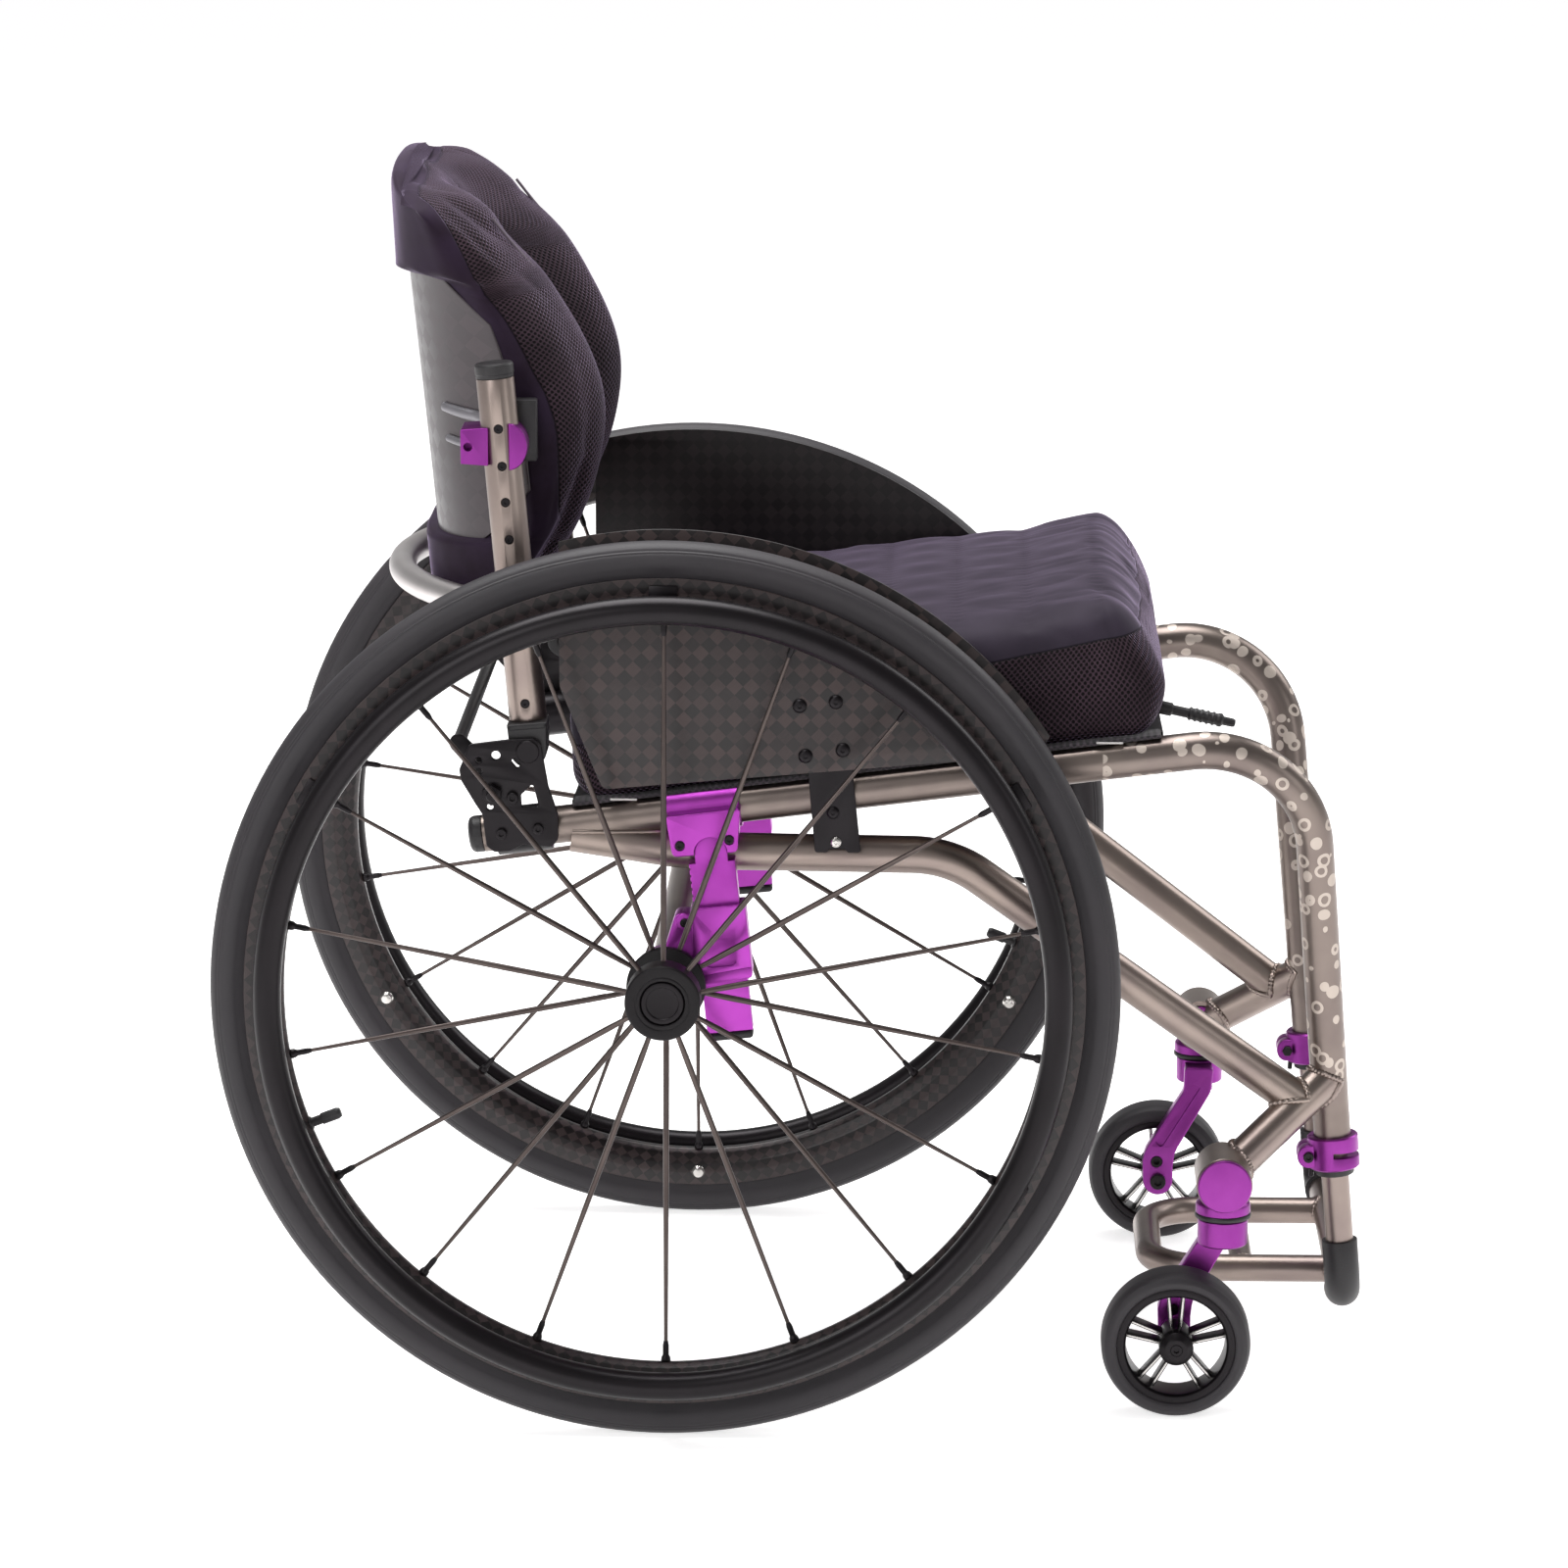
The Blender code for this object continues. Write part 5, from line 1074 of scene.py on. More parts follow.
foot = {"radius": 0.009525, "top": 0.194, "z": 0.0615, "bend": 0.022, "sleeve": 0.01225, "sleeveTop": 0.1026,
        "loopHalf": 0.073, "loopRear": 0.3325, "loopZ": 0.06, "strutX": 0.397, "strut": 0.008}


def footRoute():
    corners = [legPoint(z, side) for side, z in ((-1, foot["top"]), (-1, foot["z"]), (1, foot["z"]), (1, foot["top"]))]
    return bentRoute(corners, (foot["bend"], foot["bend"]))


def sleevePiece(side):
    route = footRoute() if side < 0 else footRoute()[::-1]
    corner = [point for point in route if point.y * side > 0 and point.z < foot["z"] + 1.1 * foot["bend"]]
    return bevelled(tubeOf([legPoint(foot["sleeveTop"], side)] + corner, foot["sleeve"], 40), 0.0007, 2, 60)


def loopPiece():
    front, half, z = legX(foot["z"]), foot["loopHalf"], foot["loopZ"]
    corners = [(front, -half, z), (foot["loopRear"], -half, z), (foot["loopRear"], half, z), (front, half, z)]
    pieces = [tubeOf(bentRoute(corners, (0.04, 0.04)), foot["radius"], 36),
              rodOf((foot["strutX"], -half, z), (foot["strutX"], half, z), foot["strut"], 36)]
    for side, _ in sides:
        pieces.append(weldBead(weldLoop((foot["loopRear"], side * half, z), (1, 0, 0), foot["radius"],
                                        (front, 0, foot["z"]), (0, 1, 0), foot["radius"], 56), 0.0016))
        pieces.append(weldBead(weldLoop((foot["strutX"], 0, z), (0, side, 0), foot["strut"],
                                        (foot["strutX"], side * half, z), (1, 0, 0), foot["radius"], 48), 0.0014))
    return mergedInto("footLoop", pieces)


def makeFootrest():
    settled(tubeOf(footRoute(), foot["radius"], 36), "footTube", "footrest", "titanium", "footrest_tube")
    settled(loopPiece(), "footLoop", "footrest", "titanium", "footrest_loop")
    settledPairs(((sleevePiece, "cornerSleeve", "footrest", "black_plastic", "nylon", "corner_sleeve"),))
    print("footrest made")


makeFrame()
makeCasters()
makeFootrest()


# Rear axle group: the saddle on the seat tube carries the post, whose collar holds the camber tube

axleGroup = {
    "plane": 0.208,
    "saddleRadius": 0.0152,
    "saddleRear": -0.0009,
    "saddleFront": 0.0484,
    "saddleFace": 0.2255,
    "postFace": 0.2225,
    "postBottom": (0.0422, 0.2677),
    "lean": 0.103,
    "half": 0.0155,
    "length": 0.118,
    "archRadius": 0.011,
    "archRise": 0.0065,
    "collarIn": 0.2055,
    "collarOut": 0.229,
    "collarHalf": 0.0195,
    "collarLow": 0.0335,
    "collarHigh": 0.0885,
    "ring": 0.0215,
    "tubeEnd": 0.2285,
    "screws": ((0.0088, 0.3968), (0.0419, 0.4011)),
    "ear": (0.0118, 0.3445),
}
axleGroup["tubeZ"] = wheel["hubZ"] - (wheel["out"] - axleGroup["tubeEnd"]) * tan(wheel["camber"])


def postPlace(u, v):
    lean, (x, z) = axleGroup["lean"], axleGroup["postBottom"]
    length = sqrt(1 + lean ** 2)
    return (x + (u - lean * v) / length, z + (v + lean * u) / length)


def postFrame():
    # local X across the post, local Z up along it
    lean, (x, z) = axleGroup["lean"], axleGroup["postBottom"]
    length = sqrt(1 + lean ** 2)
    return Matrix(((1 / length, 0, -lean / length, x), (0, 1, 0, 0), (lean / length, 0, 1 / length, z), (0, 0, 0, 1)))


def archLoop(gap=0.0):
    half, radius, top = axleGroup["half"] + gap, axleGroup["archRadius"] + gap, axleGroup["length"] + gap
    head = arcLoop(0, axleGroup["length"] + axleGroup["archRise"], radius, 0, 180, 20)
    corners = [(-half, 0), (half, 0), (half, top), (radius, top), *head, (-radius, top), (-half, top)]
    return [postPlace(u, v) for u, v in corners]


def frontChamfer(edge, face, side, size=0.0034):
    # a long cutter that takes the front outboard corner off
    cutter = blockOf((-size, -0.02, -0.01), (size, 0.02, 0.14))
    lean = Matrix.Translation((edge, side * face, 0)) @ Matrix.Rotation(side * radians(52), 4, "Z")
    return placed(cutter, postFrame() @ lean @ Matrix.Translation((size + 0.0012, 0, 0)))


def postPiece(side):
    half = axleGroup["half"]
    body = slabOf(archLoop(), side * axleGroup["plane"], side * axleGroup["postFace"], 0.0005)
    cutters = [frontChamfer(half, axleGroup["postFace"], side)]
    for i in range(6):
        v = 0.0905 + 0.0046 * i
        nick = blockOf((-half - 0.002, side * 0.19, v), (-half + 0.0007, side * 0.24, v + 0.0018))
        cutters.append(placed(nick, postFrame()))
    return carved(body, cutters)


def postCap(side):
    half = axleGroup["half"] - 0.0002
    cap = blockOf((-half, side * (axleGroup["plane"] + 0.0003), -0.0062),
                  (half, side * (axleGroup["postFace"] - 0.0003), -0.0001), 0.0024, 3)
    return placed(cap, postFrame())


def saddlePiece(side):
    rear, front, face = axleGroup["saddleRear"], axleGroup["saddleFront"], side * axleGroup["saddleFace"]
    start, end = seatPoint(rear, side), seatPoint(front, side)
    length, outer = (end - start).length, axleGroup["saddleRadius"]
    ring = turnedOf([(0, 0), (outer - 0.0006, 0), (outer, 0.0006), (outer, length - 0.0006),
                     (outer - 0.0006, length), (0, length)], 96, start, end - start)
    skirt = roundedLoop(((rear, seatZ(rear) + 0.003), (rear + 0.0047, 0.3885), (0.0475, 0.3925),
                         (front + 0.001, seatZ(front) + 0.003)), (0.0015, 0.004, 0.004, 0.0015))
    skirt = slabOf(skirt, side * tubes["seatHalf"], face, 0.0012, rounds=3)
    body = carved(ring, [skirt], "UNION")
    seat = tubeOf([seatPoint(rear - 0.05, side), seatPoint(front + 0.05, side)], 0.0129, 64)
    rail = tubeOf(railRoute(side), 0.013, 64)
    head = slabOf(archLoop(0.0004), side * (axleGroup["plane"] - 0.05), side * 0.3, 0.0)
    body = carved(body, [seat, rail, head])
    wells = [cutterOf((x, face - side * 0.0022, z), (x, face + side * 0.01, z), 0.0037)
             for x, z in axleGroup["screws"]]
    return bevelled(carved(body, wells), 0.0005, 2, 55)


def collarPiece(side):
    half, low, high, tubeZ = (axleGroup[key] for key in ("collarHalf", "collarLow", "collarHigh", "tubeZ"))
    inside, outside = side * axleGroup["collarIn"], side * axleGroup["collarOut"]
    corners = [postPlace(*spot) for spot in ((-half, low), (half, low + 0.004), (half, high), (-half + 0.002, high))]
    body = slabOf(roundedLoop(corners, (0.003, 0.003, 0.0015, 0.0015)), inside, outside, 0.0008)
    ring = slabOf(ringLoop(0, tubeZ, axleGroup["ring"], 72), inside, side * axleGroup["tubeEnd"], 0.001)
    web = roundedLoop(((-0.004, 0.318), (0.026, 0.305), (0.026, 0.35), (0.006, 0.3505)), 0.005)
    web = slabOf(web, inside, outside - side * 0.003, 0.0008)
    ear = ringLoop(*axleGroup["ear"], 0.0062, 40)
    ear = slabOf(ear, inside + side * 0.004, outside - side * 0.0016, 0.0008)
    body = carved(body, [ring, web, ear], "UNION")
    post = slabOf(archLoop(0.0003), side * (axleGroup["plane"] - 0.0003), side * (axleGroup["postFace"] + 0.0003), 0.0)
    hole = cutterOf((0, side * 0.19, tubeZ), (0, side * 0.25, tubeZ), 0.0129, 64)
    window = [postPlace(*spot) for spot in ((-0.011, 0.047), (0.0095, 0.047), (0.0095, 0.067), (-0.011, 0.067))]
    window = slabOf(roundedLoop(window, 0.004), outside - side * 0.0022, outside + side * 0.01, 0.0)
    wide = half + 0.01
    joint = [postPlace(*spot) for spot in ((-wide, 0.0405), (wide, 0.0455), (wide, 0.0461), (-wide, 0.0411))]
    joint = slabOf(joint, outside - side * 0.0007, outside + side * 0.01, 0.0)
    body = carved(body, [post, hole, window, joint, frontChamfer(half, axleGroup["collarOut"], side, 0.004)])
    return bevelled(body, 0.0005, 2, 55)


def camberPiece():
    end, z = axleGroup["tubeEnd"], axleGroup["tubeZ"]
    return rodOf((0, -end, z), (0, end, z), 0.0127, 64, edge=0.0008)


def axlePiece(side):
    # the sleeve that the quick-release axle passes through, and the axle's shoulder beside the hub
    start, inner = 0.0285, hubShape["innerEnd"]
    profile = [(0, start), (0.006, start), (0.006, inner - 0.0016), (0.0094, inner - 0.0018),
               (0.0094, -0.085), (0, -0.085)]
    return placed(turnedOf(softProfile(profile, 0.0005), 56), wheelPlace(side))


def saddleScrews(side):
    face, ear = axleGroup["saddleFace"] - 0.0022, axleGroup["ear"]
    spots = [((x, side * face, z), (0, side, 0), 0.0031) for x, z in axleGroup["screws"]]
    spots.append(((ear[0], side * (axleGroup["collarOut"] - 0.002), ear[1]), (0, side, 0), 0.003))
    return screwsOf("socket", spots)


def makeAxleGroup():
    settledPairs(((postPiece, "axlePost", "frame", "purple", "purple", "axle_post"),
                  (postCap, "postCap", "frame", "black_plastic", "nylon", ""),
                  (saddlePiece, "axleSaddle", "frame", "purple", "purple", "axle_clamp"),
                  (collarPiece, "axleCollar", "frame", "purple", "purple", "axle_collar"),
                  (axlePiece, "axleSleeve", "frame", "spokes", "spoke", "axle_pin"),
                  (saddleScrews, "saddleScrews", "frame", "black_metal", "black", "")))
    settled(camberPiece(), "camberTube", "frame", "titanium", "camber_tube")
    print("axle group made")


# Side guards: 2 mm carbon plates whose top follows the tyre, each on a bracket

guard = {"inner": 0.2113, "thick": 0.002, "radius": 0.3055, "rear": -0.072, "bracketOut": 0.211}


def flatUv(piece, across=0, up=2):
    # UVs in metres, as seen square on
    while piece.data.uv_layers:
        piece.data.uv_layers.remove(piece.data.uv_layers[0])
    layer = piece.data.uv_layers.new(name="weave").data
    for loop in piece.data.loops:
        place = piece.data.vertices[loop.vertex_index].co
        layer[loop.index].uv = (place[across], place[up])
    return piece


def guardPiece(side):
    reach, rear = guard["radius"], guard["rear"]
    first = 90 + 57.2958 * atan(-rear / sqrt(reach ** 2 - rear ** 2))
    outline = arcLoop(0, wheel["hubZ"], reach, 33.0, first, 60)
    outline += roundedLoop([outline[-1], (rear, 0.503), (-0.0435, 0.4325), (0.1998, 0.4535), (0.25, 0.459),
                            outline[0]], (0, 0.012, 0.006, 0.06, 0.02, 0))[1:-1]
    body = slabOf(outline, side * guard["inner"], side * (guard["inner"] + guard["thick"]), 0.0003)
    return flatUv(body)


def guardBracket(side):
    corners = ((0.087, 0.5), (0.1225, 0.503), (0.1245, 0.443), (0.13, 0.3895), (0.1212, 0.3895),
               (0.119, 0.392), (0.109, 0.392), (0.107, 0.3895), (0.099, 0.3895), (0.0945, 0.443))
    outline = roundedLoop(corners, (0.004, 0.004, 0.02, 0.002, 0.001, 0.001, 0.001, 0.001, 0.002, 0.02))
    return slabOf(outline, side * axleGroup["plane"], side * guard["bracketOut"], 0.0006)


def guardScrews(side):
    outer, inner = guard["inner"] + guard["thick"], axleGroup["plane"] - 0.0001
    spots = [((x, side * outer, z), (0, side, 0), 0.0048)
             for x, z in ((0.0888, 0.4906), (0.113, 0.4934), (0.0927, 0.4564), (0.1177, 0.4606))]
    spots.append(((0.1112, side * guard["bracketOut"], 0.4171), (0, side, 0), 0.0042))
    spots += [((x, side * inner, z), (0, -side, 0), 0.0038) for x, z in ((0.098, 0.4906), (0.113, 0.4934))]
    return screwsOf("dome", spots)


def brightScrew(side):
    return screwsOf("dome", [((0.1132, side * guard["bracketOut"], 0.3968), (0, side, 0), 0.0036)])


def makeGuards():
    settledPairs(((guardPiece, "sideGuard", "frame", "carbon", "carbon darkCarbon", "side_guard"),
                  (guardBracket, "guardBracket", "frame", "black_metal", "black", "guard_bracket"),
                  (guardScrews, "guardScrews", "frame", "black_metal", "black", ""),
                  (brightScrew, "brightScrew", "frame", "spokes", "steel", "")))
    # each plate's outer face shows the paler weave; its inner face and edges take the darker copy, painted shade for
    # the side that stands in shade
    for side, mark in sides:
        for polygon in bpy.data.objects["sideGuard" + mark].data.polygons:
            polygon.material_index = int(polygon.normal.y * side < 0.5)
    print("guards made")


# Soft goods

def sheetThrough(rows):
    # a sheet of quads through rows of points, with UVs in metres along it
    count, columns = len(rows), len(rows[0])
    piece = started(bpy.ops.mesh.primitive_grid_add, x_subdivisions=columns - 1, y_subdivisions=count - 1, size=2)
    spots = []
    for vertex in piece.data.vertices:
        column = round((vertex.co.x + 1) / 2 * (columns - 1))
        row = round((vertex.co.y + 1) / 2 * (count - 1))
        spots.append((row, column))
    along = [[0.0] * columns for _ in rows]
    for i, row in enumerate(rows):
        for j in range(1, columns):
            along[i][j] = along[i][j - 1] + (Vector(row[j]) - Vector(row[j - 1])).length
    middle = columns // 2
    down = [0.0]
    for before, after in zip(rows, rows[1:]):
        down.append(down[-1] + max((Vector(after[j]) - Vector(before[j])).length for j in range(0, columns, 4)))
    for vertex, (row, column) in zip(piece.data.vertices, spots):
        vertex.co = rows[row][column]
    layer = piece.data.uv_layers[0]
    layer.name = "weave"
    for loop in piece.data.loops:
        row, column = spots[loop.vertex_index]
        layer.data[loop.index].uv = (along[row][column] - along[row][middle], down[row])
    return piece


def evenly(points, count, closed=False):
    # the same line as evenly spaced points, rounded between them
    points = [Vector(point) for point in points]
    size = len(points)
    fine = []
    spans = size if closed else size - 1
    for i in range(spans):
        if closed:
            p0, p1, p2, p3 = points[i - 1], points[i], points[(i + 1) % size], points[(i + 2) % size]
        else:
            p0, p1, p2, p3 = points[max(i - 1, 0)], points[i], points[i + 1], points[min(i + 2, size - 1)]
        for j in range(12):
            t = j / 12
            fine.append(0.5 * (2 * p1 + (p2 - p0) * t + (2 * p0 - 5 * p1 + 4 * p2 - p3) * t ** 2
                               + (3 * p1 - p0 - 3 * p2 + p3) * t ** 3))
    fine.append(fine[0].copy() if closed else points[-1])
    lengths = [0.0]
    for before, after in zip(fine, fine[1:]):
        lengths.append(lengths[-1] + (after - before).length)
    result, k = [], 0
    for i in range(count):
        target = lengths[-1] * i / (count - 1)
        while k < len(lengths) - 2 and lengths[k + 1] < target:
            k += 1
        span = lengths[k + 1] - lengths[k]
        result.append(fine[k].lerp(fine[k + 1], (target - lengths[k]) / span if span else 0))
    return result


def inflated(piece, pressure, cap, pinned=None):
    # fills a cover: the cloth is pushed out from inside, settles in 20 frames, and moves no further than the cap
    before = [vertex.co.copy() for vertex in piece.data.vertices]
    activate(piece)
    cloth = piece.modifiers.new("fill", "CLOTH")
    cloth.settings.quality = 5
    cloth.settings.mass = 0.3
    cloth.settings.tension_stiffness = 12
    cloth.settings.compression_stiffness = 8
    cloth.settings.shear_stiffness = 5
    cloth.settings.bending_stiffness = 0.4
    cloth.settings.use_pressure = True
    cloth.settings.uniform_pressure_force = pressure
    cloth.settings.effector_weights.gravity = 0
    cloth.collision_settings.use_collision = False
    if pinned:
        group = piece.vertex_groups.new(name="sewn")
        group.add(pinned, 1.0, "REPLACE")
        cloth.settings.vertex_group_mass = "sewn"
    scene = bpy.context.scene
    for number in range(1, 21):
        scene.frame_set(number)
    bpy.ops.object.modifier_apply(modifier=cloth.name)
    scene.frame_set(1)
    for vertex, old in zip(piece.data.vertices, before):
        move = vertex.co - old
        if move.length > cap:
            vertex.co = old + move * (cap / move.length)
    return piece


seat = {
    "slingHalf": 0.1818,
    "slingFront": 0.333,
    "slingRear": -0.066,
    "sag": 0.006,
    "front": 0.342,
    "rear": -0.07,
    "half": 0.2025,
    "height": 0.088,
}


def slingPiece():
    rows = []
    for thickness in (1, -1):
        for i in range(25):
            x = seat["slingRear"] + (seat["slingFront"] - seat["slingRear"]) * (i if thickness > 0 else 24 - i) / 24
            row = []
            for j in range(33):
                share = j / 16 - 1
                drop = seat["sag"] * (1 - share ** 2)
                top = seatZ(x) + tubes["radius"] - 0.002
                row.append((x, share * seat["slingHalf"], top - drop + 0.0019 * thickness))
            rows.append(row)
    rows.append(rows[0])
    piece = sheetThrough(rows)
    activate(piece)
    bpy.ops.object.mode_set(mode="EDIT")
    bpy.ops.mesh.select_all(action="SELECT")
    bpy.ops.mesh.remove_doubles(threshold=0.00001)
    bpy.ops.mesh.fill_holes(sides=0)
    bpy.ops.mesh.select_all(action="SELECT")
    bpy.ops.mesh.normals_make_consistent(inside=False)
    bpy.ops.object.mode_set(mode="OBJECT")
    return piece


def slingEdge(side):
    # the hem that wraps the seat tube's inboard top; hemTabs makes its flat tabs
    start, end = (Vector((x, side * (tubes["seatHalf"] - 0.002), seatZ(x) + tubes["radius"] + 0.0016))
                  for x in (seat["slingRear"] + 0.002, seat["slingFront"] - 0.002))
    band = blockOf((0, -0.0105, -0.0014), ((end - start).length, 0.0105, 0.0014), 0.001)
    return placed(band, Matrix.Translation(start) @ (end - start).to_track_quat("X", "Z").to_matrix().to_4x4())


def hemTabs(side):
    tabs = []
    for x in (0.2965, -0.03):
        tab = blockOf((x - 0.009, -0.0035, -0.0006), (x + 0.009, 0.0035, 0.0006), 0.0003)
        spot = (0, side * (tubes["seatHalf"] + 0.0062), seatZ(x) + tubes["radius"] + 0.0012)
        tabs.append(placed(tab, Matrix.Translation(spot)))
    return mergedInto("tabs", tabs)


def cushionRing(x, draw, count=140):
    # the cushion's outline across the chair: a sloping side that bulges low down, and a flat crowned top
    base = seatZ(x) + tubes["radius"] - 0.0022
    half, height = seat["half"] * (1 - 0.1 * draw), seat["height"]
    low, high = 0.5 * draw * height * 0.5, height * (1 - 0.16 * draw)
    side = [(0.3, low - 0.0035 * (1 - draw)), (0.62, low - 0.0022), (0.9, low), (0.985, low + 0.09 * (high - low)),
            (1.0, low + 0.32 * (high - low)), (0.992, low + 0.62 * (high - low)), (0.974, low + 0.85 * (high - low)),
            (0.942, low + 0.965 * (high - low)), (0.885, high), (0.72, high + 0.0015), (0.5, high + 0.0035),
            (0.22, high + 0.005)]
    outline = [(0.0, low - 0.0036)] + side + [(0.0, high + 0.0055)] + [(-y, z) for y, z in side[::-1]]
    return evenly([(x, share * half, base + rise) for share, rise in outline], count, closed=True)


def cushionPiece():
    rows = []
    front, rear = seat["front"], seat["rear"]
    depth = 0.024
    stations = [(rear + depth * (1 - cos(pi / 2 * i / 6)), 1 - sin(pi / 2 * i / 6)) for i in range(7)]
    count = 66
    for i in range(1, count):
        stations.append((rear + depth + (front - rear - 2 * depth) * i / count, 0.0))
    stations += [(front - depth * (1 - sin(pi / 2 * i / 6)), 1 - cos(pi / 2 * i / 6)) for i in range(7)]
    rings = [cushionRing(x, draw) for x, draw in stations]
    for ring in (rings[0], rings[-1]):
        centre = sum(ring[:-1], Vector()) / (len(ring) - 1)
        flat = [[centre + Vector((0, (p.y - centre.y) * share, (p.z - centre.z) * share)) for p in ring]
                for share in (0.93, 0.82, 0.66, 0.46, 0.24, 0.0)]
        if ring is rings[0]:
            rows = flat[::-1] + rows
        else:
            rows += flat
        if ring is rings[0]:
            rows += rings
    piece = sheetThrough(rows)
    for vertex in piece.data.vertices:
        # the front bulges low down and leans back to its top edge; the rear corners clear the canes when they fold
        x, rise = vertex.co.x, (vertex.co.z - seatZ(vertex.co.x) - tubes["radius"]) / seat["height"]
        near = max(0.0, (x - 0.24) / 0.1)
        vertex.co.x -= near ** 2 * (0.004 + 0.06 * max(0.0, rise - 0.38) ** 1.3 + 0.012 * max(0.0, 0.3 - rise))
        vertex.co.z += 0.004 * min(1.0, near) * max(0.0, rise)
        shoulder = clamped((abs(vertex.co.y) - 0.17) / 0.03)
        vertex.co.z -= 0.018 * shoulder * max(0.0, rise) * clamped((0.02 - x) / 0.04)
        vertex.co.y *= 1 - 0.035 * clamped((-0.025 - x) / 0.035)
    return cleaned(piece, 0.00002)


def coverAttribute(piece, distance):
    # signed distance from the seam in metres, positive on the smooth side
    values = [distance(vertex.co) for vertex in piece.data.vertices]
    piece.data.attributes.new("cover", "FLOAT", "POINT").data.foreach_set("value", values)
    return piece


def seatCover(place):
    # smooth down to a straight hem that drops toward the rear; mesh below it and on the front
    rise = (place.z - seatZ(place.x) - tubes["radius"]) / seat["height"]
    hem = 0.71 + 1.03 * (place.x - 0.204)
    return min((rise - hem) * seat["height"], seat["front"] - 0.011 - place.x)


def wrinkled(piece):
    # air cells under the stretch cover: soft bumps in rows, short puckers between them and long folds to the front
    normals = [vertex.normal.copy() for vertex in piece.data.vertices]
    for vertex, normal in zip(piece.data.vertices, normals):
        place = vertex.co
        base = seatZ(place.x) + tubes["radius"]
        rise = (place.z - base) / seat["height"]
        if rise < 0.45:
            continue
        top = clamped((rise - 0.62) / 0.25)
        cellX, cellY = (place.x + 0.02) / 0.0475, place.y / 0.0485 + 0.5
        bump = (0.5 + 0.5 * cos(2 * pi * cellX)) * (0.5 + 0.5 * cos(2 * pi * cellY))
        middle = Vector((place.x, place.y, 0))
        drift = noise.noise(middle * 9) * 0.6
        fan = (place.y + 0.16) * (1 + 1.6 * max(0.0, 0.3 - place.x))
        fold = abs(noise.noise(Vector((place.x * 5 + drift * 2, fan * 34 + drift, 3.1))))
        fold = max(0.0, 1 - fold / 0.12)
        nearFront = clamped((place.x - 0.12) / 0.2)
        pucker = max(0.0, cos(2 * pi * (cellX + 0.5))) ** 6 * abs(sin(2 * pi * cellY * 2.5))
        move = 0.0012 * bump - 0.0008 * fold * (0.1 + 0.75 * nearFront) - 0.001 * pucker
        side = 1 - top
        scallop = 0.0014 * (0.5 + 0.5 * cos(2 * pi * cellX)) * side
        vertex.co = place + normal * (move * top + scallop * min(1.0, (rise - 0.45) / 0.15))
    return piece


def valvePlace(length):
    start = Vector((0.338, -0.16, seatZ(0.338) + tubes["radius"] + 0.0105))
    return start + Vector((1, 0, -0.215)).normalized() * length


def cushionValve():
    profile = [(0, 0.0455), (0.0024, 0.045), (0.0029, 0.0435), (0.003, 0.037), (0.0046, 0.0355)]
    for rib in (0.0335, 0.0295, 0.0255, 0.0215, 0.0175):
        profile += [(0.0047, rib), (0.004, rib - 0.001), (0.004, rib - 0.0022), (0.0047, rib - 0.0032)]
    profile += [(0.0046, 0.0135), (0.0034, 0.0125), (0.0034, 0.002), (0.0046, 0.001), (0.0046, -0.022), (0, -0.022)]
    return turnedOf(softProfile(profile, 0.0003), 32, valvePlace(0), valvePlace(1) - valvePlace(0))


def makeSeat():
    settled(slingPiece(), "seatSling", "frame", "nylon", "seat_sling", 40)
    settledPairs(((slingEdge, "slingHem", "frame", "cushion", "mesh", ""),
                  (hemTabs, "hemTabs", "frame", "cushion", "white", "")))
    for _, mark in sides:
        flatUv(bpy.data.objects["slingHem" + mark])
    cushion = wrinkled(subdivided(inflated(cushionPiece(), 3.0, 0.004)))
    coverAttribute(cushion, seatCover)
    settled(cushion, "seatCushion", "frame", "seatCover", "seat_cushion", 60)
    settled(cushionValve(), "inflationValve", "frame", "nylon", "inflation_valve")
    print("seat made")


makeAxleGroup()
makeGuards()
makeSeat()


# Back: canes that fold on the brackets' pins, the shell between them and the deep cushion on it

back = {
    "pivot": (-0.0937, 0.4579),
    "caneOut": 0.19,
    "caneFoot": (-0.0948, 0.4765),
    "caneLean": 0.0867,
    "caneTop": 0.708,
    "caneHoles": (0.6751, 0.65, 0.6256, 0.6004, 0.4889),
    "capLength": 0.01,
    "eye": 0.0125,
    "blockIn": 0.1785,
    "blockOut": 0.2075,
    "bracketOut": 0.212,
    "releasePivot": (-0.118, 0.4287),
    "releaseBar": (-0.1432, 0.4557),
    "releaseArm": 0.1715,
    "bowZ": 0.5505,
    "bowDepth": 0.089,
    "shellHalf": 0.166,
    "shellThick": 0.003,
    "shellLow": 0.56,
    "shellHigh": 0.8,
    "openLow": 0.5858,
    "openHigh": 0.7636,
    "wrap": 0.009,
    "mountZ": 0.6655,
    "mountX": (-0.1375, -0.093),
}


def canePoint(z, side):
    footX, footZ = back["caneFoot"]
    return Vector((footX - back["caneLean"] * (z - footZ), side * back["caneOut"], z))


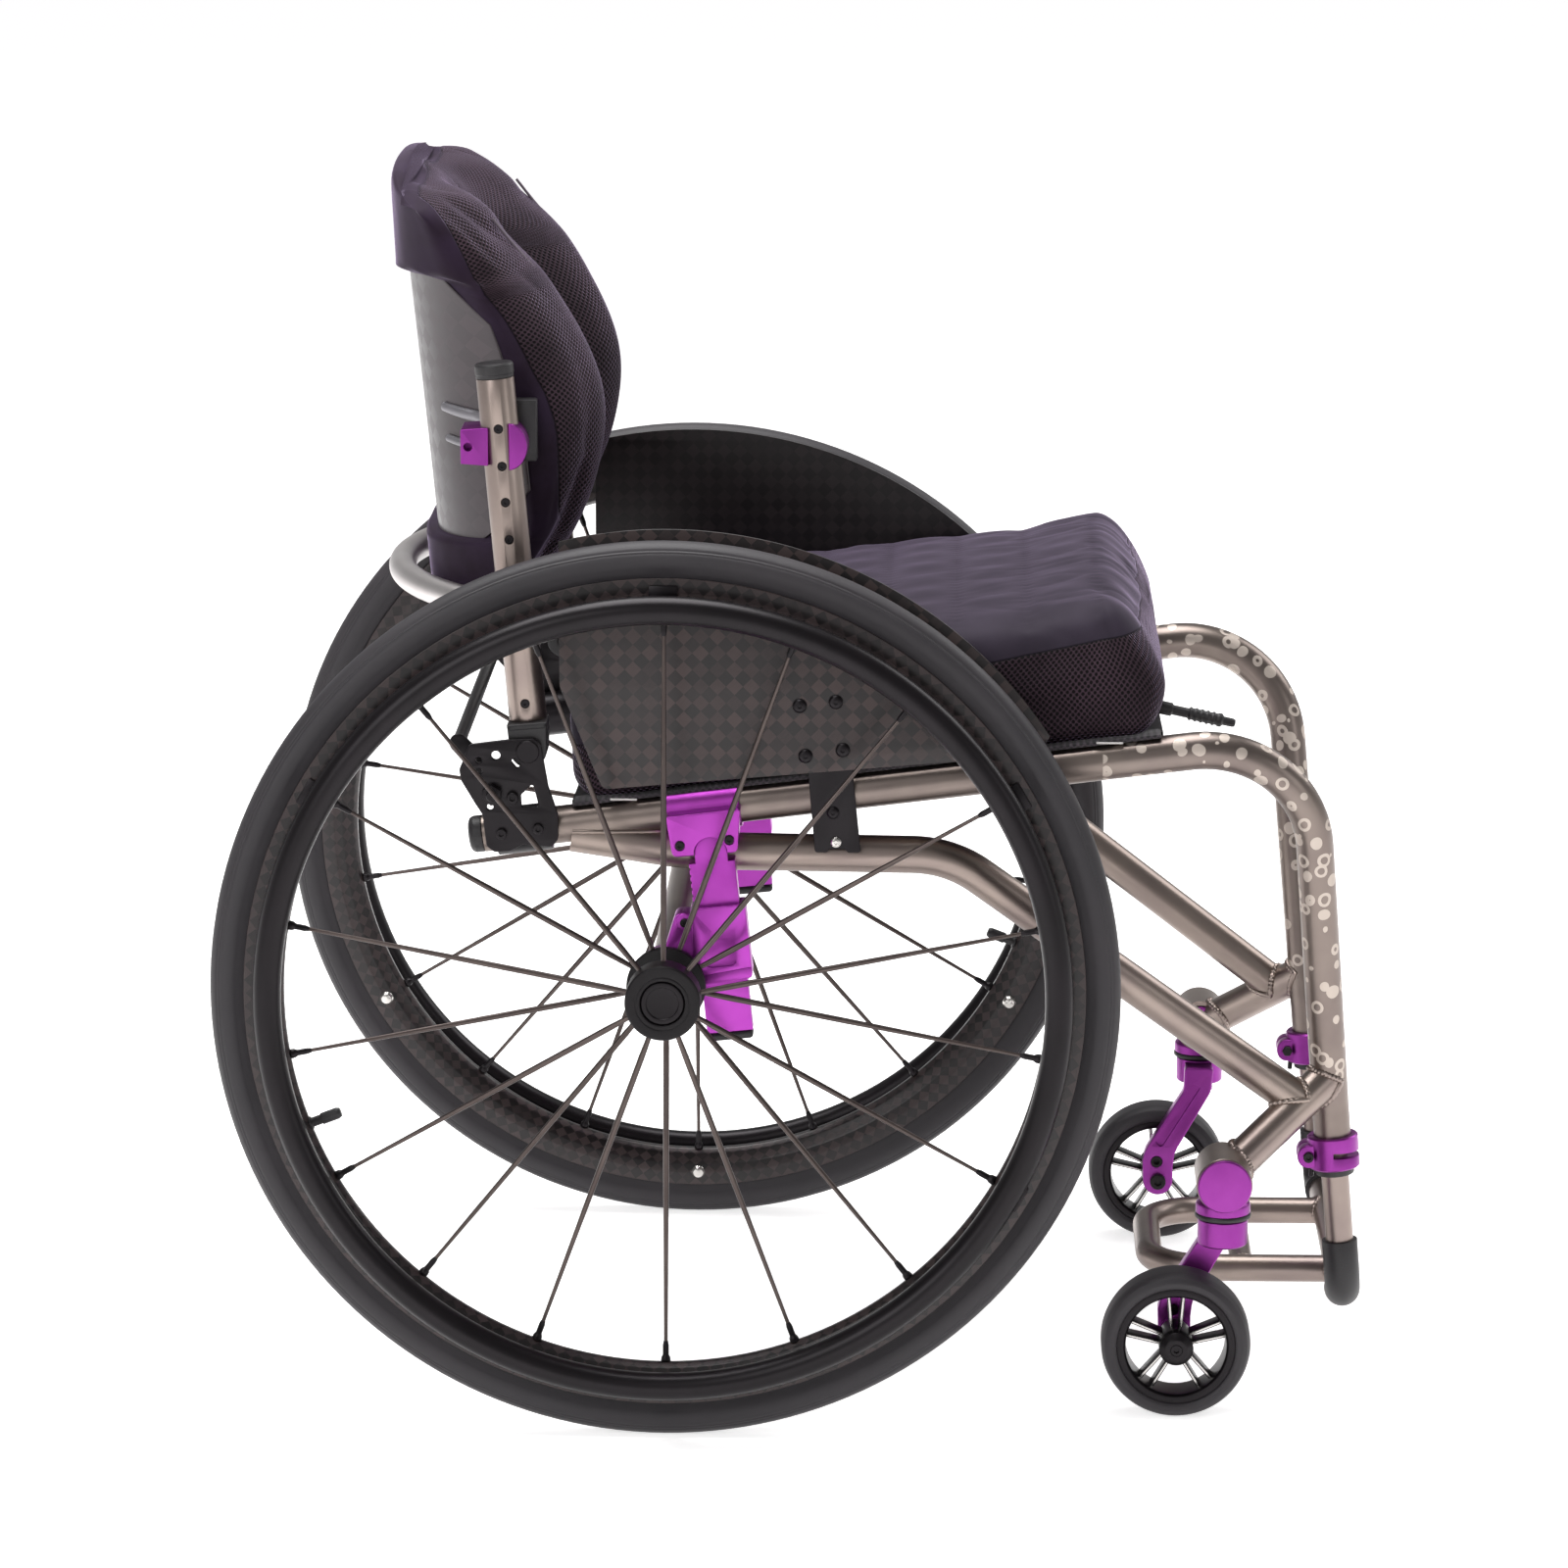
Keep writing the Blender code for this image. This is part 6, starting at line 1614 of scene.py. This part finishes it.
def bracketPiece(side):
    corners = ((-0.1359, 0.4553), (-0.133, 0.4625), (-0.1055, 0.466), (-0.0897, 0.4668), (-0.085, 0.464),
               (-0.0838, 0.4563), (-0.0801, 0.4341), (-0.0736, 0.4146), (-0.0737, 0.3976), (-0.0784, 0.3922),
               (-0.0976, 0.3941), (-0.1062, 0.3893), (-0.1168, 0.3886), (-0.1221, 0.3926), (-0.1245, 0.4142),
               (-0.1297, 0.4223), (-0.1388, 0.4378), (-0.14, 0.4452))
    window = roundedLoop(((-0.0906, 0.436), (-0.0865, 0.4199), (-0.098, 0.4198), (-0.0986, 0.4279)), 0.0012)
    slot = roundedLoop(((-0.1052, 0.4514), (-0.1026, 0.454), (-0.0982, 0.4488), (-0.1008, 0.4462)), 0.0014)
    holes = [window, slot, ringLoop(-0.1152, 0.4552, 0.003, 24)]
    holes += [ringLoop(x, z, 0.0022, 20) for x, z in ((-0.1266, 0.4519), (-0.1268, 0.4442), (-0.1194, 0.4197))]
    plane, out = side * axleGroup["plane"], side * back["bracketOut"]
    body = slabOf(roundedLoop(corners, 0.0035), plane, out, 0.0007, holes)
    start, end = seatPoint(-0.1165, side), seatPoint(-0.0795, side)
    body = carved(body, [rodOf(start, end, 0.016, 72, 0.0006)], "UNION")
    return carved(body, [cutterOf(seatPoint(-0.2, side), seatPoint(0, side), 0.0128, 64)])


def bracketPins(side):
    pins = []
    for (x, z), radius, inner in ((back["pivot"], 0.005, 0.1775), (back["releasePivot"], 0.0035, 0.1705)):
        pins.append(rodOf((x, side * inner, z), (x, side * (back["bracketOut"] + 0.001), z), radius, 28))
    x, z = back["pivot"]
    pins.append(rodOf((x, side * back["bracketOut"], z), (x, side * (back["bracketOut"] + 0.0018), z), 0.0078, 40,
                      edge=0.0007))
    return mergedInto("pins", pins)


def pivotBlockPiece(side):
    x, z = back["pivot"]
    foot = back["caneFoot"]
    top = [(x + across, foot[1] - 0.0003 + back["caneLean"] * (x + across - foot[0])) for across in (-0.0145, 0.0125)]
    outline = [*top, *arcLoop(x, z, back["eye"], 0, -180, 24)]
    body = slabOf(roundedLoop(outline, 0.0008), side * back["blockIn"], side * back["blockOut"], 0.0016, rounds=3)
    eye = cutterOf((x, side * 0.15, z), (x, side * 0.23, z), 0.0053, 32)
    lip = ((-0.03, 0.0118), (0.03, 0.0118 + 0.0052), (0.03, 0.018), (-0.03, 0.0128))
    lip = slabOf([(x + across, z + up) for across, up in lip], side * (back["blockOut"] - 0.0006), side * 0.22, 0.0)
    body = carved(body, [eye, lip])
    spigot = tubeOf([canePoint(foot[1] - 0.002, side), canePoint(foot[1] + 0.022, side)], 0.0097, 32)
    return mergedInto("block", [body, spigot])


def canePiece(side):
    body = tubeOf([canePoint(back["caneFoot"][1], side), canePoint(back["caneTop"], side)], tubes["radius"], 64)
    cutters = []
    near, far = side * (back["caneOut"] + 0.0095), side * (back["caneOut"] + 0.02)
    for z in back["caneHoles"]:
        x = canePoint(z, side).x
        cutters.append(cutterOf((x, near, z), (x, far, z), 0.0032, 28))
    return bevelled(carved(body, cutters), 0.0004, 2, 45)


def capPiece(side):
    radius, height = tubes["radius"], back["capLength"]
    profile = [(0, height - 0.0008), (0.0085, height - 0.0006), (0.01, height), (radius - 0.0006, height),
               (radius + 0.0004, height - 0.0014), (radius + 0.0004, 0.003), (radius, 0.0026), (radius, 0.0003),
               (0, 0.0003)]
    return turnedOf(softProfile(profile, 0.0004), 64, canePoint(back["caneTop"], side), (-back["caneLean"], 0, 1))


def bowRoute():
    half, depth, z = back["caneOut"] - 0.002, back["bowDepth"], back["bowZ"]
    radius = (half ** 2 + depth ** 2) / (2 * depth)
    centre = canePoint(z, 1).x - 0.004 - depth + radius
    reach = atan(half / (radius - depth))
    return [Vector((centre - radius * cos(a), radius * sin(a), z)) for a in (reach * (i / 30 - 1) for i in range(61))]


def bowPiece():
    body = tubeOf(bowRoute(), 0.0095, 48)
    canes = [tubeOf([canePoint(0.5, side), canePoint(0.6, side)], tubes["radius"] - 0.0001, 48) for side, _ in sides]
    return carved(body, canes)


def releasePieces():
    x, z = back["releaseBar"]
    footX, footZ = back["releasePivot"]
    inner, out = back["releaseArm"], back["releaseArm"] + 0.004
    bar = rodOf((x, -out, z), (x, out, z), 0.0045, 32, edge=0.0008)
    arms = []
    for side, _ in sides:
        outline = arcLoop(footX, footZ, 0.0075, 225, 405, 16) + arcLoop(x, z, 0.0062, 45, 225, 16)
        arm = slabOf(outline, side * inner, side * out, 0.0006)
        arms.append(carved(arm, [cutterOf((footX, side * 0.15, footZ), (footX, side * 0.2, footZ), 0.0038, 28)]))
    return mergedInto("release", [bar, *arms])


def shellX(y, z):
    share = abs(y) / back["shellHalf"]
    wing = 0.08 - 0.035 * max(0.0, (z - 0.66) / 0.14) ** 1.5
    return -0.1655 - 0.0963 * (z - 0.5809) + back["shellThick"] / 2 + (wing - 0.0045) * share ** 4


def shellPiece():
    rows = []
    for i in range(49):
        row = []
        for j in range(97):
            share = j / 48 - 1
            share = share * (1 + 0.12 * (1 - share ** 2))
            corner = abs(share) ** 5
            low, high = back["shellLow"] + 0.068 * corner, back["shellHigh"] - 0.06 * corner
            y, z = share * back["shellHalf"], high + (low - high) * i / 48
            row.append((shellX(y, z), y, z))
        rows.append(row)
    piece = flatUv(sheetThrough(rows), 1)
    modified(piece, "SOLIDIFY", thickness=back["shellThick"], offset=0, use_even_offset=True)
    return bevelled(cleaned(piece), 0.0009, 3, 50)


crestLine = ((0.83, -0.152), (0.815, -0.127), (0.795, -0.112), (0.765, -0.087), (0.723, -0.0625), (0.688, -0.05),
             (0.655, -0.049), (0.612, -0.059), (0.565, -0.084), (0.534, -0.124))
pipingLine = ((0.83, -0.154), (0.795, -0.116), (0.765, -0.0915), (0.723, -0.069), (0.688, -0.059), (0.655, -0.059),
              (0.612, -0.068), (0.565, -0.092), (0.534, -0.128))
valleyLine = ((0.826, -0.162), (0.795, -0.148), (0.745, -0.139), (0.695, -0.128), (0.65, -0.121), (0.605, -0.12),
              (0.562, -0.13), (0.535, -0.146))
seamLine = ((0.832, -0.178), (0.826, -0.1714), (0.814, -0.161), (0.795, -0.1485), (0.778, -0.136), (0.763, -0.125),
            (0.745, -0.1108), (0.724, -0.0986), (0.707, -0.0904), (0.693, -0.083), (0.669, -0.076), (0.642, -0.0748),
            (0.58, -0.076))


def along(line, z):
    # smooth value at height z of a line given as (z, x) from the top down
    z = min(line[0][0], max(line[-1][0], z))
    for i in range(len(line) - 1):
        (z1, x1), (z2, x2) = line[i], line[i + 1]
        if z >= z2:
            z0, x0 = line[max(i - 1, 0)]
            z3, x3 = line[min(i + 2, len(line) - 1)]
            t = (z1 - z) / (z1 - z2)
            m1 = (x2 - x0) / (z0 - z2) * (z1 - z2) if z0 > z1 else x2 - x1
            m2 = (x3 - x1) / (z1 - z3) * (z1 - z2) if z2 > z3 else x2 - x1
            return ((2 * t ** 3 - 3 * t ** 2 + 1) * x1 + (t ** 3 - 2 * t ** 2 + t) * m1
                    + (3 * t ** 2 - 2 * t ** 3) * x2 + (t ** 3 - t ** 2) * m2)
    return line[-1][1]


def openTop(share):
    return back["openHigh"] + 0.012 * share ** 2


def padDroop(z, share):
    # the cushion's level lines hang lower toward its sides
    return (z - 0.69) * 0.085 * abs(share) ** 5


def padRing(z, shrink=1.0, count=200):
    # level outline of the deep cushion: the rear follows the shell, the front has two lobes and a valley
    half = back["shellHalf"] + back["shellThick"] / 2
    lobe, valley, piping = along(crestLine, z), along(valleyLine, z), along(pipingLine, z)
    thick, wrap = back["shellThick"] / 2, back["wrap"] - 0.06 * max(0.0, z - 0.77)

    def rear(share):
        inside = back["openLow"] < z < openTop(share) and abs(share) < 0.985
        return shellX(share * back["shellHalf"], z) + (thick + 0.0004 if inside else -thick - wrap)
    edge = max(rear(0.97), min(rear(0.97) + 0.004, piping - 0.02))
    front = [(0.0, 0.0), (0.12, 0.07), (0.24, 0.26), (0.35, 0.55), (0.46, 0.84), (0.55, 0.97), (0.62, 1.0)]
    right = [(valley + (lobe - valley) * mix, share) for share, mix in front]
    depth = max(piping - edge, 0.01)
    right += [(lobe + (piping - lobe) * 0.3, 0.71), (piping, 0.79), (piping - 0.09 * depth, 0.855),
              (piping - 0.24 * depth, 0.91), (piping - 0.45 * depth, 0.957), (edge + 0.3 * depth, 0.985),
              (edge + 0.1 * depth, 0.998)]
    right += [(rear(share), share) for share in (0.975, 0.93, 0.86, 0.77, 0.66, 0.5, 0.25)]
    loop = right + [(rear(0), 0)] + [(x, -share) for x, share in right[:0:-1]]
    middle = rear(0.3) + (0.5 if z < 0.7 else 0.3) * (lobe - rear(0.3))
    points = []
    for x, share in loop:
        droop = padDroop(z, share)
        if x < middle:
            droop -= 0.01 * max(0.0, 1 - (share / 0.75) ** 2) * clamped((z - 0.77) / 0.05)
        points.append((middle + (x - middle) * shrink, share * half * (1 - 0.1 * (1 - shrink)), z - droop))
    return evenly(points, count, closed=True)


def padPiece():
    low, high = 0.5355, 0.829
    rows = []
    for lift, shrink in ((0.0, 0.1), (0.0, 0.45), (0.0012, 0.72), (0.0035, 0.87), (0.007, 0.955), (0.0115, 0.99)):
        rows.append(padRing(low + lift, shrink))
    levels = [0.552 + 0.0048 * i for i in range(7)] + [0.5852, 0.5866]
    levels += [0.5914 + (0.75 - 0.5914) * i / 33 for i in range(34)]
    levels += [0.7545, 0.759, 0.763, 0.765, 0.7675, 0.77, 0.773, 0.7762, 0.78]
    levels += [0.7845 + 0.0047 * i for i in range(7)]
    rows += [padRing(z) for z in levels]
    for lift, shrink in ((0.0085, 0.985), (0.005, 0.95), (0.0024, 0.87), (0.0008, 0.72), (0.0, 0.42), (0.0, 0.1)):
        rows.append(padRing(high - lift, shrink))
    return cleaned(sheetThrough(rows[::-1]), 0.00002)


def sewnShut(piece):
    # closes the two slits at the cover's top and foot
    activate(piece)
    bpy.ops.object.mode_set(mode="EDIT")
    bpy.ops.mesh.select_all(action="DESELECT")
    bpy.ops.mesh.select_non_manifold()
    bpy.ops.mesh.edge_face_add()
    bpy.ops.mesh.select_all(action="SELECT")
    bpy.ops.mesh.normals_make_consistent(inside=False)
    bpy.ops.object.mode_set(mode="OBJECT")
    foremost = max(piece.data.polygons, key=lambda face: face.center.x)
    if foremost.normal.x < 0:
        bpy.ops.object.mode_set(mode="EDIT")
        bpy.ops.mesh.flip_normals()
        bpy.ops.object.mode_set(mode="OBJECT")
    return piece


def padPinned(piece):
    # the cover lies on the shell there
    return [vertex.index for vertex in piece.data.vertices
            if vertex.co.x < shellX(vertex.co.y, vertex.co.z) + 0.006]


def creased(piece):
    # soft folds that run down from the lobes' tops, and slack near the foot
    normals = [vertex.normal.copy() for vertex in piece.data.vertices]
    for vertex, normal in zip(piece.data.vertices, normals):
        x, y, z = vertex.co
        if x < shellX(y, z) + 0.004:
            continue
        upper = clamped((z - 0.735) / 0.06)
        lower = clamped((0.62 - z) / 0.06)
        wave = noise.noise(Vector((x * 26 + z * 34, y * 9, z * 7 - x * 16)))
        slow = noise.noise(Vector((x * 11, y * 11, z * 11 + 4)))
        vertex.co += normal * (0.0028 * wave * upper + 0.0012 * wave * lower + 0.0012 * slow)
    return piece


def padCover(place):
    x, y, z = place
    share = abs(y) / back["shellHalf"]
    shell = shellX(y, z)
    behind = shell + 0.0035 - x
    if share > 0.8 or z > 0.8:
        seam = along(seamLine, z)
        if share > 0.8:
            return max(min(seam - x, (share - 0.8) * 0.166), behind)
        return max(seam - x, behind)
    return behind


# a thin cord along each lobe's crest: its ridge stands for the fold, and its pale colour is a painted highlight on it
def lobeFoldHighlight(side):
    points, share = [], 0.68
    for i in range(13):
        z = 0.806 - 0.206 * i / 12
        x = along(crestLine, z) * 0.8 + along(pipingLine, z) * 0.2 - 0.0002
        points.append((x, side * share * 0.1675, z - padDroop(z, share)))
    return tubeOf(evenly(points, 60), 0.001, 10)


def mountPiece(side):
    # a clamp that wraps the cane
    rear, front = back["mountX"]
    z, out = back["mountZ"] - 0.0025, back["caneOut"] + 0.0128
    inner = back["shellHalf"] + back["shellThick"] / 2 + 0.0006
    outline = roundedLoop(((rear, z - 0.0115), (rear + 0.0185, z - 0.0128), (rear + 0.0185, z + 0.0128),
                           (rear, z + 0.0115)), 0.0008)
    block = slabOf(outline, side * inner, side * out, 0.0006)
    wide, tall = 0.0122, 0.0156
    moon = [(front - wide + wide * cos(radians(a)), z + tall * sin(radians(a))) for a in range(-84, 85, 7)]
    moon = [(front - wide, z - tall), *moon, (front - wide, z + tall)]
    moon = slabOf(moon, side * (inner + 0.003), side * out, 0.0008, rounds=3)
    web = blockOf((rear + 0.002, side * inner, z - 0.0105), (front - 0.003, side * 0.18, z + 0.0105))
    body = carved(block, [moon, web], "UNION")
    well = cutterOf((rear + 0.005, side * (out - 0.012), z), (rear + 0.005, side * (out + 0.01), z), 0.003, 32)
    return carved(body, [well, tubeOf([canePoint(0.6, side), canePoint(0.72, side)], tubes["radius"] + 0.0001, 64)])


def mountArms(side):
    # two cast arms that lie round the shell
    z, half, arms = back["mountZ"] - 0.0025, back["shellHalf"], []
    for rise, tall in ((0.012, 0.0052), (-0.0095, 0.0042)):
        height = z + rise
        points = [(-0.1185, side * 0.174, height - 0.002), (-0.1225, side * 0.161, height - 0.0012)]
        for i in range(8):
            share = 0.885 - 0.022 * i
            points.append((shellX(share * half, height) - 0.0022, side * (share * half + 0.0006), height + 0.0004 * i))
        arms.append(tubeOf(evenly(points, 36), tall, 20, widths=[1 - 0.35 * (i / 35) ** 0.8 for i in range(36)]))
    return mergedInto("arms", arms)


def mountBody(side):
    # the moulded block between the shell and the clamp's front half
    return blockOf((-0.1035, side * 0.169, 0.65), (-0.088, side * 0.1815, 0.6915), 0.0012)


def bracketScrews(side):
    out = side * back["bracketOut"]
    spots = ((-0.1041, 0.4263, 0.004), (-0.1119, 0.4016, 0.0036), (-0.087, 0.405, 0.0036))
    return screwsOf("socket", [((x, out, z), (0, side, 0), radius) for x, z, radius in spots])


def releaseNut(side):
    x, z = back["releasePivot"]
    return screwsOf("nut", [((x, side * back["bracketOut"], z), (0, side, 0), 0.0062)])


def caneScrews(side):
    out = side * (back["caneOut"] + 0.0096)
    return screwsOf("socket", [((canePoint(z, side).x, out, z), (0, side, 0), 0.0029) for z in back["caneHoles"]])


def makeBack():
    settled(releasePieces(), "releaseBar", "release_lever", "black", "release_bar")
    settled(bowPiece(), "rigidizerBow", "back", "satin", "rigidizer_bar")
    settled(shellPiece(), "backShell", "back", "shell", "back_shell")
    pad = padPiece()
    pad = sewnShut(creased(subdivided(inflated(pad, 3.0, 0.0035, padPinned(pad)))))
    coverAttribute(pad, padCover)
    settled(pad, "backCushion", "back", "backCover", "back_cushion", 60)
    settledPairs(((bracketPiece, "backBracket", "frame", "black_metal", "black", "back_bracket"),
                  (bracketPins, "bracketPins", "frame", "black_metal", "black", ""),
                  (bracketScrews, "bracketScrews", "frame", "black_metal", "black", ""),
                  (releaseNut, "releaseNut", "frame", "black_metal", "black", ""),
                  (pivotBlockPiece, "pivotBlock", "back", "black_plastic", "nylon", "pivot_block"),
                  (canePiece, "backCane", "back", "titanium", "titanium", "back_cane"),
                  (caneScrews, "caneScrews", "back", "black_metal", "black", ""),
                  (capPiece, "caneCap", "back", "black_plastic", "nylon", "cane_cap"),
                  (mountPiece, "backMount", "back", "purple", "shadedPurple", "back_mount"),
                  (mountArms, "mountArms", "back", "titanium", "grey", ""),
                  (mountBody, "mountBody", "back", "black_plastic", "nylon", ""),
                  (lobeFoldHighlight, "lobeFoldHighlight", "back", "cushion", "foldHighlight", "")))
    print("back made")


makeBack()
for master in screws.values():
    bpy.data.objects.remove(master)


# Studio: camera where the photographer stood, one large soft lamp overhead, weaker ones round it,
# pale surroundings and a pale floor

def studio():
    scene = bpy.context.scene
    turn, rise, distance = radians(1.62), radians(12.27), 4.395
    aim = Vector((0.0723 + axleX, 0, 0.3907))
    toCamera = Vector((sin(turn) * cos(rise), -cos(turn) * cos(rise), sin(rise)))
    bpy.ops.object.camera_add(location=aim + toCamera * distance, rotation=toCamera.to_track_quat("Z", "Y").to_euler())
    camera = bpy.context.object
    camera.name = "photoCamera"
    camera.data.sensor_width = 36
    camera.data.lens = 142.99
    camera.data.clip_end = 100
    scene.camera = camera
    scene.view_settings.view_transform = "Standard"

    lamps = (("topLamp", (-0.5, 0.4, 3.3), 2.6, 124), ("nearLamp", (-1.7, -2.9, 2.0), 2.0, 36),
             ("fillLamp", (2.4, 1.6, 2.2), 2.0, 32), ("frontLamp", (2.8, -1.8, 1.2), 1.2, 6))
    for name, place, size, power in lamps:
        bpy.ops.object.light_add(type="AREA", location=place)
        lamp = bpy.context.object
        lamp.name = name
        lamp.data.shape = "DISK"
        lamp.data.size = size
        lamp.data.energy = power
        lamp.rotation_euler = (Vector(place) - Vector((0, 0, 0.35))).to_track_quat("Z", "Y").to_euler()

    world = bpy.data.worlds.new("paleStudio")
    scene.world = world
    world.use_nodes = True
    add = partial(addNode, world)
    path = add("LightPath")
    heading = add("TexCoord").outputs["Generated"]
    height = add("SeparateXYZ", {0: heading}).outputs["Z"]
    share = add("MapRange", {0: height, 1: -1.0, 2: 1.0})
    mirrored = rampOf(world, share, ((0.4, 0.8), (0.5, 0.68), (0.6, 0.4), (0.75, 0.27), (0.95, 0.2)))
    pale = {0: path.outputs["Is Glossy Ray"], 6: linear("#A3A1A3"), 7: mirrored}
    lit = add("Mix", pale, data_type="RGBA").outputs[2]
    white = {0: path.outputs["Is Camera Ray"], 6: lit, 7: (1, 1, 1, 1)}
    seen = add("Mix", white, data_type="RGBA").outputs[2]
    fed(world, world.node_tree.nodes["Background"].inputs["Color"], seen)

    floor = started(bpy.ops.mesh.primitive_plane_add, size=60, location=(0, 0, 0))
    floor.name = "studioFloor"
    paper = newMaterial("studioPaper")
    surface(paper, Base_Color=linear("#F1F0EF"), Roughness=0.95, Specular_IOR_Level=0.1, Emission_Color=(1, 1, 1, 1))
    add = partial(addNode, paper)
    path = add("LightPath")
    seen = add("Math", {0: path.outputs["Is Camera Ray"], 1: path.outputs["Is Glossy Ray"]}, operation="MAXIMUM")
    seen = add("Math", {0: seen, 1: path.outputs["Is Transmission Ray"]}, operation="MAXIMUM")
    surface(paper, Emission_Strength=add("Math", {0: seen, 1: 0.68}, operation="MULTIPLY"))
    floor.data.materials.append(paper)


studio()
